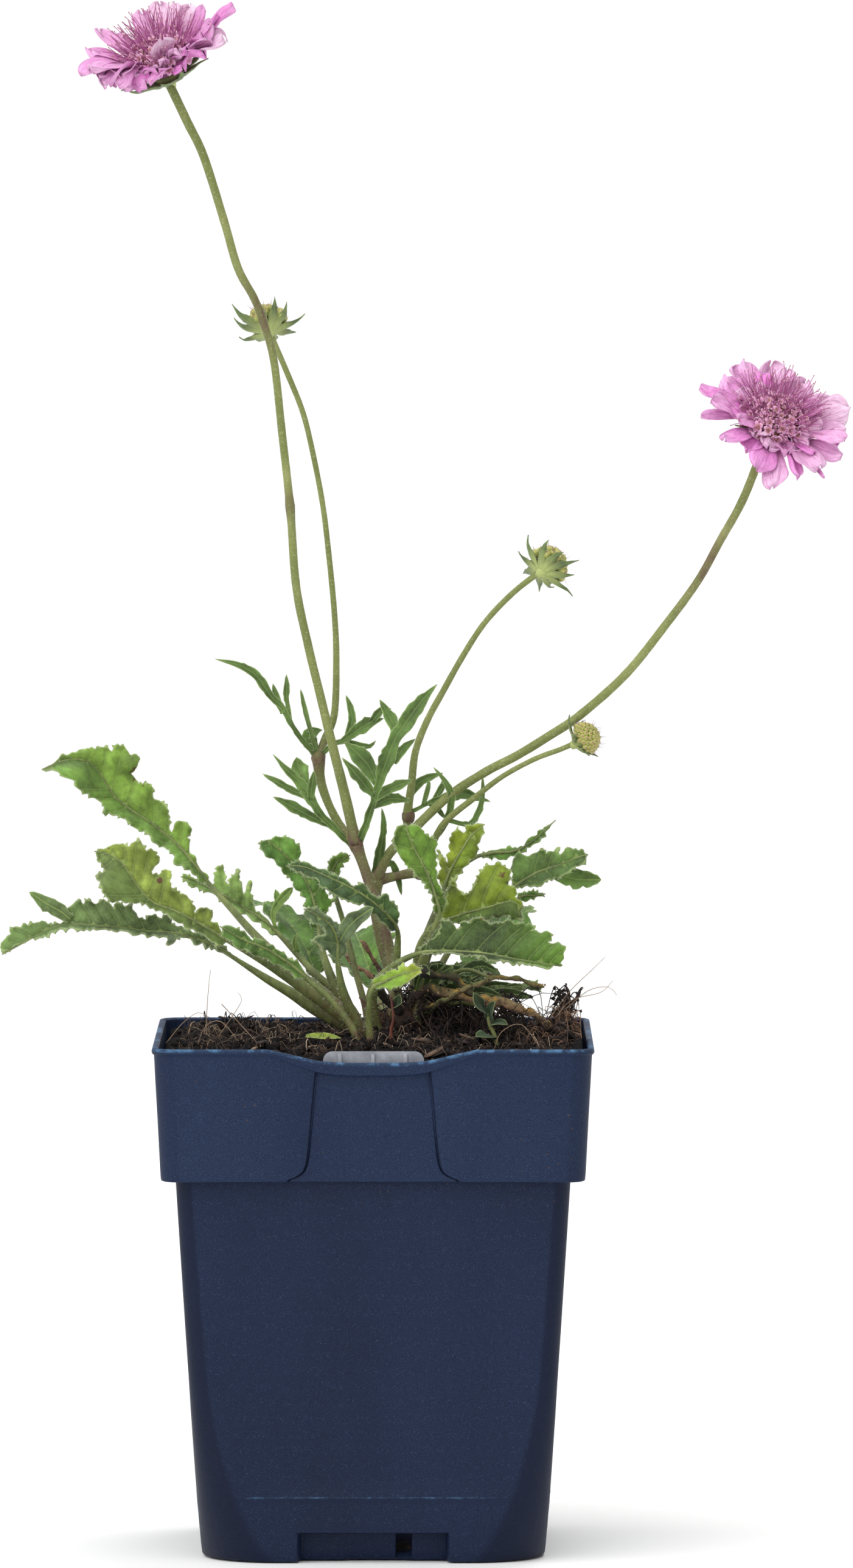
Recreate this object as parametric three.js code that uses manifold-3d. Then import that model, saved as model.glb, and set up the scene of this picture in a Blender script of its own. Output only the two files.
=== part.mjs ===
// Potted pink scabious: a square blue nursery pot filled with soil, a woody crown with a rosette
// of cut leaves, two leafy flowering clumps, two open blooms, two green buds and one seed head.
// Millimetres, +Z up, the origin is the centre of the flat underside of the pot, -Y is the front.
import * as THREE from 'three';
import { mergeVertices } from 'three/addons/utils/BufferGeometryUtils.js';
import Module from 'manifold-3d';

const wasm = await Module();
wasm.setup();
const group = new THREE.Group();

// Driving sizes of the pot
const POT_HEIGHT = 129.1;
const RIM_HALF = 55;
const RIM_CORNER = 5.6;
const BAND_BOTTOM = 96;
const BAND_BOTTOM_HALF = 52.8;
const BAND_TOP = 127.7;
const BAND_TOP_HALF = 54.5;
const WALL = 1.3;
const FLOOR = 1.6;
const CORNER_STEPS = 4;
const INNER_CORNER_STEPS = 2;
const PANEL_RECESS = 1;
const FOOT_NOTCH_HEIGHT = 7;
const FOOT_NOTCH_DEPTH = 5;
const FIT_GAP = 0.4;

// Driving sizes of the plant
const STALK_SIDES = 5;
const PETIOLE_SIDES = 4;
const LEAF_THICKNESS = 0.7;
const RIB_THICKNESS = 1.5;
const BLADE_THICKNESS = 0.7;
const BLOOM_RADIUS = 22;
const RAYS = 9;
const INNER_PETALS = 6;
const CENTRE_FLORETS = 16;
const GOLDEN_ANGLE = 2.399963;
const SOIL_LEVEL = 127;

// Closed solids and the geometry shared by several pieces

function solid(geometry) {
  const plain = geometry.clone();
  plain.deleteAttribute('normal');
  plain.deleteAttribute('uv');
  const merged = mergeVertices(plain, 1e-4);
  return new wasm.Manifold(new wasm.Mesh({
    numProp: 3,
    vertProperties: new Float32Array(merged.attributes.position.array),
    triVerts: new Uint32Array(merged.index.array),
  }));
}

function fuse(pieces) {
  return pieces
    .map((piece) => (piece.isBufferGeometry ? solid(piece) : piece))
    .reduce((whole, piece) => whole.add(piece));
}

function addPart(name, shape, material) {
  const mesh = shape.getMesh();
  const geometry = new THREE.BufferGeometry();
  geometry.setAttribute('position', new THREE.BufferAttribute(new Float32Array(mesh.vertProperties), 3));
  geometry.setIndex(new THREE.BufferAttribute(new Uint32Array(mesh.triVerts), 1));
  geometry.computeVertexNormals();
  const part = new THREE.Mesh(geometry, material);
  part.name = name;
  group.add(part);
}

function surface(color, roughness) {
  return new THREE.MeshStandardMaterial({ color: new THREE.Color(color), roughness, metalness: 0 });
}

function box(x0, x1, y0, y1, z0, z1) {
  const geometry = new THREE.BoxGeometry(x1 - x0, y1 - y0, z1 - z0);
  geometry.translate((x0 + x1) / 2, (y0 + y1) / 2, (z0 + z1) / 2);
  return geometry;
}

// A flat outline in x and z, given thickness along y
function plate(points, y0, y1) {
  const outline = new THREE.Shape(points.map(([x, z]) => new THREE.Vector2(x, z)));
  const geometry = new THREE.ExtrudeGeometry(outline, { depth: y1 - y0, bevelEnabled: false });
  geometry.rotateX(Math.PI / 2);
  geometry.translate(0, y1, 0);
  return geometry;
}

function seeded(seed) {
  let state = seed;
  return () => {
    state = (state * 1664525 + 1013904223) % 4294967296;
    return state / 4294967296;
  };
}

function vectors(points) {
  return points.map(([x, y, z]) => new THREE.Vector3(x, y, z));
}

// Reads a short list of values as a smooth run from 0 to 1
function along(values, t) {
  const place = t * (values.length - 1);
  const index = Math.min(Math.floor(place), values.length - 2);
  return THREE.MathUtils.lerp(values[index], values[index + 1], place - index);
}

// Closed skin over rings that all have the same number of points
function skin(rings) {
  const count = rings[0].length;
  const positions = [];
  const triangles = [];
  rings.forEach((ring) => ring.forEach((point) => positions.push(point.x, point.y, point.z)));
  for (let ring = 0; ring + 1 < rings.length; ring += 1) {
    for (let i = 0; i < count; i += 1) {
      const a = ring * count + i;
      const b = ring * count + ((i + 1) % count);
      triangles.push(a, b, b + count, a, b + count, a + count);
    }
  }
  const last = (rings.length - 1) * count;
  for (let i = 1; i + 1 < count; i += 1) {
    triangles.push(0, i + 1, i);
    triangles.push(last, last + i, last + i + 1);
  }
  return closed(positions, triangles);
}

function closed(positions, triangles) {
  const geometry = new THREE.BufferGeometry();
  geometry.setAttribute('position', new THREE.BufferAttribute(new Float32Array(positions), 3));
  geometry.setIndex(triangles);
  return geometry;
}

// Round stalk along a smooth curve, its radius read from a short list
function stalk(points, radii, sides = STALK_SIDES, steps = points.length * 2) {
  const curve = new THREE.CatmullRomCurve3(vectors(points));
  const frames = curve.computeFrenetFrames(steps, false);
  const rings = [];
  for (let step = 0; step <= steps; step += 1) {
    const centre = curve.getPointAt(step / steps);
    const radius = along(radii, step / steps);
    const ring = [];
    for (let side = 0; side < sides; side += 1) {
      const angle = (side / sides) * Math.PI * 2;
      ring.push(centre.clone()
        .addScaledVector(frames.normals[step], radius * Math.cos(angle))
        .addScaledVector(frames.binormals[step], radius * Math.sin(angle)));
    }
    rings.push(ring);
  }
  return skin(rings);
}

// Narrow flat blade along a smooth curve; "up" is the way its upper face looks
function strap(points, half, up, thickness = BLADE_THICKNESS, steps = points.length - 1) {
  const curve = new THREE.CatmullRomCurve3(vectors(points));
  const rings = [];
  for (let step = 0; step <= steps; step += 1) {
    const centre = curve.getPointAt(step / steps);
    const tangent = curve.getTangentAt(step / steps);
    const side = tangent.clone().cross(up).normalize();
    const face = side.clone().cross(tangent).normalize().multiplyScalar(thickness / 2);
    side.multiplyScalar(along(half, step / steps));
    rings.push([
      centre.clone().sub(side).sub(face),
      centre.clone().sub(side).add(face),
      centre.clone().add(side).add(face),
      centre.clone().add(side).sub(face),
    ]);
  }
  return skin(rings);
}

// Finds how far along the rib an outline point lies, never going back towards the base
function ribPlaces(rib, edge) {
  let reached = 0;
  return edge.map(([x, z]) => {
    let best = Infinity;
    let place = reached;
    for (let i = Math.min(Math.floor(reached), rib.length - 2); i + 1 < rib.length; i += 1) {
      const dx = rib[i + 1][0] - rib[i][0];
      const dz = rib[i + 1][1] - rib[i][1];
      const share = ((x - rib[i][0]) * dx + (z - rib[i][1]) * dz) / (dx * dx + dz * dz);
      const t = THREE.MathUtils.clamp(share, Math.max(reached - i, 0), 1);
      const distance = Math.hypot(x - rib[i][0] - t * dx, z - rib[i][1] - t * dz);
      if (distance < best) {
        best = distance;
        place = i + t;
      }
    }
    reached = place;
    return { x, z, place, distance: best };
  });
}

// Lobed sheet laid out flat as a rib and two outlines, bent into shape by "bend"
// and given a thickness that is greater along the rib
function sheet({ rib, upper, lower }, bend, thickness, ribThickness) {
  const last = rib.length - 1;
  const points = rib.map(([x, z], index) => bend({ x, z, place: index, distance: 0 }, 0));
  const faces = [];
  const outline = [];
  [upper, lower].forEach((edge, side) => {
    const first = points.length;
    const places = ribPlaces(rib, edge);
    places.forEach((place) => points.push(bend(place, side)));
    let i = 0;
    let j = 0;
    while (i < last || j < places.length - 1) {
      const stepRib = j === places.length - 1 || (i < last && i + 1 <= places[j + 1].place);
      const next = stepRib ? i + 1 : first + j + 1;
      faces.push(side ? [i, first + j, next] : [i, next, first + j]);
      if (stepRib) i += 1;
      else j += 1;
    }
    const run = [0, ...places.map((unused, index) => first + index), last];
    for (let k = 0; k + 1 < run.length; k += 1) {
      outline.push(side ? [run[k], run[k + 1]] : [run[k + 1], run[k]]);
    }
  });
  const depth = points.map((unused, index) => (index > 0 && index < last ? ribThickness : thickness));
  return thickened(points, faces, outline, depth);
}

// Gives an open sheet of triangles its thickness, alike on both faces, and closes the edge
function thickened(points, faces, outline, depth) {
  const normals = points.map(() => new THREE.Vector3());
  faces.forEach(([a, b, c]) => {
    const normal = points[b].clone().sub(points[a]).cross(points[c].clone().sub(points[a]));
    [a, b, c].forEach((index) => normals[index].add(normal));
  });
  const positions = [];
  [0.5, -0.5].forEach((share) => points.forEach((point, index) => {
    const moved = point.clone().addScaledVector(normals[index].clone().normalize(), depth[index] * share);
    positions.push(moved.x, moved.y, moved.z);
  }));
  const count = points.length;
  const triangles = [];
  faces.forEach(([a, b, c]) => triangles.push(a, b, c, count + a, count + c, count + b));
  outline.forEach(([a, b]) => triangles.push(a, count + a, count + b, a, count + b, b));
  return closed(positions, triangles);
}

// Leaf blade seen from the front as it is drawn; both halves tilt away from the rib
function lobedBlade(leaf) {
  const flat = { rib: leaf.rib.map(([x, , z]) => [x, z]), upper: leaf.upper, lower: leaf.lower };
  const depths = leaf.rib.map(([, y]) => y);
  const bend = ({ x, z, place, distance }, side) => {
    const y = along(depths, place / (depths.length - 1));
    return new THREE.Vector3(x, y + leaf.tilt[side] * distance, z);
  };
  return sheet(flat, bend, LEAF_THICKNESS, RIB_THICKNESS);
}

// Stalk of a leaf; with a gap it is the hole that the stalk stands in
function petiole(leaf, gap) {
  const points = [...leaf.stalk, ...leaf.rib.slice(0, 2)];
  const radii = [...leaf.round, 0.5].map((radius) => radius + gap);
  return stalk(lowered(points, gap), radii, PETIOLE_SIDES, leaf.stalk.length);
}

// Moves the foot of a run of points outwards along its own direction
function lowered(points, gap) {
  const [first, second] = vectors(points.slice(0, 2));
  const foot = first.clone().addScaledVector(first.clone().sub(second).normalize(), gap);
  return [foot.toArray(), ...points.slice(1)];
}

// A whole leaf: stalk and lobed blade in one piece
function wholeLeaf(leaf) {
  const pieces = [petiole(leaf, 0), lobedBlade(leaf)];
  (leaf.lobes || []).forEach((lobe) => pieces.push(strap(lobe.rib, lobe.half, FRONT)));
  return pieces;
}

const FRONT = new THREE.Vector3(0, -1, 0.25);

// Pot

function squareRing(half, corner, z, steps = CORNER_STEPS) {
  const ring = [];
  for (let quarter = 0; quarter < 4; quarter += 1) {
    for (let step = 0; step <= steps; step += 1) {
      const angle = (quarter + step / steps) * (Math.PI / 2);
      const sx = quarter === 0 || quarter === 3 ? 1 : -1;
      const sy = quarter < 2 ? 1 : -1;
      ring.push(new THREE.Vector3(
        sx * (half - corner) + corner * Math.cos(angle),
        sy * (half - corner) + corner * Math.sin(angle),
        z,
      ));
    }
  }
  return ring;
}

const OUTER_PROFILE = [
  [0, 43, 18.6], [6, 43.5, 14.8], [14, 44.1, 11.2], [30, 45.1, 6.7], [45, 46, 4.9],
  [BAND_BOTTOM, 49.2, 4.3], [BAND_BOTTOM, BAND_BOTTOM_HALF, 5], [BAND_TOP, BAND_TOP_HALF, 5.4],
  [BAND_TOP + 0.1, RIM_HALF, RIM_CORNER], [POT_HEIGHT, RIM_HALF, RIM_CORNER],
];

const INNER_PROFILE = [
  [FLOOR, 41.9, 16.5], [8, 42.3, 12.5], [28, 43.6, 5.8],
  [96.4, 47.8, 3.2], [98.2, 50.9, 3.8], [POT_HEIGHT + 0.4, 52.5, 4.2],
];

function innerRings(gap, top) {
  const rings = INNER_PROFILE.filter(([z]) => z < top);
  return rings.map(([z, half, corner], index) => (
    squareRing(half - gap, corner, index === 0 ? z + gap : z, INNER_CORNER_STEPS)));
}

// The same cutter on all four sides of the pot
function eachSide(makeCutters) {
  return fuse([0, 1, 2, 3].flatMap((quarter) => makeCutters().map((cutter) => (
    cutter.rotateZ(quarter * Math.PI / 2)))));
}

function panelCutter() {
  const edge = [
    [14.5, BAND_TOP - 0.1], [16, 112], [17, 104], [17.6, 100.6], [18.8, 97.9], [21, BAND_BOTTOM - 1],
  ];
  const mirrored = edge.map(([x, z]) => [-x, z]).reverse();
  const lean = Math.atan((BAND_TOP_HALF - BAND_BOTTOM_HALF) / (BAND_TOP - BAND_BOTTOM));
  const geometry = plate([...edge, ...mirrored], -3, 0);
  geometry.translate(0, 0, -BAND_BOTTOM);
  geometry.rotateX(lean);
  geometry.translate(0, -BAND_BOTTOM_HALF + PANEL_RECESS, BAND_BOTTOM);
  return [geometry];
}

function footCutter() {
  const outline = [[-19.3, -1], [19.3, -1], [18.3, FOOT_NOTCH_HEIGHT], [-18.3, FOOT_NOTCH_HEIGHT]];
  return [
    plate(outline, -46, -43.5 + FOOT_NOTCH_DEPTH),
    box(5.8, 9.4, -39, -30, 2.4, 5.6),
  ];
}

function footCover(gap) {
  const depth = -43.5 + FOOT_NOTCH_DEPTH + WALL + gap;
  return [box(-20.6 - gap, 20.6 + gap, -46, depth, 0, FOOT_NOTCH_HEIGHT + WALL + gap)];
}

const DIP_LEVEL = 125.8;
const DIP_HALF = 21.5;
const DIP_STEPS = 8;

// Height of the dipped front rim above a point across the pot
function dipHeight(x) {
  return DIP_LEVEL + (POT_HEIGHT - DIP_LEVEL) * (x / DIP_HALF) ** 4;
}

function frontBead() {
  const top = [];
  const bottom = [];
  for (let i = 0; i <= DIP_STEPS; i += 1) {
    const x = DIP_HALF * ((2 * i) / DIP_STEPS - 1);
    top.unshift([x, dipHeight(x)]);
    bottom.push([x, 122.8 + 4.8 * (x / DIP_HALF) ** 4]);
  }
  return plate([...bottom, ...top], -55.1, -53);
}

function dipCutter() {
  const outline = [[DIP_HALF, POT_HEIGHT + 2], [-DIP_HALF, POT_HEIGHT + 2]];
  for (let i = 0; i <= DIP_STEPS; i += 1) {
    const x = DIP_HALF * ((2 * i) / DIP_STEPS - 1);
    outline.push([x, dipHeight(x)]);
  }
  return plate(outline, -57, -51.9);
}

function labelPlate() {
  const outline = [
    [-12.4, 112], [12.7, 112], [12.7, 126.2], [12, 127.7], [10.4, 128.3], [-10.1, 128.3], [-11.7, 127.7],
    [-12.4, 126.2],
  ];
  const pieces = [plate(outline, -51.2, -50)];
  [-8.2, 0, 8.1].forEach((x) => pieces.push(box(x - 0.5, x + 0.5, -51.9, -51, 121, 127.9)));
  [-11.8, 12.1].forEach((x) => pieces.push(box(x - 0.6, x + 0.6, -52.3, -51, 112, 121)));
  return fuse(pieces);
}

function potShape() {
  const outer = solid(skin(OUTER_PROFILE.map(([z, half, corner]) => squareRing(half, corner, z))));
  const cavity = solid(skin(innerRings(0, POT_HEIGHT + 1))).subtract(eachSide(() => footCover(0)));
  return outer
    .subtract(eachSide(panelCutter))
    .add(solid(frontBead()))
    .subtract(cavity)
    .subtract(solid(dipCutter()))
    .subtract(eachSide(footCutter))
    .add(labelPlate());
}

// Woody crown, its dry stalks, the rhizome and the clump of roots at the right

const WOOD = [
  // dark arching rhizome
  { radii: [1.5, 1.6, 1.4, 1.2],
    points: [
      [9, -8, 134], [2.5, -13.5, 139], [1.5, -16, 143.5], [7, -17, 145.5], [14.5, -17.5, 145.5],
      [21, -18, 143.5], [27, -19, 139],
    ] },
  // tan rhizome running to the right
  { radii: [1.4, 1.7, 1.7, 1.5, 1.3],
    points: [
      [9, -10, 137], [13, -14, 141], [19, -17, 140.5], [27, -19, 139], [33, -20, 138],
      [39, -20, 135.5], [44.5, -18, 132], [48, -17, 127.5],
    ] },
  // old cut stub
  { radii: [1.3, 1.5, 1.3, 1.2],
    points: [
      [11.5, -10, 135.5], [16, -17, 138], [21, -22, 140.5], [25.5, -25, 143], [31.5, -25, 145],
      [37.5, -25, 144.5], [43, -24, 142],
    ] },
  // dry stalks
  { radii: [1.1, 0.8, 0.6],
    points: [[7.5, 10, 130.5], [4, 14, 135.5], [1, 20, 140.5], [-4, 23, 144], [-9, 24, 148.5]] },
  { radii: [1.0, 0.8, 0.6],
    points: [[8, 12, 129.5], [6, 17, 134.5], [4, 22, 139.5], [0.5, 22, 145], [-2.5, 22, 151]] },
  // clump of roots by the right-hand rim
  { radii: [2.2, 2.6, 1.8, 1.2],
    points: [[44.5, -17, 131.5], [47.5, -12, 134.5], [49, -8, 138], [48.5, -6, 141.5]] },
  { radii: [1.4, 1.6, 1.0],
    points: [[48.5, -9, 136.5], [51, -8, 138.5], [52.5, -8, 141.5]] },
];

const WOOD_LUMPS = [
  { centre: [8.5, -3, 129.5], size: [7.5, 8, 8] },
  { centre: [8.5, 9.5, 129.5], size: [6.5, 7, 7.5] },
  { centre: [46, -17, 129.5], size: [4, 4, 4] },
];

function lump({ centre, size }, gap, seed) {
  const random = seeded(seed);
  const geometry = new THREE.IcosahedronGeometry(1, 1);
  geometry.deleteAttribute('normal');
  geometry.deleteAttribute('uv');
  const merged = mergeVertices(geometry, 1e-4);
  const position = merged.attributes.position;
  for (let i = 0; i < position.count; i += 1) {
    const swell = 0.86 + 0.28 * random();
    position.setXYZ(
      i,
      centre[0] + position.getX(i) * (size[0] * swell + gap),
      centre[1] + position.getY(i) * (size[1] * swell + gap),
      centre[2] + position.getZ(i) * (size[2] * swell + gap),
    );
  }
  return merged;
}

function woodShape(gap) {
  const pieces = WOOD_LUMPS.map((item, index) => lump(item, gap, 11 + index));
  WOOD.forEach(({ points, radii }) => {
    pieces.push(stalk(points, radii.map((radius) => radius + gap), STALK_SIDES, points.length - 1));
  });
  return fuse(pieces);
}

// Soil

function soilHeight(x, y) {
  const mound = 3 * Math.exp(-((x - 8) ** 2 + y ** 2) / 500);
  const waves = Math.sin(x * 0.42 + 1.3 * Math.sin(y * 0.21));
  const clods = 0.9 * waves * Math.cos(y * 0.37 + 0.8 * Math.sin(x * 0.19));
  return SOIL_LEVEL + mound + clods + 0.5 * Math.sin(x * 0.9 + y * 1.1);
}

function soilShape() {
  const rings = innerRings(FIT_GAP, 120);
  const wall = 51.8;
  rings.push(squareRing(wall, 4, 124.5, INNER_CORNER_STEPS));
  [0.97, 0.84, 0.62, 0.4, 0.2].forEach((share) => {
    const ring = squareRing(wall * share, wall * share * 0.5 * (1.05 - share), 0, INNER_CORNER_STEPS);
    rings.push(ring.map((point) => new THREE.Vector3(
      point.x,
      point.y,
      share > 0.95 ? 126 : soilHeight(point.x, point.y),
    )));
  });
  const pocket = box(-13, 13.3, -54, -49.5, 111.5, 131);
  return solid(skin(rings)).subtract(eachSide(() => footCover(FIT_GAP))).subtract(solid(pocket));
}

// Leaves of the rosette, read off their outlines; upper and lower edges run from base to tip

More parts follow.
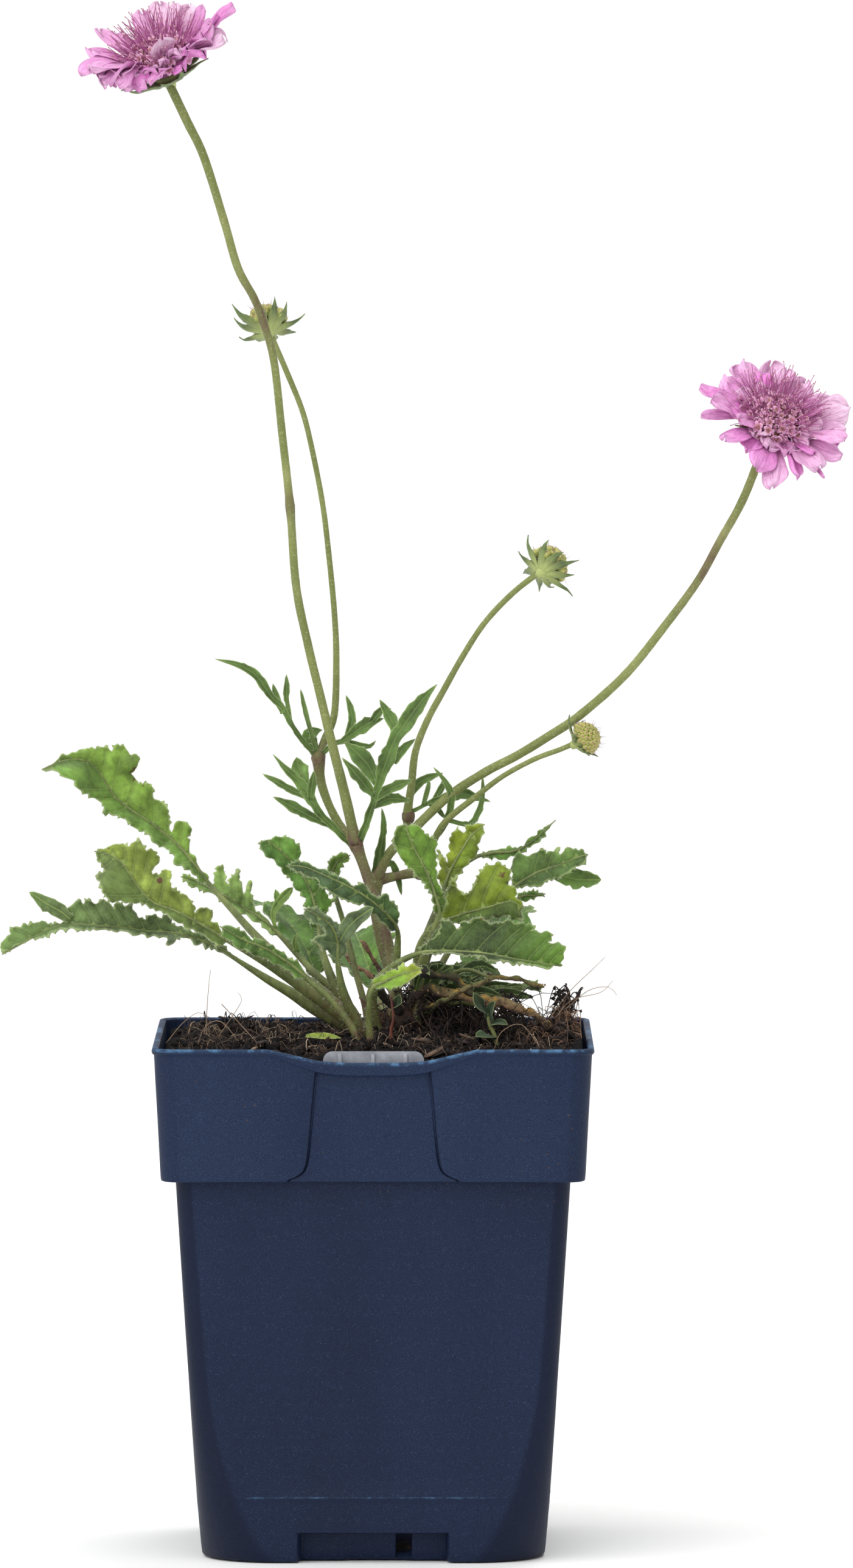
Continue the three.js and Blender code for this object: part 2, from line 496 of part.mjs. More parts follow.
const ROSETTE = {
  leaf_upper_left: {
    round: [1.7, 1.3, 0.5],
    tilt: [0.35, -1.3],
    stalk: [
      [-3, 1, 127], [-3.5, 1, 130.5], [-10.5, 2, 137], [-20.5, 4, 145], [-28.5, 6, 152], [-36, 8, 160],
    ],
    rib: [
      [-41.5, 10, 166], [-47, 11, 173], [-51.5, 12, 177.5], [-56.5, 12, 181.5], [-61, 12, 184.5],
      [-65, 12, 187.5], [-67.5, 12, 191], [-70.5, 11, 195.5], [-73.5, 9, 197.5], [-78, 7, 197.5],
      [-83.5, 4, 195.5],
    ],
    upper: [
      [-42.5, 168.5], [-46.5, 174], [-47, 177.5], [-45.5, 180], [-49, 182.5], [-51.5, 179], [-52, 185],
      [-54, 187.5], [-56, 187], [-56, 191.5], [-59.5, 191.5], [-61.5, 194], [-59.5, 196], [-59.5, 199],
      [-61.5, 198.5], [-63.5, 201], [-65.5, 201.5], [-66.5, 199.5], [-67.5, 201], [-72.5, 200],
      [-78, 199], [-81.5, 197],
    ],
    lower: [
      [-43, 166], [-47.5, 170.5], [-50, 171.5], [-51, 174], [-54, 176], [-58, 179.5], [-61.5, 181.5],
      [-64.5, 183], [-65, 184], [-69, 184], [-68, 186], [-71, 188], [-73, 189.5], [-75, 190.5],
      [-75.5, 192.5], [-79, 194.5], [-81, 195.5],
    ],
  },
  leaf_middle_left: {
    round: [1.9, 1.6, 0.6],
    tilt: [0.3, -0.8],
    stalk: [[-1.5, -7, 127], [-2.5, -7, 130], [-11.5, -9, 137], [-20.5, -11, 143.5], [-28, -13, 148.5]],
    rib: [
      [-36.5, -15, 153.5], [-43, -16, 157.5], [-49.5, -17, 161], [-55.5, -18, 163.5],
      [-59.5, -18, 168], [-63, -18, 173], [-66, -17, 175], [-70, -16, 176],
    ],
    upper: [
      [-37.5, 155.5], [-40.5, 158.5], [-40, 161], [-43, 162], [-45, 160.5], [-45.5, 164], [-48, 165],
      [-49.5, 167], [-50.5, 166], [-51, 170], [-52, 172], [-53, 170], [-55.5, 170.5], [-53.5, 173.5],
      [-54.5, 176], [-56, 177], [-57, 176], [-58, 178.5], [-59.5, 179], [-61, 177], [-62.5, 178],
      [-65.5, 177.5],
    ],
    lower: [
      [-38.5, 152], [-43, 155], [-46.5, 157], [-50.5, 159.5], [-54, 161.5], [-57.5, 163],
      [-61.5, 163.5], [-66, 164], [-67.5, 165.5], [-68.5, 168.5], [-69.5, 171], [-67, 171],
      [-69.5, 174],
    ],
  },
  leaf_low_left: {
    round: [1.9, 1.6, 0.5],
    tilt: [0.25, -3.0],
    stalk: [
      [-2, -2.5, 125.5], [-3, -3, 128.5], [-8.5, -3.5, 132], [-14.5, -4, 135.5], [-20.5, -4.5, 139.5],
      [-26.5, -5, 143],
    ],
    rib: [
      [-33.5, -6, 147.5], [-39, -7, 151], [-45, -8, 153.5], [-51, -9, 155], [-57, -10, 155.5],
      [-63, -11, 156.5], [-69.5, -12, 157], [-75.5, -12, 157.5], [-80.5, -11, 156.5],
      [-84.5, -10, 154.5], [-89, -9, 152], [-93.5, -8, 149.5],
    ],
    upper: [
      [-38, 152], [-42.5, 154.5], [-49, 156.5], [-51, 157.5], [-50, 159], [-51.5, 160.5], [-53, 159],
      [-56, 159.5], [-57.5, 158.5], [-59, 159], [-60.5, 161.5], [-61.5, 163], [-62.5, 161], [-63, 163],
      [-65, 163], [-65, 161], [-66.5, 163], [-68.5, 164], [-70, 162.5], [-71, 164], [-72.5, 163.5],
      [-73, 162.5], [-74, 163.5], [-76, 162], [-78, 160], [-77, 158], [-80.5, 157.5], [-86, 158],
      [-87, 157], [-91.5, 156.5], [-91, 155], [-92.5, 153.5], [-93.5, 151.5],
    ],
    lower: [
      [-39.5, 150.5], [-45, 153], [-48.5, 154], [-51.5, 152.5], [-52, 154], [-63, 155.5],
      [-75.5, 156.5], [-80.5, 155.5], [-83, 154], [-87, 153.5], [-88.5, 152.5], [-91, 151],
    ],
    lobes: [
      { half: [
        1.2, 1.9, 1.2], rib: [[-76, -12, 158.5], [-78.5, -12, 160.5], [-82, -12, 162.5],
        [-86.5, -12, 165.5],
      ] },
    ],
  },
  leaf_pinnate_left: {
    round: [1.3, 1.0, 0.5],
    tilt: [0.3, -0.8],
    stalk: [[-4, 9.5, 126], [-4, 9.5, 131.5], [-8.5, 11, 138], [-14, 12, 142.5], [-18.5, 14, 147]],
    rib: [
      [-24, 15, 153], [-28.5, 16, 157], [-33, 17, 159.5], [-37.5, 17, 162.5], [-41.5, 18, 164.5],
      [-45.5, 18, 166.5], [-49, 18, 167.5],
    ],
    upper: [
      [-29.5, 158.5], [-31, 161.5], [-31, 166], [-32.5, 166], [-33, 163], [-34, 165.5], [-34, 169.5],
      [-36.5, 167.5], [-36.5, 164.5], [-38, 167.5], [-38, 170], [-39.5, 170.5], [-40.5, 168],
      [-40, 165.5], [-43.5, 166], [-47, 168],
    ],
    lower: [
      [-26, 153], [-29, 156], [-33.5, 158.5], [-38, 161], [-40.5, 163], [-42.5, 163.5], [-45.5, 165],
      [-48, 166.5],
    ],
    lobes: [
      { half: [
        0.4, 0.9, 1.4], rib: [[-25, 15, 154.5], [-25.5, 15, 157.5], [-24.5, 15, 160.5],
        [-20.5, 14, 165],
      ] },
      { half: [0.5, 0.8, 0.6], rib: [[-24.5, 15, 160.5], [-24.5, 15, 162.5], [-25, 15, 164.5]] },
      { half: [0.5, 0.7, 0.5], rib: [[-19.5, 14, 148.5], [-20, 13, 151], [-19.5, 13, 153.5]] },
    ],
  },
  leaf_spoon_left: {
    round: [1.6, 1.3, 0.6],
    tilt: [0.5, -0.5],
    stalk: [[-4.5, 5, 126], [-4.5, 5, 131.5], [-8, 5.5, 137], [-11, 6, 143.5], [-13, 7, 149.5]],
    rib: [
      [-14, 8, 155], [-15, 8, 161], [-16.5, 9, 165.5], [-19.5, 9, 170.5], [-23, 8, 174],
      [-27, 7, 177.5],
    ],
    upper: [
      [-12, 156], [-12, 159.5], [-10.5, 161.5], [-9.5, 163], [-12, 162], [-12.5, 168], [-15, 169.5],
      [-17, 168], [-19, 172], [-19, 176], [-20.5, 177.5], [-23.5, 178.5],
    ],
    lower: [
      [-16, 155.5], [-15.5, 159], [-17.5, 160.5], [-17, 162.5], [-19.5, 165], [-21.5, 168], [-23, 169],
      [-23, 170.5], [-25, 172], [-28, 174], [-29, 176], [-28.5, 177.5],
    ],
  },
  leaf_dark_arching: {
    round: [1.5, 1.2, 0.5],
    tilt: [0.25, -0.9],
    stalk: [[5, -7, 133], [5.5, -7.5, 139.5], [5.5, -8, 145.5], [6, -9.5, 151]],
    rib: [
      [6, -13, 156], [4, -17, 159.5], [0.5, -20, 163], [-3.5, -22, 166], [-8, -23, 168.5],
      [-12.5, -23, 170.5], [-17.5, -22, 172.5], [-22, -20, 172.5],
    ],
    upper: [
      [6.5, 159], [5.5, 163], [4, 164], [2.5, 166], [1, 164], [-1.5, 167], [-3.5, 169], [-4.5, 167.5],
      [-7.5, 170], [-12.5, 171.5], [-15.5, 173.5], [-19.5, 174],
    ],
    lower: [[4.5, 156], [1.5, 159], [-2, 163], [-7.5, 164.5], [-11, 166], [-14.5, 169.5], [-18.5, 171]],
  },
  leaf_grey_forked: {
    round: [1.5, 1.3, 0.5],
    tilt: [0.3, -0.3],
    stalk: [[-2.5, -12, 127], [-3.5, -12.5, 131], [-6, -14, 136.5], [-8, -16, 142.5]],
    rib: [[-9, -18, 149], [-9, -19, 153.5], [-10.5, -21, 157.5], [-13.5, -22, 160], [-17.5, -22, 162]],
    upper: [[-7, 150], [-7, 154], [-8, 157.5], [-10, 159], [-12.5, 161.5], [-15.5, 162.5]],
    lower: [
      [-10.5, 150], [-12.5, 152], [-16, 153.5], [-14.5, 154.5], [-11.5, 155], [-12.5, 157],
      [-15, 158.5], [-17.5, 160.5],
    ],
    lobes: [
      { half: [
        1.4, 2.1, 1.5], rib: [[-8.5, -19, 153.5], [-6.5, -21.5, 157], [-3.5, -24, 160],
        [0, -25.5, 162.5],
      ] },
    ],
  },
  leaf_fuzzy_left: {
    round: [1.1, 0.9, 0.5],
    tilt: [0.6, -0.6],
    stalk: [[-3, -17.5, 126.5], [-5.5, -17.5, 132], [-10.5, -17.5, 138.5]],
    rib: [
      [-16.5, -17.5, 144], [-20.5, -18, 147.5], [-25, -19, 150.5], [-28.5, -20, 152.5],
      [-32.5, -20.5, 154], [-38.5, -21, 157.5],
    ],
    upper: [
      [-17, 146], [-19, 148.5], [-21.5, 149.5], [-22.5, 151], [-24, 151], [-25, 153], [-27, 152.5],
      [-28.5, 154.5], [-30.5, 154], [-32.5, 156], [-34.5, 157.5], [-36, 158],
    ],
    lower: [
      [-18, 144], [-20.5, 145.5], [-23, 147], [-26.5, 149], [-30, 150.5], [-33, 152], [-36, 154],
      [-37.5, 155.5],
    ],
  },
  leaf_young_left: {
    round: [0.9, 0.8, 0.5],
    tilt: [0.3, -0.5],
    stalk: [[-1.5, 15, 125], [-2, 16, 133.5], [-4.5, 18, 143], [-7.5, 19.5, 155]],
    rib: [[-10.5, 19, 165], [-10.5, 18.5, 168.5], [-9.5, 18, 171], [-6, 17, 173]],
    upper: [[-9, 166], [-9, 169], [-7.5, 171]],
    lower: [[-11.5, 166], [-12, 169.5], [-11, 172], [-10, 173], [-8, 173.5]],
  },
  leaf_low_right: {
    round: [1.6, 1.4, 0.5],
    tilt: [0.25, -2.2],
    stalk: [
      [1.5, -9.5, 127.5], [0.5, -11.5, 132.5], [-0.5, -15, 139], [1.5, -18, 144], [6.5, -21, 148.5],
    ],
    rib: [
      [12, -23, 151], [17.5, -25, 151.5], [23.5, -27, 151.5], [29, -28, 151], [34.5, -29, 150],
      [40.5, -29, 149], [47, -29, 148],
    ],
    upper: [
      [11, 152.5], [14, 153.5], [16.5, 155.5], [17.5, 159.5], [19.5, 159], [21.5, 156.5], [22.5, 159],
      [24.5, 158.5], [25, 160], [27, 160], [29.5, 158.5], [31.5, 158.5], [34, 159.5], [36, 158],
      [38, 158.5], [41, 158], [39.5, 156.5], [45.5, 156], [43, 153.5], [46, 154], [48, 152.5],
      [47.5, 150],
    ],
    lower: [[12, 150.5], [17.5, 151], [23.5, 150.5], [29, 150], [34.5, 149], [40.5, 148]],
  },
  leaf_broad_right: {
    round: [1.6, 1.4, 0.5],
    tilt: [0.3, -0.9],
    stalk: [[10.5, -4, 132], [10.5, -5, 138.5], [11, -6.5, 146], [12, -9, 152.5]],
    rib: [
      [15.5, -11, 157.5], [19.5, -13, 159], [23.5, -15, 160.5], [29, -16, 162], [34.5, -17, 163.5],
      [37.5, -17, 161.5],
    ],
    upper: [
      [16.5, 159.5], [18.5, 162], [19, 168], [21.5, 170.5], [20.5, 167], [22.5, 165], [24, 165.5],
      [25.5, 167.5], [26.5, 170.5], [28, 172.5], [29.5, 172.5], [31.5, 173], [34, 171], [34.5, 169],
      [33.5, 167], [35, 167], [35.5, 165],
    ],
    lower: [
      [17.5, 157], [21, 158], [25, 158.5], [30.5, 159.5], [34, 160], [37, 158.5], [38, 160],
      [36.5, 161],
    ],
  },
  leaf_far_right: {
    round: [1.4, 1.2, 0.5],
    tilt: [0.3, -1.2],
    stalk: [[9.5, 7.5, 131.5], [10, 8, 139], [13, 9, 149.5], [21, 11, 158], [28.5, 12, 162.5]],
    rib: [
      [35, 12, 165], [38, 12, 167], [41.5, 12, 169], [44.5, 12, 170], [47.5, 12, 171], [51, 12, 172.5],
      [54, 12, 173.5],
    ],
    upper: [
      [35, 168], [35.5, 173], [37, 174], [39, 173], [41, 173.5], [42.5, 175], [44, 175], [43.5, 173.5],
      [45.5, 174.5], [47, 175], [47, 173.5], [48.5, 175], [51.5, 175], [53, 174.5],
    ],
    lower: [[36.5, 165], [41, 166], [46, 167.5], [50, 169.5], [53.5, 171.5]],
    lobes: [
      { half: [
        1.0, 2.3, 1.9], rib: [[44, 12, 169.5], [47.5, 13, 168], [51.5, 14, 167], [57.5, 13, 167],
      ] },
    ],
  },
  leaf_pale_right: {
    round: [1.5, 1.3, 0.5],
    tilt: [0.35, -0.5],
    stalk: [[10.5, -9, 132], [11.5, -10, 138.5], [12, -11.5, 146], [14, -14.5, 153.5]],
    rib: [
      [16.5, -17, 160], [15.5, -18, 165], [13.5, -19, 170.5], [11.5, -19, 174.5], [9.5, -19, 178.5],
      [8, -18, 182.5],
    ],
    upper: [
      [18, 161.5], [17.5, 165.5], [16, 169], [15.5, 171.5], [16, 175], [15.5, 178], [15, 180],
      [14, 179.5], [12, 182], [10.5, 183],
    ],
    lower: [
      [15.5, 160.5], [14.5, 165], [13, 168], [10.5, 170], [8, 173], [6, 175.5], [5, 178], [5, 180.5],
      [6, 182.5],
    ],
  },
  leaf_yellow_right: {
    round: [1.4, 1.2, 0.5],
    tilt: [0.35, -0.5],
    stalk: [[11.5, 3, 131.5], [11.7, 3.1, 138.5], [13, 2.5, 147], [15.5, 1, 154], [16.8, -1, 160.5]],
    rib: [
      [17.5, -2, 165], [19, -2.2, 169.5], [20.5, -2.4, 172.5], [22.5, -2.4, 176], [24.5, -2.2, 179],
      [28, -2, 182],
    ],
    upper: [
      [16, 168.4], [17, 171], [16, 173.5], [16.5, 176], [17.8, 173.2], [18.6, 172.4], [19, 175],
      [19.3, 178.5],
      [21, 181.5], [22.6, 179.8], [24, 181.5], [26, 182.5],
    ],
    lower: [[19.4, 166.5], [20.5, 168.5], [23, 171], [25, 174], [27, 178]],
  },
  leaf_narrow_right: {
    round: [1.1, 0.9, 0.5],
    tilt: [0.5, -0.5],
    stalk: [[9.5, 12.5, 131], [10, 13.5, 139.5], [13, 16, 152], [20, 18, 167.5]],
    rib: [[25, 18, 172], [30, 18, 173.5], [35.5, 17, 174], [40, 16, 176.5], [46, 15, 182]],
    upper: [[28.5, 174], [33, 175], [37.5, 175], [41, 178.5]],
    lower: [[27.5, 172.5], [30.5, 172], [35, 172.5], [38, 174], [42.5, 177]],
  },
  leaf_small_right: {
    round: [1.0, 0.8, 0.5],
    tilt: [0.5, -0.5],
    stalk: [[13.5, 16.5, 127], [13.5, 17, 135], [19.5, 20, 149], [30.5, 21, 158]],
    rib: [[36, 21, 161.5], [38.5, 21, 162.5], [41, 20, 162.5], [43.5, 20, 163]],
    upper: [[36.5, 162.5], [38.5, 163.5], [40.5, 164], [41.5, 163.5]],
    lower: [[37, 161], [39.5, 161.5], [42, 162]],
  },
  leaf_low_yellow: {
    round: [1.0, 0.8, 0.5],
    tilt: [0.3, -1.0],
    stalk: [[-0.5, -21, 127], [-1, -22, 132], [-1, -24, 137.5]],
    rib: [[0, -26, 142.5], [3, -27, 144], [6, -28, 145.5], [9, -29, 146.5], [12.5, -29, 147.5]],
    upper: [
      [0, 144.5], [2, 146], [3, 145.5], [4.5, 147.5], [6, 147], [7, 148.5], [8.5, 148], [10.5, 148.5],
    ],
    lower: [[1.5, 142], [3.5, 143], [4, 142], [6, 143], [7, 142.5], [8.5, 144.5], [10.5, 145]],
  },
};

// Leaves at the back of the rosette, turned copies of one plain cut leaf

function plainLeaf(length, width) {
  const rib = [];
  const upper = [];
  const lower = [];
  for (let i = 0; i <= 6; i += 1) {
    const t = i / 6;
    rib.push([length * (0.35 + 0.65 * t), 0, length * (0.42 * t - 0.36 * t * t)]);
  }
  for (let i = 0; i < BACK_LEAF_LOBES * 2; i += 1) {
    const t = (i + 0.7) / (BACK_LEAF_LOBES * 2);
    const reach = width * Math.sin(Math.PI * t ** 0.75) * (i % 2 ? 0.5 : 1) + 0.8;
    const x = length * (0.35 + 0.62 * t) + (i % 2 ? 0 : 0.12 * width);
    upper.push([x, reach]);
    lower.push([x - 0.5, -reach]);
  }
  return { rib, upper, lower };
}

const BACK_LEAF_LOBES = 4;

const BACK_LEAVES = [
  { name: 'leaf_back_right', turn: 62, base: [15.5, 12, 127], length: 58, width: 8, rise: 22, roll: 10 },
  { name: 'leaf_back', turn: 98, base: [4, 19.5, 127], length: 60, width: 9, rise: 12, roll: -12 },
  { name: 'leaf_back_left', turn: 128, base: [-6, 14, 127], length: 56, width: 8, rise: 26, roll: 8 },
  { name: 'leaf_back_low', turn: 52, base: [19, 5, 127], length: 40, width: 6, rise: 5, roll: -6 },
];

function backShape(leaf) {
  const lift = leaf.length * 0.1;
  const flat = plainLeaf(leaf.length, leaf.width);
  return {
    rib: flat.rib.map(([x, , z]) => [x, z + lift, 0]),
    upper: flat.upper,
    lower: flat.lower,
    tilt: [0.25, 0.25],
    round: [1.5, 1.2],
    stalk: [[0, 0, 0], [0.4, 2.5, 0], [leaf.length * 0.14, lift, 0]],
  };
}

// Turns a piece of a back leaf from its own flat place to where it grows
function placed(geometry, { base, turn, rise, roll }) {
  geometry.rotateX(Math.PI / 2 + THREE.MathUtils.degToRad(roll));
  geometry.rotateY(-THREE.MathUtils.degToRad(rise));
  geometry.rotateZ(THREE.MathUtils.degToRad(turn));
  geometry.translate(...base);
  return geometry;
}

// Leafy stems

const STEM_LEAVES_LEFT = [
  // long leaf on the right of the first fork
  { half: [0.9, 0.9, 0.9, 1.1, 2.0, 1.4, 2.0, 2.1, 0.8],
    rib: [
      [-3.5, 4, 177.5], [-1, 1, 184.5], [0.5, -1, 189.5], [2.5, -3, 196], [4.5, -4, 201.5],
      [6.5, -5, 205.5], [11.5, -6, 212.5], [14, -7, 215.5], [16, -7, 217.5],
    ] },
  { half: [1.1, 1.4, 0.5],
    rib: [[6, -4.5, 205], [4, -3, 209], [1.5, -3, 213.5]] },
  { half: [0.8, 1.1, 0.5],
    rib: [[5, -4, 197.5], [7.5, -3, 201], [10.5, -2, 203.5]] },
  { half: [0.6, 1.9, 2.0, 0.7],
    rib: [[1, -1, 191.5], [-1, 1, 196], [-4, 2, 199.5], [-7.5, 3, 202.5]] },
  { half: [0.6, 1.4, 1.2, 0.5],
    rib: [[0, -1, 189], [-3, -5, 193], [-5.5, -6, 196], [-8, -6, 199]] },
  { half: [0.6, 1.2, 1.2, 0.5],
    rib: [[0, -1, 188], [3, 1, 190], [6, 2, 191.5], [10, 3, 193]] },
  { half: [0.6, 1.3, 1.2, 0.5],
    rib: [[-0.5, 0, 186], [3.5, 2, 188], [6, 3, 188], [9.5, 4, 187.5]] },
  // cut leaf on the left of the first fork
  { half: [0.8, 0.8, 0.9, 1.2, 1.3, 0.9, 0.5],
    rib: [
      [-5.5, 6, 176], [-10.5, 5, 181], [-14, 4, 185], [-16.5, 3, 189], [-18.5, 3, 192],
      [-22, 2, 195.5], [-25.5, 1, 199.5],
    ] },
  { half: [0.8, 1.3, 2.0, 1.1],
    rib: [[-17, 3, 189.5], [-18, 4, 193.5], [-19, 5, 196], [-19.5, 5, 198.5]] },
  { half: [0.7, 1.2, 0.5],
    rib: [[-16, 3, 188], [-15.5, 1, 192], [-15, 0, 195.5]] },
  { half: [0.7, 0.9, 0.8, 0.5],
    rib: [[-17, 3, 188.5], [-21, 2, 190.5], [-24.5, 1, 192.5], [-28, 1, 194.5]] },
  { half: [0.5, 1.1, 1.3, 0.5],
    rib: [[-11, 5, 181], [-17, 5, 184], [-21.5, 5, 186.5], [-25.5, 5, 188.5]] },
  // long leaf on the left of the second fork
  { half: [0.7, 0.6, 0.6, 0.7, 0.9, 1.1, 1.0, 0.5],
    rib: [
      [-14, 10, 198], [-18, 8, 202.5], [-21, 6, 207], [-23, 5, 211], [-26, 4, 214], [-29, 3, 218.5],
      [-33, 2, 221.5], [-40, 1, 223.5],
    ] },
  { half: [0.6, 0.8, 0.5],
    rib: [[-23, 5, 209.5], [-24.5, 6, 213.5], [-25.5, 7, 217]] },
  { half: [0.5, 0.5, 0.9, 0.5],
    rib: [[-21, 6, 207.5], [-22, 5, 213], [-22, 4, 216], [-22, 3, 219.5]] },
  { half: [0.5, 0.5, 0.6, 0.5],
    rib: [[-14.5, 9.4, 199.5], [-16, 8, 205], [-17.5, 9, 210.5], [-18.5, 9, 215.5]] },
  { half: [0.8, 1.8, 1.8, 0.6],
    rib: [[-14.5, 10.6, 198.5], [-16.5, 11, 203], [-15, 12, 204.5], [-13, 12, 205]] },
  // leaf on the right of the second fork
  { half: [0.6, 0.6, 0.7, 1.4, 1.9, 0.8],
    rib: [
      [-13.5, 10, 198.5], [-10.5, 9, 201.5], [-8, 7, 202.5], [-4.5, 5, 205], [-1.5, 3, 207],
      [2.5, 1, 208.5],
    ] },
  { half: [0.8, 1.0, 0.5],
    rib: [[-0.5, 2.6, 207.5], [2, 0, 210.5], [4.5, -1, 211]] },
  { half: [0.5, 0.9, 0.8, 0.5],
    rib: [[-7, 6.5, 203.5], [-5.5, 7, 207.5], [-6, 8, 211], [-7, 8, 214]] },
  { half: [0.5, 0.7, 0.7, 0.5],
    rib: [[-8.5, 7.5, 202.5], [-4.5, 8, 201.5], [-1, 9, 201], [0.5, 9, 202.5]] },
];
const STEM_LEAVES_RIGHT = [
  // narrow leaves of the dark fork
  { half: [1.2, 1.1, 0.8, 0.5],
    rib: [[0.5, 11, 168.5], [2, 9, 176.5], [2.5, 8, 182], [2, 8, 185.5]] },
  { half: [0.6, 0.9, 0.8, 0.5],
    rib: [[1, 11, 170.5], [4.5, 13, 171], [6, 14, 167.5], [7, 14, 163]] },
  // fine cut leaf beside the stem of the middle bud
  { half: [0.5, 0.5, 0.9, 1.4, 1.1, 0.5],
    rib: [
      [9, 13, 184], [14, 12, 186.5], [16.5, 11, 187.5], [22, 10, 189], [26, 9, 188], [29.5, 9, 187],
    ] },
  { half: [0.5, 0.6, 0.5],
    rib: [[12.5, 12, 186], [13.5, 12, 189.5], [14, 12, 192.5]] },
  { half: [0.5, 0.8, 0.5],
    rib: [[15, 11.5, 187], [17, 12, 190], [18, 12, 193]] },
  { half: [0.5, 1.0, 0.9, 0.5],
    rib: [[9, 12.5, 188], [11.5, 14, 191.5], [14.5, 14, 193], [17.5, 14, 194]] },
  { half: [0.5, 0.7, 0.5],
    rib: [[13.5, 12, 186.5], [16, 13, 185], [18, 13, 182.5]] },
  // leaf between the two right-hand stems
  { half: [0.6, 0.9, 0.8, 0.9, 0.8, 0.5],
    rib: [
      [15, 11, 177], [18.5, 9, 182.5], [19.5, 7, 186.5], [19.5, 6, 189.5], [17.5, 5, 193],
      [15, 5, 196],
    ] },
  // leaf behind the stem of the seed head
  { half: [0.5, 0.7, 0.7, 0.6, 0.5],
    rib: [[18.5, 6.5, 182.5], [24, 6, 181.5], [26.5, 7, 184.5], [27.5, 8, 189], [27.5, 8, 193.5]] },
];

const STEMS = {
  main: [
    [6.5, -0.5, 131], [6, 0, 138], [5, 1, 144], [4, 2, 150], [2.5, 2.5, 156], [0, 3, 163],
    [-2, 4, 169.5], [-4.5, 5, 176.5],
  ],
  tall: [
    [-4.5, 5, 176.5], [-7.5, 3, 190], [-10.5, 1, 202], [-13.5, 0, 214.5], [-16.5, -1, 227],
    [-19.5, -2, 242], [-21, -3, 262], [-23, -4, 280.5], [-25, -5, 298.5], [-27.5, -6, 308],
    [-30, -7, 314.5], [-34, -8, 322], [-37.5, -9, 334], [-42.5, -11, 350], [-46.5, -13, 358.5],
    [-51, -14, 368],
  ],
  left_branch: [
    [-4.5, 5, 176.5], [-8.5, 8, 181], [-11.5, 9, 186.5], [-13.5, 10, 192.5], [-14, 10, 198],
  ],
  bud_b: [
    [-14, 10, 197.5], [-12.5, 12, 202.5], [-10, 12, 209], [-9.5, 12, 223], [-10, 12, 235],
    [-11.5, 12, 250.5], [-13, 12, 262.5], [-15.5, 12, 275.5], [-18, 12, 285.5], [-22, 12, 295.5],
    [-26.5, 11, 306],
  ],
  dark_fork: [
    [5.5, 8.5, 130.5], [5, 9, 137.5], [4, 10, 143.5], [2, 11, 150], [0.5, 11, 158.5], [0.5, 11, 167],
  ],
  fork_right: [[0.5, 11, 167], [6, 13, 168], [11.5, 15, 169]],
  bud_c: [
    [11.5, 15, 168.5], [10, 14, 175.5], [8.5, 13, 182.5], [9.5, 12, 191], [10.5, 11, 199.5],
    [13.5, 10, 207.5], [17.5, 8, 215], [22.5, 6, 224], [28, 4, 232.5], [35, 2, 240], [42.5, 0, 246],
  ],
  right_flower: [
    [0.5, 11, 167], [4, 10, 174], [8, 10, 177.5], [11.5, 9, 181.5], [19.5, 7, 189], [28.5, 4, 195],
    [36, 2, 199], [44, 0, 204], [52, -2, 209.5], [63.5, -5, 220], [73.5, -6, 232.5], [81.5, -7, 243.5],
    [87, -8, 253.5], [93, -8, 264.5], [99, -7, 280],
  ],
  seed: [
    [11.5, 15, 168.5], [14.5, 11, 175.5], [18, 7, 182], [25.5, 2, 188.5], [32.5, -1, 194],
    [40.5, -4, 198.5], [47, -5, 201], [51.5, -6, 203],
  ],
};

const STEM_RADII = {
  main: [1.8, 1.6, 1.7],
  tall: [1.5, 1.15, 1.1, 1.05, 1.1, 1.2],
  left_branch: [1.3, 1.1, 1.5],
  bud_b: [1.1, 0.8, 0.75, 0.8],
  dark_fork: [1.4, 1.2, 1.6],
  fork_right: [1.4, 1.2, 1.4],
  bud_c: [1.3, 1.1, 0.9, 0.8, 0.8],
  right_flower: [1.4, 1.2, 1.2, 1.1, 1.2],
  seed: [1.0, 0.9, 0.7, 0.7],
};

const SWELLINGS = {
  left: [[-4.5, 5, 176.5, 2.2], [-14, 10, 198, 1.9], [-21, -3, 262, 1.5]],
  right: [[0.5, 11, 167, 2.3], [11.5, 15, 168.8, 1.7], [8.7, 13, 183, 1.5]],
};

function knot([x, y, z, radius]) {
  const geometry = new THREE.IcosahedronGeometry(radius, 0);
  geometry.translate(x, y, z);
  return geometry;
}

function stemLeaf({ rib, half }) {
  return strap(rib, half, FRONT);
}

// Flower heads: a place, the way the head looks, and its size

const HEADS = {
  left_flower: { centre: [-51.2, -14.2, 369.5], axis: [-0.4, -0.3, 0.87], lift: [2, 8.5] },
  right_flower: { centre: [99.6, -7.6, 281], axis: [0.3, -0.62, 0.72], lift: [0.5, 4] },
  bud_b: { centre: [-26.6, 10.8, 306.5], axis: [-0.15, 0.62, 0.7] },
  bud_c: { centre: [42.8, -0.2, 246], axis: [0.5, 0.62, 0.5] },
  seed: { centre: [51.8, -6.1, 203.1], axis: [0.78, -0.3, 0.5] },
};

function headFrame(head) {
  const up = new THREE.Vector3(...head.axis).normalize();
  const across = new THREE.Vector3(0, 1, 0).cross(up).normalize();
  const back = up.clone().cross(across);
  return { centre: new THREE.Vector3(...head.centre), up, across, back };
}

function onHead(frame, radius, angle, height) {
  return frame.centre.clone()
    .addScaledVector(frame.across, radius * Math.cos(angle))
    .addScaledVector(frame.back, radius * Math.sin(angle))
    .addScaledVector(frame.up, height)
    .toArray();
}

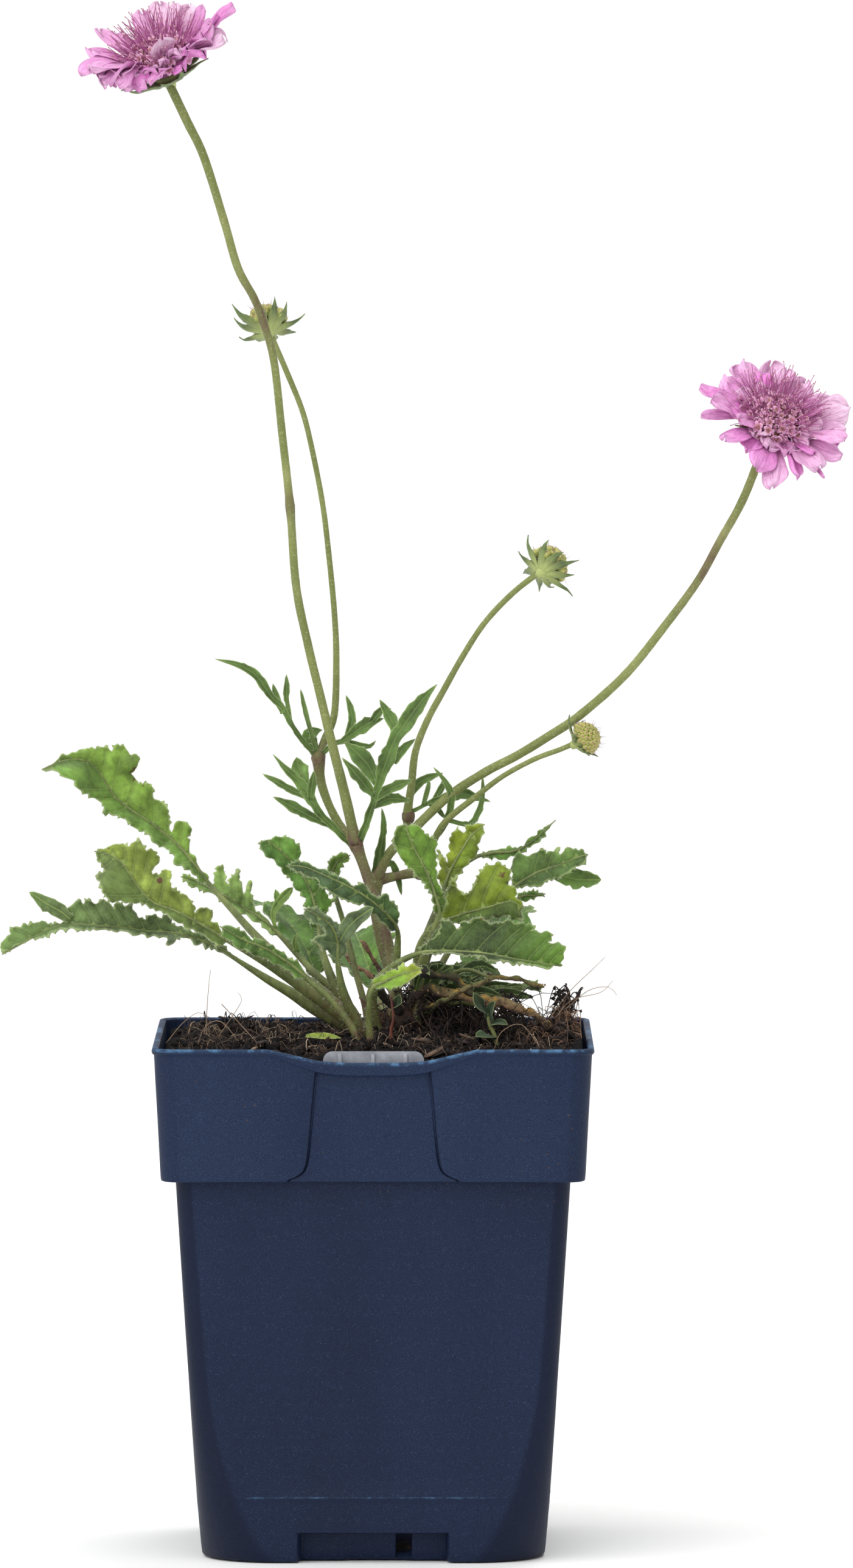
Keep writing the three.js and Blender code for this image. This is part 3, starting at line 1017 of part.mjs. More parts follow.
function turned(geometry, frame, height) {
  geometry.rotateX(Math.PI / 2);
  geometry.translate(0, 0, height);
  const basis = new THREE.Matrix4().makeBasis(frame.across, frame.back, frame.up);
  basis.setPosition(frame.centre);
  geometry.applyMatrix4(basis);
  return geometry;
}

// Green bracts and the small cup under a head
function bracts(head, { count, reach, lift, width, cup, seed }) {
  const frame = headFrame(head);
  const random = seeded(seed);
  const pieces = [turned(new THREE.CylinderGeometry(cup, 1.1, 2.2, 6), frame, -0.7)];
  for (let i = 0; i < count; i += 1) {
    const angle = ((i + 0.4 * random()) / count) * Math.PI * 2;
    const far = reach * (0.8 + 0.35 * random());
    pieces.push(strap([
      onHead(frame, cup - 1.2, angle, -0.3),
      onHead(frame, cup + (far - cup) * 0.45, angle, lift * 0.12 - 0.5),
      onHead(frame, far, angle + 0.12 * (random() - 0.5), lift * (0.7 + 0.5 * random())),
    ], [width * 0.8, width, 0.5], frame.up));
  }
  return fuse(pieces);
}

// One ray floret laid flat: a narrow claw, two side lobes and a longer middle lobe
const RAY = {
  rib: [[0.2, 0], [0.52, 0], [0.78, 0], [1, 0]],
  upper: [
    [0.2, 0.045], [0.46, 0.09], [0.68, 0.26], [0.84, 0.25], [0.7, 0.09], [0.86, 0.16], [0.98, 0.1],
  ],
  lower: [
    [0.2, -0.045], [0.44, -0.1], [0.62, -0.26], [0.8, -0.28], [0.68, -0.09], [0.84, -0.15],
    [0.98, -0.09],
  ],
};

// Ring of ray florets with a ring of smaller petals inside it
function petals(head, seed) {
  const frame = headFrame(head);
  const random = seeded(seed);
  const pieces = [turned(new THREE.CylinderGeometry(4.8, 4.2, 1.1, 8), frame, 1.7)];
  for (let i = 0; i < RAYS; i += 1) {
    const angle = ((i + 0.35 * (random() - 0.5)) / RAYS) * Math.PI * 2;
    const size = BLOOM_RADIUS * (0.88 + 0.16 * random());
    const lift = head.lift[i % 2] + 1.5 * random();
    const twist = 0.3 * (random() - 0.5);
    const bend = ({ x, z }) => {
      const height = 1.7 + lift * x * x + size * z * twist;
      return new THREE.Vector3(...onHead(frame, size * x, angle + z / x, height));
    };
    pieces.push(sheet(RAY, bend, BLADE_THICKNESS, BLADE_THICKNESS));
  }
  for (let i = 0; i < INNER_PETALS; i += 1) {
    const angle = ((i + 0.5 + 0.3 * random()) / INNER_PETALS) * Math.PI * 2;
    const size = 11.4 + 1.5 * random();
    pieces.push(strap([
      onHead(frame, 4.3, angle, 1.9),
      onHead(frame, 8.6, angle, 3.6),
      onHead(frame, size, angle + 0.1 * (random() - 0.5), 6.2 + 2.2 * random()),
    ], [0.8, 1.9, 1.5], frame.up));
  }
  return fuse(pieces);
}

// Rounded core that carries the florets of a head
function headCore(frame, radius, height, from) {
  const profile = [[0, 0], [0.8, 0], [1, 0.3], [0.75, 0.8], [0, 1]];
  const points = profile.map(([r, z]) => new THREE.Vector2(r * radius, z * height));
  const geometry = new THREE.LatheGeometry(points, 8);
  return turned(geometry, frame, from);
}

// Dome of small cup florets with thin styles standing out of it
function flowerCentre(head, seed) {
  const frame = headFrame(head);
  const random = seeded(seed);
  const pieces = [headCore(frame, 5, 4.4, 2.8)];
  for (let i = 0; i < CENTRE_FLORETS; i += 1) {
    const tilt = Math.acos(1 - ((i + 0.5) / CENTRE_FLORETS) * 0.78);
    const turn = i * GOLDEN_ANGLE;
    pieces.push(cupFloret(frame, tilt, turn, 3.2 + 0.5 * random(), 0.7, 1.5));
    if (i % 2) continue;
    pieces.push(cupFloret(frame, tilt * 0.96, turn + 0.3, 6.8 + 1.6 * random(), 0.36, 0.36));
  }
  return fuse(pieces);
}

function cupFloret(frame, tilt, turn, length, foot, mouth) {
  const geometry = new THREE.CylinderGeometry(mouth, foot, length, mouth > 0.5 ? 4 : 3);
  geometry.rotateX(Math.PI / 2);
  geometry.translate(0, 0, length / 2);
  const out = new THREE.Vector3()
    .addScaledVector(frame.across, Math.sin(tilt) * Math.cos(turn))
    .addScaledVector(frame.back, Math.sin(tilt) * Math.sin(turn))
    .addScaledVector(frame.up, Math.cos(tilt));
  geometry.applyQuaternion(new THREE.Quaternion().setFromUnitVectors(new THREE.Vector3(0, 0, 1), out));
  const seat = new THREE.Vector3(...onHead(frame, 3.6 * Math.sin(tilt), turn, 3.6 + 2.4 * Math.cos(tilt)));
  geometry.translate(seat.x, seat.y, seat.z);
  return geometry;
}

// Tight dome of round floret buds
function budDome(head, { radius, height, count, size }) {
  const frame = headFrame(head);
  const pieces = [headCore(frame, radius, height, 1)];
  for (let i = 0; i < count; i += 1) {
    const tilt = Math.acos(1 - ((i + 0.5) / count) * 0.92);
    const ball = new THREE.OctahedronGeometry(size, 0);
    const rise = 1.4 + (height - 0.5) * Math.cos(tilt);
    ball.rotateX(i);
    ball.translate(...onHead(frame, radius * 0.9 * Math.sin(tilt), i * GOLDEN_ANGLE, rise));
    pieces.push(ball);
  }
  return fuse(pieces);
}

// Weed seedling and the yellow leaf that has dropped on the soil

function seedlingStalk(gap) {
  const points = [[31, -26, 126], [30.5, -26, 130], [29, -26, 133.5], [29, -26, 136.5]];
  return stalk(lowered(points, gap), [0.6 + gap, 0.6 + gap, 0.5 + gap], PETIOLE_SIDES, 3);
}

function seedling() {
  const up = new THREE.Vector3(0, -0.5, 1);
  return fuse([
    seedlingStalk(0),
    strap([[29, -26, 133.5], [27, -27, 136], [25, -28, 138]], [0.5, 1.3, 0.7], up),
    strap([[29, -26, 133], [32, -27, 134.5], [35, -28, 134.6]], [0.5, 1.4, 0.7], up),
    strap([[30.5, -26, 130.5], [29, -28.5, 131.5], [28, -30.5, 131.2]], [0.5, 1.2, 0.7], up),
  ]);
}

// Materials, colours read by eye

const POT_BLUE = surface('#2a385c', 0.55);
const SOIL_BROWN = surface('#231a15', 0.95);
const WOOD_BROWN = surface('#4a3524', 0.9);
const STEM_GREEN = surface('#8b9a50', 0.6);
const LEAF_GREEN = surface('#5a8230', 0.6);
const LEAF_DARK = surface('#3f5c2d', 0.65);
const LEAF_YELLOW = surface('#8aa030', 0.6);
const PETAL_PINK = surface('#cd82c8', 0.55);
const FLORET_PINK = surface('#b07a92', 0.6);
const BUD_GREEN = surface('#9aa04e', 0.65);

const LEAF_COLOURS = {
  leaf_upper_left: LEAF_GREEN,
  leaf_middle_left: LEAF_DARK,
  leaf_low_left: LEAF_DARK,
  leaf_dark_arching: LEAF_DARK,
  leaf_grey_forked: LEAF_DARK,
  leaf_broad_right: LEAF_YELLOW,
  leaf_yellow_right: LEAF_YELLOW,
  leaf_low_yellow: LEAF_YELLOW,
  leaf_low_right: LEAF_DARK,
};

// Everything that stands in the soil or the crown leaves a plain hole of its own

function stem(name, gap = 0) {
  const radii = STEM_RADII[name].map((radius) => radius + gap);
  const steps = Math.max(3, Math.round(STEMS[name].length * 0.75));
  return stalk(lowered(STEMS[name], gap), radii, STALK_SIDES, steps);
}

function holes() {
  return fuse([
    ...Object.values(ROSETTE).map((leaf) => petiole(leaf, FIT_GAP)),
    ...BACK_LEAVES.map((leaf) => placed(petiole(backShape(leaf), FIT_GAP), leaf)),
    stem('main', FIT_GAP),
    stem('dark_fork', FIT_GAP),
    seedlingStalk(FIT_GAP),
  ]);
}

// Put together

const sockets = holes();
addPart('pot', potShape(), POT_BLUE);
addPart('soil', soilShape().subtract(woodShape(FIT_GAP)).subtract(sockets), SOIL_BROWN);
addPart('crown', woodShape(0).subtract(sockets), WOOD_BROWN);

Object.entries(ROSETTE).forEach(([name, leaf]) => {
  addPart(name, fuse(wholeLeaf(leaf)), LEAF_COLOURS[name] || LEAF_GREEN);
});
BACK_LEAVES.forEach((leaf) => {
  const pieces = wholeLeaf(backShape(leaf)).map((piece) => placed(piece, leaf));
  addPart(leaf.name, fuse(pieces), LEAF_GREEN);
});

const flowerBracts = { count: 6, reach: 10.5, lift: -0.4, width: 1.1, cup: 3.2 };
const budBracts = { count: 7, reach: 8, lift: 3.6, width: 1, cup: 2.8 };

addPart('leafy_stem_left', fuse([
  stem('main'),
  stem('tall'),
  stem('left_branch'),
  stem('bud_b'),
  ...SWELLINGS.left.map(knot),
  ...STEM_LEAVES_LEFT.map(stemLeaf),
  bracts(HEADS.left_flower, { ...flowerBracts, seed: 5 }),
  bracts(HEADS.bud_b, { ...budBracts, seed: 6 }),
]), STEM_GREEN);

addPart('leafy_stem_right', fuse([
  stem('dark_fork'),
  stem('fork_right'),
  stem('bud_c'),
  stem('right_flower'),
  stem('seed'),
  ...SWELLINGS.right.map(knot),
  ...STEM_LEAVES_RIGHT.map(stemLeaf),
  bracts(HEADS.right_flower, { ...flowerBracts, seed: 7 }),
  bracts(HEADS.bud_c, { ...budBracts, seed: 8 }),
  bracts(HEADS.seed, { ...budBracts, count: 5, reach: 5.6, lift: 1.8, width: 0.7, cup: 2.4, seed: 9 }),
]), STEM_GREEN);

addPart('bloom_left_petals', petals(HEADS.left_flower, 21), PETAL_PINK);
addPart('bloom_left_centre', flowerCentre(HEADS.left_flower, 22), FLORET_PINK);
addPart('bloom_right_petals', petals(HEADS.right_flower, 23), PETAL_PINK);
addPart('bloom_right_centre', flowerCentre(HEADS.right_flower, 24), FLORET_PINK);

const greenBuds = { radius: 4.4, height: 4.6, count: 12, size: 1.6 };
const seedBuds = { radius: 3.8, height: 3.8, count: 13, size: 1.3 };
addPart('bud_b_florets', budDome(HEADS.bud_b, greenBuds), BUD_GREEN);
addPart('bud_c_florets', budDome(HEADS.bud_c, greenBuds), BUD_GREEN);
addPart('seed_head_florets', budDome(HEADS.seed, seedBuds), BUD_GREEN);
addPart('weed_seedling', seedling(), LEAF_GREEN);

function fallenLeaf() {
  const points = [[-17, -21, 129.9], [-12, -22, 129.6], [-8, -23, 129.3]];
  return solid(strap(points, [0.7, 1.7, 1.5, 0.6], new THREE.Vector3(0, -0.4, 1)));
}

addPart('fallen_leaf', fallenLeaf(), LEAF_YELLOW);

export default group;
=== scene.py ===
"""Pink scabious in flower, growing in a square blue nursery pot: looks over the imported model."""
import math
import random

import bmesh
import bpy
import numpy as np
from mathutils import Matrix, Vector, noise
from mathutils.geometry import delaunay_2d_cdt


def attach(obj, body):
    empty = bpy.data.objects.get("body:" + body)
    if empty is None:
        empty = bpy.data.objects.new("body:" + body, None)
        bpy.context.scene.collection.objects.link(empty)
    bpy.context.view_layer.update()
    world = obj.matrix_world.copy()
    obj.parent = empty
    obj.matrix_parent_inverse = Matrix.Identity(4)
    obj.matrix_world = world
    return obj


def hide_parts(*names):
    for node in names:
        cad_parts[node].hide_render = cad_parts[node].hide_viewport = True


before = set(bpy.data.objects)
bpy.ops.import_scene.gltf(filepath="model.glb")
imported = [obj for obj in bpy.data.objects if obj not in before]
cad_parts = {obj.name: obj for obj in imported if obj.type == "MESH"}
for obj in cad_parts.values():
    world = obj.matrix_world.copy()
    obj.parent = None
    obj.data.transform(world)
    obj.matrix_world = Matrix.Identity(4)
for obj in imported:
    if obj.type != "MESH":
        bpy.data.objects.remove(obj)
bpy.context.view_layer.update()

# Floor, light and view
# The pot stands on a plain pale floor under wide soft light, seen from the front at about three
# metres and a little from above, so that the soil behind the front rim just shows.
MM = 0.001

eye = Vector((0.0133, -3.355, 0.380))
aim = Vector((0.0133, 0.0, 0.192))
camera_data = bpy.data.cameras.new("front_view")
camera_data.lens = 306.3
camera = bpy.data.objects.new("front_view", camera_data)
camera.location = eye
camera.rotation_euler = (aim - eye).to_track_quat("-Z", "Y").to_euler()
bpy.context.collection.objects.link(camera)
bpy.context.scene.camera = camera
bpy.context.scene.view_settings.view_transform = "Standard"


def paint(red, green, blue):
    """A colour read on the usual 0 to 255 scale."""
    def linear(value):
        share = value / 255
        return share / 12.92 if share <= 0.04045 else ((share + 0.055) / 1.055) ** 2.4
    return (linear(red), linear(green), linear(blue), 1.0)


class Finish:
    """One surface, built up from nodes on a single shader. Pattern sizes are in millimetres."""

    def __init__(self, name, roughness=0.6, settings=None):
        self.material = bpy.data.materials.new(name)
        self.material.use_nodes = True
        self.tree = self.material.node_tree
        self.shader = self.tree.nodes["Principled BSDF"]
        self.object_place = None
        self.put("Roughness", roughness)
        for socket, value in (settings or {}).items():
            self.put(socket, value)

    def feed(self, socket, value):
        if isinstance(value, bpy.types.NodeSocket):
            self.tree.links.new(value, socket)
        else:
            socket.default_value = value

    def put(self, socket, value):
        self.feed(self.shader.inputs[socket], value)

    def node(self, kind, sockets=None, **options):
        made = self.tree.nodes.new(kind)
        for key, value in options.items():
            setattr(made, key, value)
        for key, value in (sockets or {}).items():
            self.feed(made.inputs[key], value)
        return made

    def place(self, stretch=None):
        if self.object_place is None:
            self.object_place = self.node("ShaderNodeTexCoord").outputs["Object"]
        if stretch is None:
            return self.object_place
        return self.node("ShaderNodeMapping", {"Vector": self.object_place, "Scale": stretch}).outputs[0]

    def grain(self, size, detail=3.0, stretch=None, rough=0.6):
        sockets = {"Vector": self.place(stretch), "Scale": 1000 / size, "Detail": detail,
                   "Roughness": rough}
        return self.node("ShaderNodeTexNoise", sockets).outputs["Fac"]

    def cells(self, size, feature="F1", stretch=None):
        sockets = {"Vector": self.place(stretch), "Scale": 1000 / size}
        return self.node("ShaderNodeTexVoronoi", sockets, feature=feature).outputs["Distance"]

    def mark(self, name):
        return self.node("ShaderNodeAttribute", attribute_name=name).outputs["Fac"]

    def ramp(self, value, stops):
        made = self.node("ShaderNodeValToRGB", {"Fac": value})
        band = made.color_ramp
        band.elements[0].position, band.elements[0].color = stops[0]
        band.elements[1].position, band.elements[1].color = stops[-1]
        for position, colour in stops[1:-1]:
            band.elements.new(position).color = colour
        return made.outputs["Color"]

    def between(self, value, low, high, to_low=0.0, to_high=1.0):
        sockets = {"Value": value, "From Min": low, "From Max": high, "To Min": to_low,
                   "To Max": to_high}
        return self.node("ShaderNodeMapRange", sockets, clamp=True).outputs["Result"]

    def sums(self, operation, first, second):
        made = self.node("ShaderNodeMath", operation=operation)
        self.feed(made.inputs[0], first)
        self.feed(made.inputs[1], second)
        return made.outputs[0]

    def blend(self, share, first, second, way="MIX"):
        made = self.node("ShaderNodeMix", data_type="RGBA", blend_type=way)
        self.feed(made.inputs[0], share)
        self.feed(made.inputs[6], first)
        self.feed(made.inputs[7], second)
        return made.outputs[2]

    def relief(self, height, depth):
        made = self.node("ShaderNodeBump", {"Height": height, "Distance": depth * MM,
                                            "Strength": 1.0})
        if self.shader.inputs["Normal"].is_linked:
            self.feed(made.inputs["Normal"], self.shader.inputs["Normal"].links[0].from_socket)
        self.put("Normal", made.outputs["Normal"])


def mottled(name, roughness, size, detail, dark, light, settings=None):
    """A plain finish whose colour wanders between two tones."""
    made = Finish(name, roughness, settings)
    made.put("Base Color", made.ramp(made.grain(size, detail), [
        (0.3, paint(*dark)), (0.7, paint(*light))]))
    return made


class Shape:
    """Points in millimetres, the faces between them and the marks that the finishes read."""

    def __init__(self):
        self.points, self.faces, self.kinds, self.marks = [], [], [], {}

    def add(self, points, faces, kind=0, **marks):
        start = len(self.points)
        self.points.extend(tuple(point) for point in points)
        self.faces.extend([start + index for index in face] for face in faces)
        self.kinds.extend([kind] * len(faces))
        for name, values in marks.items():
            held = self.marks.setdefault(name, [])
            held.extend([0.0] * (start - len(held)))
            held.extend(values if isinstance(values, (list, tuple)) else [values] * len(points))
        return self

    def build(self, name, finishes, slot, nodes, crease=None):
        mesh = bpy.data.meshes.new(name)
        mesh.from_pydata([(x * MM, y * MM, z * MM) for x, y, z in self.points], [], self.faces)
        for finish in finishes:
            mesh.materials.append(finish.material)
        mesh.polygons.foreach_set("material_index", self.kinds)
        for mark, values in self.marks.items():
            held = values + [0.0] * (len(self.points) - len(values))
            mesh.attributes.new(mark, "FLOAT", "POINT").data.foreach_set("value", held)
        net = bmesh.new()
        net.from_mesh(mesh)
        bmesh.ops.recalc_face_normals(net, faces=net.faces)
        net.to_mesh(mesh)
        net.free()
        mesh.shade_smooth()
        if crease is not None:
            mesh.set_sharp_from_angle(angle=math.radians(crease))
        piece = bpy.data.objects.new(name, mesh)
        bpy.context.collection.objects.link(piece)
        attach(piece, "root")
        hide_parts(*nodes)
        return piece


def turns(count):
    """Even angles once round a ring."""
    return [place * 2 * math.pi / count for place in range(count)]


def loft(rings):
    """Faces over rings with the same number of points, closed at both ends."""
    count = len(rings[0])
    faces = []
    for ring in range(len(rings) - 1):
        for i in range(count):
            a, b = ring * count + i, ring * count + (i + 1) % count
            faces.append([a, b, b + count, a + count])
    last = (len(rings) - 1) * count
    faces.append(list(range(count - 1, -1, -1)))
    faces.append(list(range(last, last + count)))
    return [point for ring in rings for point in ring], faces


floor_mesh = bpy.data.meshes.new("floor")
reach = 400.0
floor_mesh.from_pydata([(-reach, -reach, -0.0004), (reach, -reach, -0.0004),
                        (reach, reach, -0.0004), (-reach, reach, -0.0004)], [], [(0, 1, 2, 3)])
floor_finish = mottled("pale_floor", 0.8, 300, 3, (254, 254, 253), (255, 255, 254))
floor_mesh.materials.append(floor_finish.material)
floor = bpy.data.objects.new("floor", floor_mesh)
bpy.context.collection.objects.link(floor)

# the room is white all round at the height of the pot and dimmer overhead
world = bpy.data.worlds.new("soft_studio")
world.use_nodes = True
air = world.node_tree
split = air.nodes.new("ShaderNodeSeparateXYZ")
fade = air.nodes.new("ShaderNodeMapRange")
air.links.new(air.nodes.new("ShaderNodeTexCoord").outputs["Generated"], split.inputs[0])
air.links.new(split.outputs["Z"], fade.inputs["Value"])
for socket, value in (("From Min", 0.1), ("From Max", 0.4), ("To Min", 1.03), ("To Max", 0.42)):
    fade.inputs[socket].default_value = value
air.links.new(fade.outputs[0], air.nodes["Background"].inputs["Strength"])
air.nodes["Background"].inputs["Color"].default_value = (1.0, 1.0, 1.0, 1.0)
bpy.context.scene.world = world

for light_name, kind, spot, size, power in (("wide_key_light", "SUN", (-0.8, -1.1, 1.9), 1.5, 2.6),
                                            ("top_light", "AREA", (0.35, 0.6, 1.7), 0.8, 9.0)):
    light_data = bpy.data.lights.new(light_name, kind)
    if kind == "SUN":
        light_data.angle = size
    else:
        light_data.size = size
    light_data.energy = power
    light = bpy.data.objects.new(light_name, light_data)
    light.location = spot
    light.rotation_euler = (Vector((0, 0, 0.15)) - Vector(spot)).to_track_quat("-Z", "Y").to_euler()
    bpy.context.collection.objects.link(light)

# Pot
# One thin moulding of dark blue plastic: a beaded rim that dips at the front, a collar band with
# raised corner panels, a tapered body with rounded corners and a notched foot on each side.
POT_HEIGHT = 129.1
BAND_FOOT, RIM_FOOT = 95.72, 127.5
PANEL_RECESS = 1.0
DIP_LEVEL, DIP_HALF = 125.8, 21.5
# the notch in the foot of each side, its drain slot, and the moulded line above it
NOTCH_HALF, NOTCH_TOP, NOTCH_DEPTH = 18.6, 7.4, 5.0
SLOT_LEFT, SLOT_RIGHT, SLOT_DEPTH = 5.8, 9.4, 3.5
LINE_LEVEL, LINE_HALF = 16.2, 29
# height, half width and corner radius of the outer wall, foot to rim
OUTER_WALL = [
    (0.0, 42.6, 18.6), (0.5, 43.0, 18.3), (3, 43.25, 16.6), (6.6, 43.5, 14.6), (7.4, 43.6, 14.2),
    (10.5, 43.8, 12.7), (14, 44.1, 11.2), (15.9, 44.2, 10.6), (16.2, 44.22, 10.5),
    (16.5, 44.24, 10.4), (22, 44.6, 8.8), (30, 45.1, 6.9), (38, 45.6, 5.7), (45, 46, 5.0),
    (58, 46.85, 4.75), (70, 47.6, 4.6), (82, 48.35, 4.45), (95.2, 49.15, 4.3), (95.7, 49.2, 4.3),
    (95.75, 52.2, 4.7), (95.95, 52.7, 5.0), (96.4, 52.8, 5.0), (96.7, 52.84, 5.0), (97.0, 52.87, 5.0),
    (97.3, 52.9, 5.05), (97.7, 52.92, 5.05), (98.2, 52.95, 5.05), (98.8, 52.98, 5.05), (99.5, 53.02, 5.1),
    (100.2, 53.05, 5.1), (101, 53.1, 5.1), (103, 53.2, 5.1), (106, 53.35, 5.15), (110, 53.55, 5.2),
    (115, 53.82, 5.25), (120, 54.1, 5.3), (124, 54.3, 5.35), (127.1, 54.45, 5.4), (127.4, 54.5, 5.4),
    (127.65, 54.85, 5.5), (128.1, 55.05, 5.6), (128.7, 55.0, 5.6), (129.0, 54.75, 5.5),
    (129.1, 54.4, 5.3),
]
INNER_WALL = [
    (129.05, 53.9, 4.8), (128.6, 53.4, 4.4), (126, 53.3, 4.4), (98.2, 51.5, 3.8), (96.4, 47.8, 3.2),
    (28, 43.6, 5.8), (8, 42.3, 12.5), (1.6, 41.9, 16.5),
]
# half width of the recessed middle of the band, from its top down
PANEL_EDGE = [(129.2, 14.1), (124, 14.45), (110, 15.5), (103, 16.2), (100, 16.7), (98.6, 17.3),
              (97.6, 18.3), (97.0, 19.4), (96.4, 21), (94, 23)]
CORNER_STEPS = 9


def read_table(table, place):
    for (a, first), (b, second) in zip(table, table[1:]):
        if (a - place) * (b - place) <= 0 and a != b:
            return first + (second - first) * (place - a) / (b - a)
    return table[0][1] if abs(place - table[0][0]) < abs(place - table[-1][0]) else table[-1][1]


def step(value, low, high):
    share = min(1.0, max(0.0, (value - low) / (high - low)))
    return share * share * (3 - 2 * share)


def side_stations(half_flat, edge):
    """Places across one side of the pot; they follow the edges of the panel and of the foot notch."""
    half = [0, 3, 5.5, SLOT_LEFT, 7.6, SLOT_RIGHT, 9.7, 12.4, edge - 0.55, edge - 0.2,
            edge + 0.15, edge + 0.5, (edge * 2 + half_flat) / 3, (edge + half_flat * 2) / 3]
    return [-place for place in reversed(half[1:])] + half


def foot_depth(x, z):
    """How far the foot is pushed in by the notch, its slanted panels and its drain slot."""
    inside = (1 - step(abs(x), 18.2, 18.9)) * (1 - step(z, 6.5, 7.3))
    slant = NOTCH_DEPTH + (0.8 * step(x, -7, -6.4) - 0.8 * step(x, 8.6, 9.2)) * (1 - z / 9)
    slot = SLOT_DEPTH * step(x, 5.6, 5.9) * (1 - step(x, 9.3, 9.6))
    slot *= step(z, 2.2, 2.6) * (1 - step(z, 5.4, 5.8))
    return inside * (slant + slot)


def wall_ring(z, half, corner, outside):
    """One level of the wall and its marks per point: rim scuffing and painted highlight, painted groove
    shadow, painted corner shade.
    """
    ring, worn = [], []
    flat = half - corner
    edge = min(read_table(PANEL_EDGE, min(z, 129.2)) if z > 94 else NOTCH_HALF, flat - 3)
    for quarter in range(4):
        turn = Matrix.Rotation(quarter * math.pi / 2, 3, "Z")
        for x in side_stations(flat, edge):
            out, down, wear, groove = half, 0.0, 0.0, 0.0
            if outside:
                if BAND_FOOT < z < RIM_FOOT:
                    out -= PANEL_RECESS * (1 - step(abs(x), edge - 0.25, edge + 0.3))
                    out -= 0.45 * (abs(abs(x) - edge + 0.2) < 0.05) * (z < 127)
                    # the groove mark paints shadow along the edge of the raised panel
                    groove = max(0.0, 1 - abs(abs(x) - edge + 0.05) / 0.4)
                out -= foot_depth(x, z) if z <= NOTCH_TOP else 0
                # the drain slot is a shallow pocket, painted dark by the groove mark as painted shadow
                if 2.5 < z < NOTCH_TOP and SLOT_LEFT <= x <= SLOT_RIGHT:
                    groove = 1.3
                # the moulded line is a low ridge, painted paler as a painted highlight
                if abs(z - LINE_LEVEL) < 0.2 and abs(x) < LINE_HALF:
                    out += 0.16
                    wear = 0.42
            elif z < NOTCH_TOP + 1:
                # the inner wall keeps behind the notch
                out -= 9.5 * (1 - step(abs(x), NOTCH_HALF + 0.6, 22))
            if quarter == 0 and abs(x) < DIP_HALF:
                full = (POT_HEIGHT - DIP_LEVEL) * (1 - (x / DIP_HALF) ** 4)
                down = full * step(z, 112, 126.5)
                if outside and 127 < z < 127.7:
                    down += 0.5 * full
                if outside and z > 127.3:
                    out += 0.45 * full / (POT_HEIGHT - DIP_LEVEL)
            # the rim top is scuffed pale
            if z > 128.6:
                wear = 0.55
            ring.append(turn @ Vector((x, -out, z - down)))
            worn.append((wear, groove, 0.0))
        for i in range(CORNER_STEPS + 1):
            angle = (i / CORNER_STEPS - 1) * math.pi / 2
            ring.append(turn @ Vector((flat + corner * math.cos(angle),
                                       -(flat - corner * math.sin(angle)), z)))
            # points of the rounded corners get the corner mark, which paints shade
            worn.append((0.55 if z > 128.6 else 0.0, 0.0, 0.0 if i in (0, CORNER_STEPS) else 1.0))
    return ring, worn


levels = [(level, True) for level in OUTER_WALL] + [(level, False) for level in INNER_WALL]
rings, wear_marks = [], []
for (z, half, corner), outside in levels:
    ring, worn = wall_ring(z, half, corner, outside)
    rings.append(ring)
    wear_marks.extend(worn)
pot = Shape()
wear, groove, corner = (list(values) for values in zip(*wear_marks))
pot.add(*loft(rings), wear=wear, groove=groove, corner=corner)

pot_plastic = Finish("blue_pot_plastic", 0.5, {"Specular IOR Level": 0.16})
fine = pot_plastic.grain(0.24, 2)
broad = pot_plastic.grain(34, 3, (1, 1, 0.35))
height = pot_plastic.node("ShaderNodeSeparateXYZ", {"Vector": pot_plastic.place()}).outputs["Z"]
body_blue = pot_plastic.ramp(broad, [(0.3, paint(15, 27, 52)), (0.7, paint(24, 37, 64))])
band_blue = pot_plastic.ramp(broad, [(0.3, paint(21, 36, 64)), (0.7, paint(31, 46, 74))])
blue = pot_plastic.blend(pot_plastic.between(height, 0.0955, 0.0962), body_blue, band_blue)
blue = pot_plastic.blend(pot_plastic.between(fine, 0.44, 0.6, 0.0, 0.6), blue, paint(12, 20, 42))
blue = pot_plastic.blend(pot_plastic.between(fine, 0.42, 0.3, 0.0, 0.35), blue, paint(66, 84, 118))
pale_dots = pot_plastic.between(pot_plastic.cells(1.9), 0.1, 0.05, 0.0, 0.25)
blue = pot_plastic.blend(pale_dots, blue, paint(84, 98, 124))
# painted shadow in the groove at the panel edges and in the drain slot
painted_groove_shade = pot_plastic.sums("MULTIPLY", pot_plastic.mark("groove"), 0.75)
blue = pot_plastic.blend(painted_groove_shade, blue, paint(10, 14, 28))
# painted shade: the rounded corners turn away from the light, so they are painted a deeper blue, most below
# the band
smooth = pot_plastic.sums("MULTIPLY", pot_plastic.mark("corner"),
                          pot_plastic.between(height, 0.094, 0.097, 0.62, 0.2))
blue = pot_plastic.blend(smooth, blue, paint(5, 13, 36))
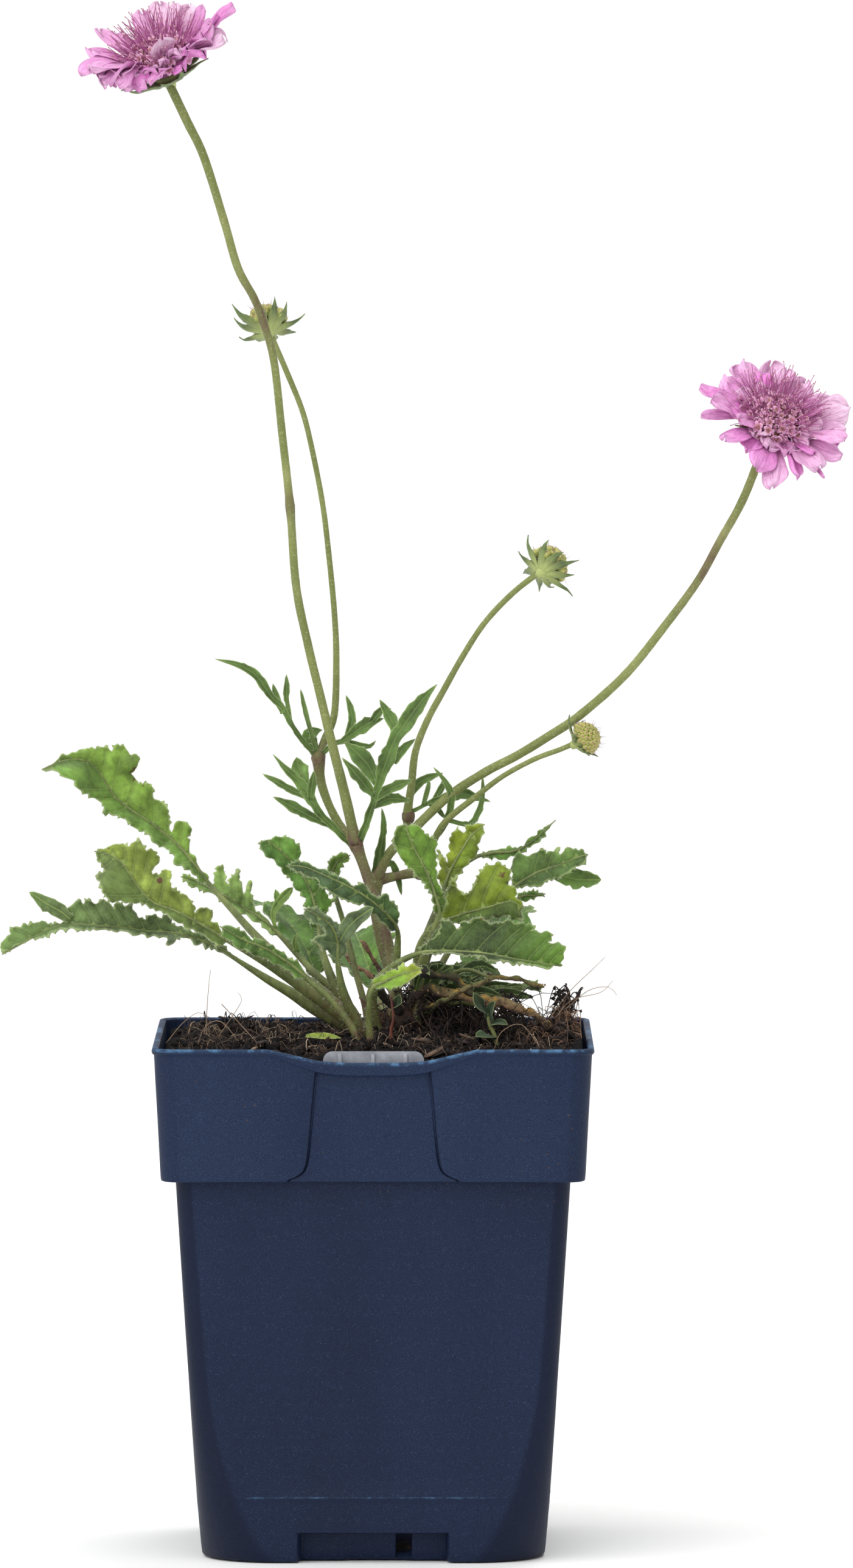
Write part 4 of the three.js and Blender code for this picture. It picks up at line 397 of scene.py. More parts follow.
# pale blue: scuffing on the rim top, and a painted highlight on the moulded line
scuffs_and_highlight = pot_plastic.sums("MULTIPLY", pot_plastic.mark("wear"),
                          pot_plastic.between(pot_plastic.grain(4, 6), 0.5, 0.62, 0.1, 1.0))
blue = pot_plastic.blend(scuffs_and_highlight, blue, paint(96, 142, 184))
specks = pot_plastic.sums("MULTIPLY", pot_plastic.between(pot_plastic.cells(2.6), 0.14, 0.07),
                          pot_plastic.between(pot_plastic.grain(22), 0.52, 0.62))
specks = pot_plastic.sums("MULTIPLY", specks, pot_plastic.between(height, 0.07, 0.118))
blue = pot_plastic.blend(specks, blue, paint(70, 58, 52))
pot_plastic.put("Base Color", blue)
pot_plastic.put("Roughness", pot_plastic.between(broad, 0.3, 0.7, 0.42, 0.58))
pot_plastic.relief(fine, 0.1)
pot_plastic.relief(pot_plastic.grain(60, 2), 0.9)
pot.build("pot_shell", [pot_plastic], "pot_plastic", ["pot"], crease=38)

# Label pocket
# A plate with three short ribs, moulded on the inside of the front wall so that a plant label can be
# slid in behind the dipped rim. It is of the pot's blue plastic; its grey-lilac is a painted reflection.
label = Shape()


def slab(shape, outline, y0, y1, **marks):
    """A flat outline in x and z, given thickness along y."""
    front = [(x, y0, z) for x, z in outline]
    back = [(x, y1, z) for x, z in outline]
    return shape.add(*loft([front, back]), **marks)


def soft_box(shape, x0, x1, y0, y1, z0, z1, bevel=0.18):
    rings = []
    for y, inset in ((y0, bevel), (y0 + bevel, 0.0), (y1 - bevel, 0.0), (y1, bevel)):
        a, b, c, d = x0 + inset, x1 - inset, z0 + inset, z1 - inset
        rings.append([(a + bevel, y, c), (b - bevel, y, c), (b, y, c + bevel), (b, y, d - bevel),
                      (b - bevel, y, d), (a + bevel, y, d), (a, y, d - bevel), (a, y, c + bevel)])
    return shape.add(*loft(rings))


plate_outline = [(-12.4, 112), (12.7, 112)]
for centre_x, start in ((10.4, 0), (-10.1, 90)):
    for i in range(7):
        angle = math.radians(start + 15 * i)
        plate_outline.append((centre_x + 2.3 * math.cos(angle), 126.0 + 2.3 * math.sin(angle)))
slab(label, plate_outline, -51.25, -50.0)
for x in (-8.2, 0.0, 8.1):
    soft_box(label, x - 0.5, x + 0.5, -51.95, -51.1, 121, 127.8)
for x in (-11.8, 12.1):
    soft_box(label, x - 0.6, x + 0.6, -51.9, -51.1, 112, 121)

# painted reflection: blue plastic painted grey-lilac for the bright light that it reflects at a glancing
# angle
label_reflection_paint = mottled("label_pocket_painted_reflection", 0.45, 3, 4, (121, 124, 132), (156, 158, 166))
label_reflection_paint.relief(label_reflection_paint.grain(0.8, 3), 0.04)
label.build("label_pocket", [label_reflection_paint], "pot_plastic", ["pot"], crease=40)

# Potting soil
# Dark peaty compost that fills the pot: a lumpy top with crumbs, bits of bark and curved tan
# fibres pressed into it and lying over it, some of them reaching above the rim.
GOLDEN_ANGLE = 2.399963
soil_random = random.Random(4)


def smooth_run(points, spacing):
    """A smooth run through the given points, its steps about one spacing long."""
    given = [Vector(point) for point in points]
    ends = [given[0] * 2 - given[1], *given, given[-1] * 2 - given[-2]]
    run = []
    for a, b, c, d in zip(ends, ends[1:], ends[2:], ends[3:]):
        count = max(1, round((c - b).length / spacing))
        for i in range(count):
            t = i / count
            run.append(0.5 * (2 * b + (c - a) * t + (2 * a - 5 * b + 4 * c - d) * t * t
                              + (3 * b - a - 3 * c + d) * t ** 3))
    return run + [given[-1]]


def along(values, share):
    place = min(max(share, 0.0), 1.0) * (len(values) - 1)
    index = min(int(place), len(values) - 2)
    return values[index] + (values[index + 1] - values[index]) * (place - index)


def tube(run, radius_at, sides=12):
    """A round stalk along a run; radius_at gives its radius from the share run and the angle."""
    normal = Vector((0.31, 0.77, 0.55))
    rings, last = [], len(run) - 1
    for i, centre in enumerate(run):
        tangent = (run[min(i + 1, last)] - run[max(i - 1, 0)]).normalized()
        normal = (normal - tangent * normal.dot(tangent)).normalized()
        other = tangent.cross(normal)
        rings.append([])
        for angle in turns(sides):
            radius = radius_at(i / last, angle)
            rings[-1].append(centre + (normal * math.cos(angle) + other * math.sin(angle)) * radius)
    return loft(rings)


def scatter(rng, reach):
    """A random way, no further than one reach along each axis."""
    return Vector([rng.uniform(-reach, reach) for _ in range(3)])


def soil_height(x, y):
    mound = 3 * math.exp(-((x - 8) ** 2 + y * y) / 500)
    waves = math.sin(x * 0.42 + 1.3 * math.sin(y * 0.21))
    clods = 0.9 * waves * math.cos(y * 0.37 + 0.8 * math.sin(x * 0.19))
    return 127 + mound + clods + 0.5 * math.sin(x * 0.9 + y * 1.1)


def soil_top(x, y):
    where = Vector((x, y, 3.0))
    rough = 2.0 * noise.noise(where * 0.16) + 1.4 * noise.noise(where * 0.42)
    rough += 0.9 * noise.noise(where * 1.0) + 0.4 * noise.noise(where * 2.1)
    near_wall = step(max(abs(x), abs(y)), 44, 51) * (1 - step(x, 30, 44))
    root_mat = 4.5 * math.exp(-((x - 25) / 13) ** 2 - ((y + 7) / 11) ** 2)
    root_mat += 4.5 * math.exp(-((x - 46) / 7) ** 2 - ((y + 9) / 13) ** 2)
    root_mat += 3.5 * math.exp(-((x + 14) / 4) ** 2 - ((y + 8) / 6) ** 2)
    root_mat += 3.0 * math.exp(-((x - 50) / 5) ** 2 - ((y + 26) / 16) ** 2)
    return soil_height(x, y) + rough + root_mat * (1 + 0.4 * noise.noise(where * 0.5)) - 1.2 * near_wall


def square_ring(half, corner, z, steps=10, straight=9):
    ring = []
    for quarter in range(4):
        turn = Matrix.Rotation(quarter * math.pi / 2, 3, "Z")
        flat = half - corner
        for i in range(straight):
            ring.append(turn @ Vector((flat * (2 * i / straight - 1), -half, z)))
        for i in range(steps):
            angle = (i / steps - 1) * math.pi / 2
            ring.append(turn @ Vector((flat + corner * math.cos(angle),
                                       -flat + corner * math.sin(angle), z)))
    return ring


SOIL_WALL = 52.9
soil = Shape()
rings = [square_ring(half, corner, z, 10, 30) for z, half, corner in (
    (2.0, 41.5, 16.5), (8, 41.9, 12.5), (28, 43.2, 5.8), (96.4, 47.4, 3.2), (98.2, 50.5, 3.8),
    (124, SOIL_WALL, 4.0))]
for ring in rings[:2]:
    for point in ring:
        for axis in (0, 1):
            if abs(point[1 - axis]) < 21 and abs(point[axis]) > 36:
                point[axis] = math.copysign(36.2, point[axis])
for level in range(1, 58):
    share = 1 - level / 58
    flat_ring = square_ring(SOIL_WALL * share, SOIL_WALL * share * (0.08 + 0.85 * (1 - share)), 0, 10, 30)
    rings.append([Vector((p.x, p.y, soil_top(p.x, p.y))) for p in flat_ring])
for ring in rings[5:]:
    for point in ring:
        if -13.2 < point.x < 13.5 and point.y < -49.4:
            point.y = -49.4
soil.add(*loft(rings))

BALL = []
for i in range(12):
    flat = 1 - 2 * (i + 0.5) / 12
    round_part = math.sqrt(1 - flat * flat)
    BALL.append(Vector((math.cos(i * GOLDEN_ANGLE) * round_part,
                        math.sin(i * GOLDEN_ANGLE) * round_part, flat)))


def hull(points):
    """Faces of the closed skin round a few points."""
    net = bmesh.new()
    for point in points:
        net.verts.new(point)
    bmesh.ops.convex_hull(net, input=net.verts)
    net.verts.ensure_lookup_table()
    loose = [vert for vert in net.verts if not vert.link_faces]
    bmesh.ops.delete(net, geom=loose, context="VERTS")
    net.verts.index_update()
    made = [vert.co.copy() for vert in net.verts], [[v.index for v in face.verts] for face in net.faces]
    net.free()
    return made


def soil_spot(inset=3.0):
    limit = SOIL_WALL - inset
    while True:
        x, y = soil_random.uniform(-limit, limit), soil_random.uniform(-limit, limit)
        if not (-15 < x < 15.5 and y < -47.5):
            return x, y


CRUMBS = 3600
for i in range(CRUMBS):
    x, y = soil_spot()
    size = soil_random.choice((0.25, 0.35, 0.45, 0.6, 0.8, 1.2)) * soil_random.uniform(0.8, 1.2)
    long_way = scatter(soil_random, 1).normalized()
    centre = Vector((x, y, soil_top(x, y) + size * soil_random.uniform(0.1, 0.7)))
    bumps = [centre + (p + long_way * p.dot(long_way) * 0.8) * size * soil_random.uniform(0.35, 1.15)
             for p in BALL[i % 3::2]]
    soil.add(*hull(bumps), shade=soil_random.random() ** 3 * 0.8)
# larger clods that stand above the rim
for x, y, size in ((-40, -24, 3.2), (-30, -38, 2.4), (-22, -30, 2.8), (-12, -36, 2.2), (38, -32, 3.0),
                   (27, -36, 2.3), (44, 12, 3.0), (-44, 8, 3.2), (-26, 34, 3.0), (16, 38, 3.2),
                   (33, 28, 2.6), (-8, 30, 2.4), (20, -30, 2.2), (47, -30, 2.4), (-34, 20, 2.6)):
    for part in range(5):
        spot = Vector((x + soil_random.uniform(-size, size), y + soil_random.uniform(-size, size), 0))
        spot.z = soil_top(spot.x, spot.y) + size * 0.2
        radius = size * soil_random.uniform(0.45, 0.9)
        bumps = [spot + Vector((p.x, p.y, p.z * 0.8)) * radius * soil_random.uniform(0.7, 1.1)
                 for p in BALL]
        soil.add(*hull(bumps), shade=soil_random.random() * 0.35)

peat = Finish("dark_peat", 0.95, {"Specular IOR Level": 0.2})
peat_tone = peat.ramp(peat.grain(1.6, 6), [(0.34, paint(5, 4, 6)), (0.54, paint(17, 14, 15)),
                                           (0.72, paint(42, 34, 32))])
peat_tone = peat.blend(peat.mark("shade"), peat_tone, paint(74, 58, 49))
peat.put("Base Color", peat_tone)
peat.relief(peat.grain(0.9, 5), 0.5)
soil.build("potting_soil", [peat], "potting_soil", ["soil"])

fibres = Shape()
FIBRES = 1900
for i in range(FIBRES):
    x, y = soil_spot(4.5)
    length = soil_random.choice((3, 5, 7, 10, 14)) * soil_random.uniform(0.8, 1.2)
    heading = soil_random.uniform(0, 2 * math.pi)
    curl = soil_random.uniform(-1.1, 1.1)
    rise = soil_random.choice((0.3, 0.8, 1.6, 2.8)) * soil_random.uniform(0.6, 1.3)
    run = []
    for j in range(7):
        t = j / 6
        x = min(48.5, max(-48.5, x + math.cos(heading + curl * t) * length / 6))
        y = min(48.5, max(-48.5, y + math.sin(heading + curl * t) * length / 6))
        run.append(Vector((x, y, soil_top(x, y) + 0.1 + rise * math.sin(math.pi * t) ** 2)))
    thick = soil_random.choice((0.05, 0.07, 0.09, 0.16)) * soil_random.uniform(0.8, 1.2)
    points, faces = tube(run, lambda t, angle: thick * (1 - 0.5 * t), 5)
    fibres.add(points, faces, shade=soil_random.random() ** 2)
# a few long fibres that stand up out of the soil, each through four points
for run in ([(-42, -12, 128), (-42, -12, 134), (-41.5, -12, 141), (-41, -12, 146)],
            [(-44, -30, 128), (-42, -32, 133), (-38, -34, 134.5), (-33, -36, 129)],
            [(-40, -20, 128), (-36, -22, 134), (-33, -23, 139), (-34, -23, 141)],
            [(-38, -22, 138), (-34, -26, 134), (-30, -30, 130), (-27, -33, 127)],
            [(44, -20, 134), (49, -22, 141), (55, -24, 147), (58, -25, 150)],
            [(48, -14, 136), (54, -16, 141), (59, -18, 142), (61, -18, 140)],
            [(46, -16, 135), (50, -20, 139), (57, -22, 141), (60, -23, 144)],
            [(-52, -20, 128), (-48, -22, 133), (-44, -24, 136), (-41, -26, 135)],
            [(30, -34, 127), (32, -36, 132), (37, -38, 134), (42, -40, 128)]):
    points, faces = tube(smooth_run(run, 1.2), lambda t, a: 0.13 - 0.07 * t, 5)
    fibres.add(points, faces, shade=0.75)
# bits of bark and straw
for i in range(150):
    x, y = soil_spot(4)
    heading, size = soil_random.uniform(0, math.pi), soil_random.uniform(1.2, 3.6)
    ahead = Vector((math.cos(heading), math.sin(heading), soil_random.uniform(-0.3, 0.4)))
    beside = ahead.cross(Vector((0, 0, 1))).normalized()
    centre = Vector((x, y, soil_top(x, y) + 0.5))
    corners = [centre + ahead * size * a + beside * size * b * 0.35 + Vector((0, 0, c)) * 0.3
               for a, b, c in ((1, 0.2, 1), (0.7, 1, 0), (-0.8, 0.8, 1), (-1, -0.3, 0.4), (-0.6, -1, 1),
                               (0.8, -0.7, 0), (0.2, 0.6, -1), (-0.3, -0.6, -1))]
    fibres.add(*hull(corners), shade=soil_random.random() * 0.8)
straw = Finish("tan_fibre", 0.85)
straw.put("Base Color", straw.blend(
    straw.between(straw.grain(3, 3), 0.35, 0.7, 0.0, 0.5),
    straw.ramp(straw.mark("shade"), [(0.0, paint(24, 19, 21)), (0.35, paint(54, 41, 37)),
                                     (0.7, paint(134, 108, 86)), (1.0, paint(216, 194, 166))]),
    paint(48, 36, 30)))
straw.relief(straw.grain(0.5, 3), 0.06)
fibres.build("soil_fibres", [straw], "potting_soil", ["soil"])

# Woody crown
# The old base of the plant: a knobbly purple-brown crown, rhizomes that arch over the soil, dry
# stalks of last year and a clump of roots at the right-hand rim. It grew as one piece.
# radii along each run, and the points it goes through
WOOD = [
    # dark arching rhizome
    ([1.5, 1.6, 1.4, 1.2], [
        (9, -8, 134), (2.5, -13.5, 139), (1.5, -16, 143.5), (7, -17, 145.5), (14.5, -17.5, 145.5),
        (21, -18, 143.5), (27, -19, 139)]),
    # tan rhizome running to the right
    ([1.4, 1.7, 1.7, 1.5, 1.3], [
        (9, -10, 137), (13, -14, 141), (19, -17, 140.5), (27, -19, 139), (33, -20, 138),
        (39, -20, 135.5), (44.5, -18, 132), (48, -17, 127.5)]),
    # old cut stub
    ([1.3, 1.5, 1.3, 1.2], [
        (11.5, -10, 135.5), (16, -17, 138), (21, -22, 140.5), (25.5, -25, 143), (31.5, -25, 145),
        (37.5, -25, 144.5), (43, -24, 142)]),
    # dry stalks
    ([1.1, 0.8, 0.6], [
        (7.5, 10, 130.5), (4, 14, 135.5), (1, 20, 140.5), (-4, 23, 144), (-9, 24, 148.5)]),
    ([1.0, 0.8, 0.6], [
        (8, 12, 129.5), (6, 17, 134.5), (4, 22, 139.5), (0.5, 22, 145), (-2.5, 22, 151)]),
    # clump of roots by the right-hand rim
    ([2.2, 2.6, 1.8, 1.2], [(44.5, -17, 131.5), (47.5, -12, 134.5), (49, -8, 138), (48.5, -6, 141.5)]),
    ([1.4, 1.6, 1.0], [(48.5, -9, 136.5), (51, -8, 138.5), (52.5, -8, 141.5)]),
]
# for each of them: how dark or tan, how green, and how thick beside the sizes above
WOOD_LOOKS = ((0.1, 0.25, 0.7), (0.72, 0.4, 0.68), (0.42, 0.8, 0.46), (0.75, 0, 0.8), (0.7, 0, 0.8),
              (0.05, 0, 0.3), (0.05, 0, 0.3))
# the knobbly body of the crown: middle and half sizes of each lump
WOOD_LUMPS = [([8.5, -3, 129.5], [7.5, 8, 8]), ([8.5, 9.5, 129.5], [6.5, 7, 7.5]),
              ([46, -17, 129.5], [4, 4, 4])]
crown_random = random.Random(12)
crown = Shape()
for (radii, points), (shade, green, thickness) in zip(WOOD, WOOD_LOOKS):
    run = smooth_run(points, 0.8)
    offset = crown_random.uniform(0, 50)
    sway = [Vector((noise.noise(p * 0.3), noise.noise(p * 0.3 + Vector((7, 0, 0))),
                    noise.noise(p * 0.3 + Vector((0, 9, 0))))) * 0.9 for p in run]
    run = [point + move for point, move in zip(run, sway)]

    def bark(t, angle, radii=radii, offset=offset, length=len(run)):
        knots = 0.6 * noise.noise(Vector((t * length * 0.4, offset, 0)))
        ridges = 0.24 * noise.noise(Vector((t * length * 0.3, 2.4 * math.cos(angle),
                                            2.4 * math.sin(angle) + offset)))
        end = math.sqrt(max(0.05, 1 - max(0.0, (t - 0.97) / 0.03) ** 2))
        return along(radii, t) * thickness * (1 + knots + ridges) * end
    points, faces = tube(run, bark, 14)
    crown.add(points, faces, shade=[shade * (0.2 + 0.8 * step(abs(p[0] - 9), 4, 13)) for p in points],
              green=[green * step(abs(p[0] - 9), 2, 8) for p in points])
    # flakes of bark and the stumps of rootlets along it
    for i in range(len(run)):
        way = scatter(crown_random, 1).normalized()
        size = along(radii, i / len(run)) * thickness
        foot = run[i] + way * size * 0.6
        flake = [foot + p * crown_random.uniform(0.15, 0.55) + way * size * crown_random.uniform(0, 0.9)
                 for p in BALL[::2]]
        tone = max(0, min(1, shade + crown_random.uniform(-0.6, 0.3)))
        crown.add(*hull(flake), shade=tone, green=green * 0.5)

for centre, size in WOOD_LUMPS:
    for part in range(16):
        way = BALL[part % 12] * crown_random.uniform(0.3, 0.8)
        spot = Vector([centre[k] + way[k] * size[k] for k in range(3)])
        radius = min(size) * crown_random.uniform(0.24, 0.5)
        rings = []
        for ring in range(1, 10):
            tilt = math.pi * ring / 10
            rings.append([])
            for angle in turns(14):
                way = Vector((math.sin(tilt) * math.cos(angle), math.sin(tilt) * math.sin(angle),
                              math.cos(tilt)))
                swell = radius * (1 + 0.28 * noise.noise(way * 2 + spot))
                rings[-1].append(spot + way * swell)
        crown.add(*loft(rings), shade=crown_random.uniform(0.0, 0.3))
# scales and old leaf bases that stand up round the crown
for i in range(46):
    angle = i * GOLDEN_ANGLE
    reach = crown_random.uniform(3, 8.5)
    foot = Vector((8.2 + reach * math.cos(angle), 2.5 + reach * 1.25 * math.sin(angle), 130.5))
    lean = Vector((math.cos(angle) * 0.7, math.sin(angle) * 0.7, crown_random.uniform(0.6, 1.3)))
    length = crown_random.uniform(3, 8)
    run = [foot + lean * length * t + Vector((0, 0, -1.2 * t * t)) for t in (0, 0.25, 0.5, 0.75, 1)]
    wide = crown_random.uniform(0.3, 0.75)
    points, faces = tube(run, lambda t, a: wide * (1 - 0.75 * t) * (1 + 0.25 * math.cos(2 * a)), 7)
    crown.add(points, faces, shade=crown_random.uniform(0.1, 0.7))
# thin roots: where they start, the spread of their starts, how many, length, radius, shade
ROOT_TANGLES = (
    ((47.5, -12, 134), (2, 3, 2), 80, (4, 11), (0.09, 0.24), (0.3, 0.9)),
    ((48, -8.5, 138), (1.4, 1.6, 3.4), 110, (1.5, 5), (0.1, 0.3), (0.0, 0.3)),
    ((9, 0, 134), (6, 6, 3), 90, (4, 14), (0.1, 0.35), (0.0, 0.6)),
    ((24, -8, 136), (13, 7, 3), 300, (4, 15), (0.08, 0.3), (0.0, 0.3)),
    ((15, -2, 138), (7, 8, 4), 160, (4, 13), (0.12, 0.45), (0.0, 0.25)),
    ((45, -20, 130), (6, 15, 1.5), 200, (3, 9), (0.07, 0.18), (0.1, 0.8)),
    ((34, -21, 134), (10, 2, 3), 90, (2, 8), (0.07, 0.2), (0.0, 0.3)),
)
for centre, spread, count, lengths, sizes, shades in ROOT_TANGLES:
    for i in range(count):
        base = Vector([centre[k] + crown_random.uniform(-spread[k], spread[k]) for k in range(3)])
        base.z = min(base.z, soil_top(base.x, base.y) + 8)
        heading = Vector([crown_random.uniform(-1, 1), crown_random.uniform(-1, 1),
                          crown_random.uniform(-0.4, 0.7)])
        long = crown_random.uniform(*lengths)
        swing = scatter(crown_random, 0.5) * long
        run = []
        for j in range(9):
            t = j / 8
            spot = base + heading * long * t + swing * math.sin(3.5 * t) - Vector((0, 0, long * t * t))
            spot.x, spot.y = min(52, spot.x), max(-50, spot.y)
            spot.z = max(spot.z, soil_top(spot.x, spot.y) - 0.2)
            run.append(spot)
        thick = crown_random.uniform(*sizes)
        points, faces = tube(run, lambda t, a: thick * (0.7 - 0.4 * t), 5)
        crown.add(points, faces, shade=crown_random.uniform(*shades), green=0.0)
        if thick > 0.2:
            clot = [run[4] + p * crown_random.uniform(0.3, 1.0) for p in BALL[::2]]
            crown.add(*hull(clot), shade=0.0, green=0.0)

old_wood = Finish("old_wood", 0.85)
fleck = old_wood.grain(1.6, 5)
old_tone = old_wood.ramp(old_wood.mark("shade"), [
    (0.0, paint(30, 24, 25)), (0.3, paint(72, 52, 43)), (0.6, paint(150, 114, 88)),
    (0.85, paint(182, 144, 112)), (1.0, paint(196, 168, 136))])
upward = old_wood.node("ShaderNodeSeparateXYZ", {
    "Vector": old_wood.node("ShaderNodeNewGeometry").outputs["Normal"]}).outputs["Z"]
greened = old_wood.sums("MULTIPLY", old_wood.mark("green"), old_wood.between(upward, -0.4, 0.5, 0.3, 1.0))
old_tone = old_wood.blend(greened, old_tone, paint(128, 132, 74))
old_tone = old_wood.blend(old_wood.between(fleck, 0.46, 0.7, 0.0, 0.75), old_tone, paint(40, 30, 27))
golden = old_wood.sums("MULTIPLY", old_wood.between(old_wood.grain(6, 2), 0.5, 0.6, 0.0, 0.85),
                       old_wood.between(upward, 0.0, 0.6))
golden = old_wood.sums("MULTIPLY", golden, old_wood.between(old_wood.mark("green"), 0.15, 0.3))
old_tone = old_wood.blend(golden, old_tone, paint(204, 158, 66))
old_wood.put("Base Color", old_tone)
old_wood.relief(fleck, 0.9)
old_wood.relief(old_wood.grain(3.2, 5), 1.2)
crown.build("woody_crown", [old_wood], "crown_wood", ["crown"])

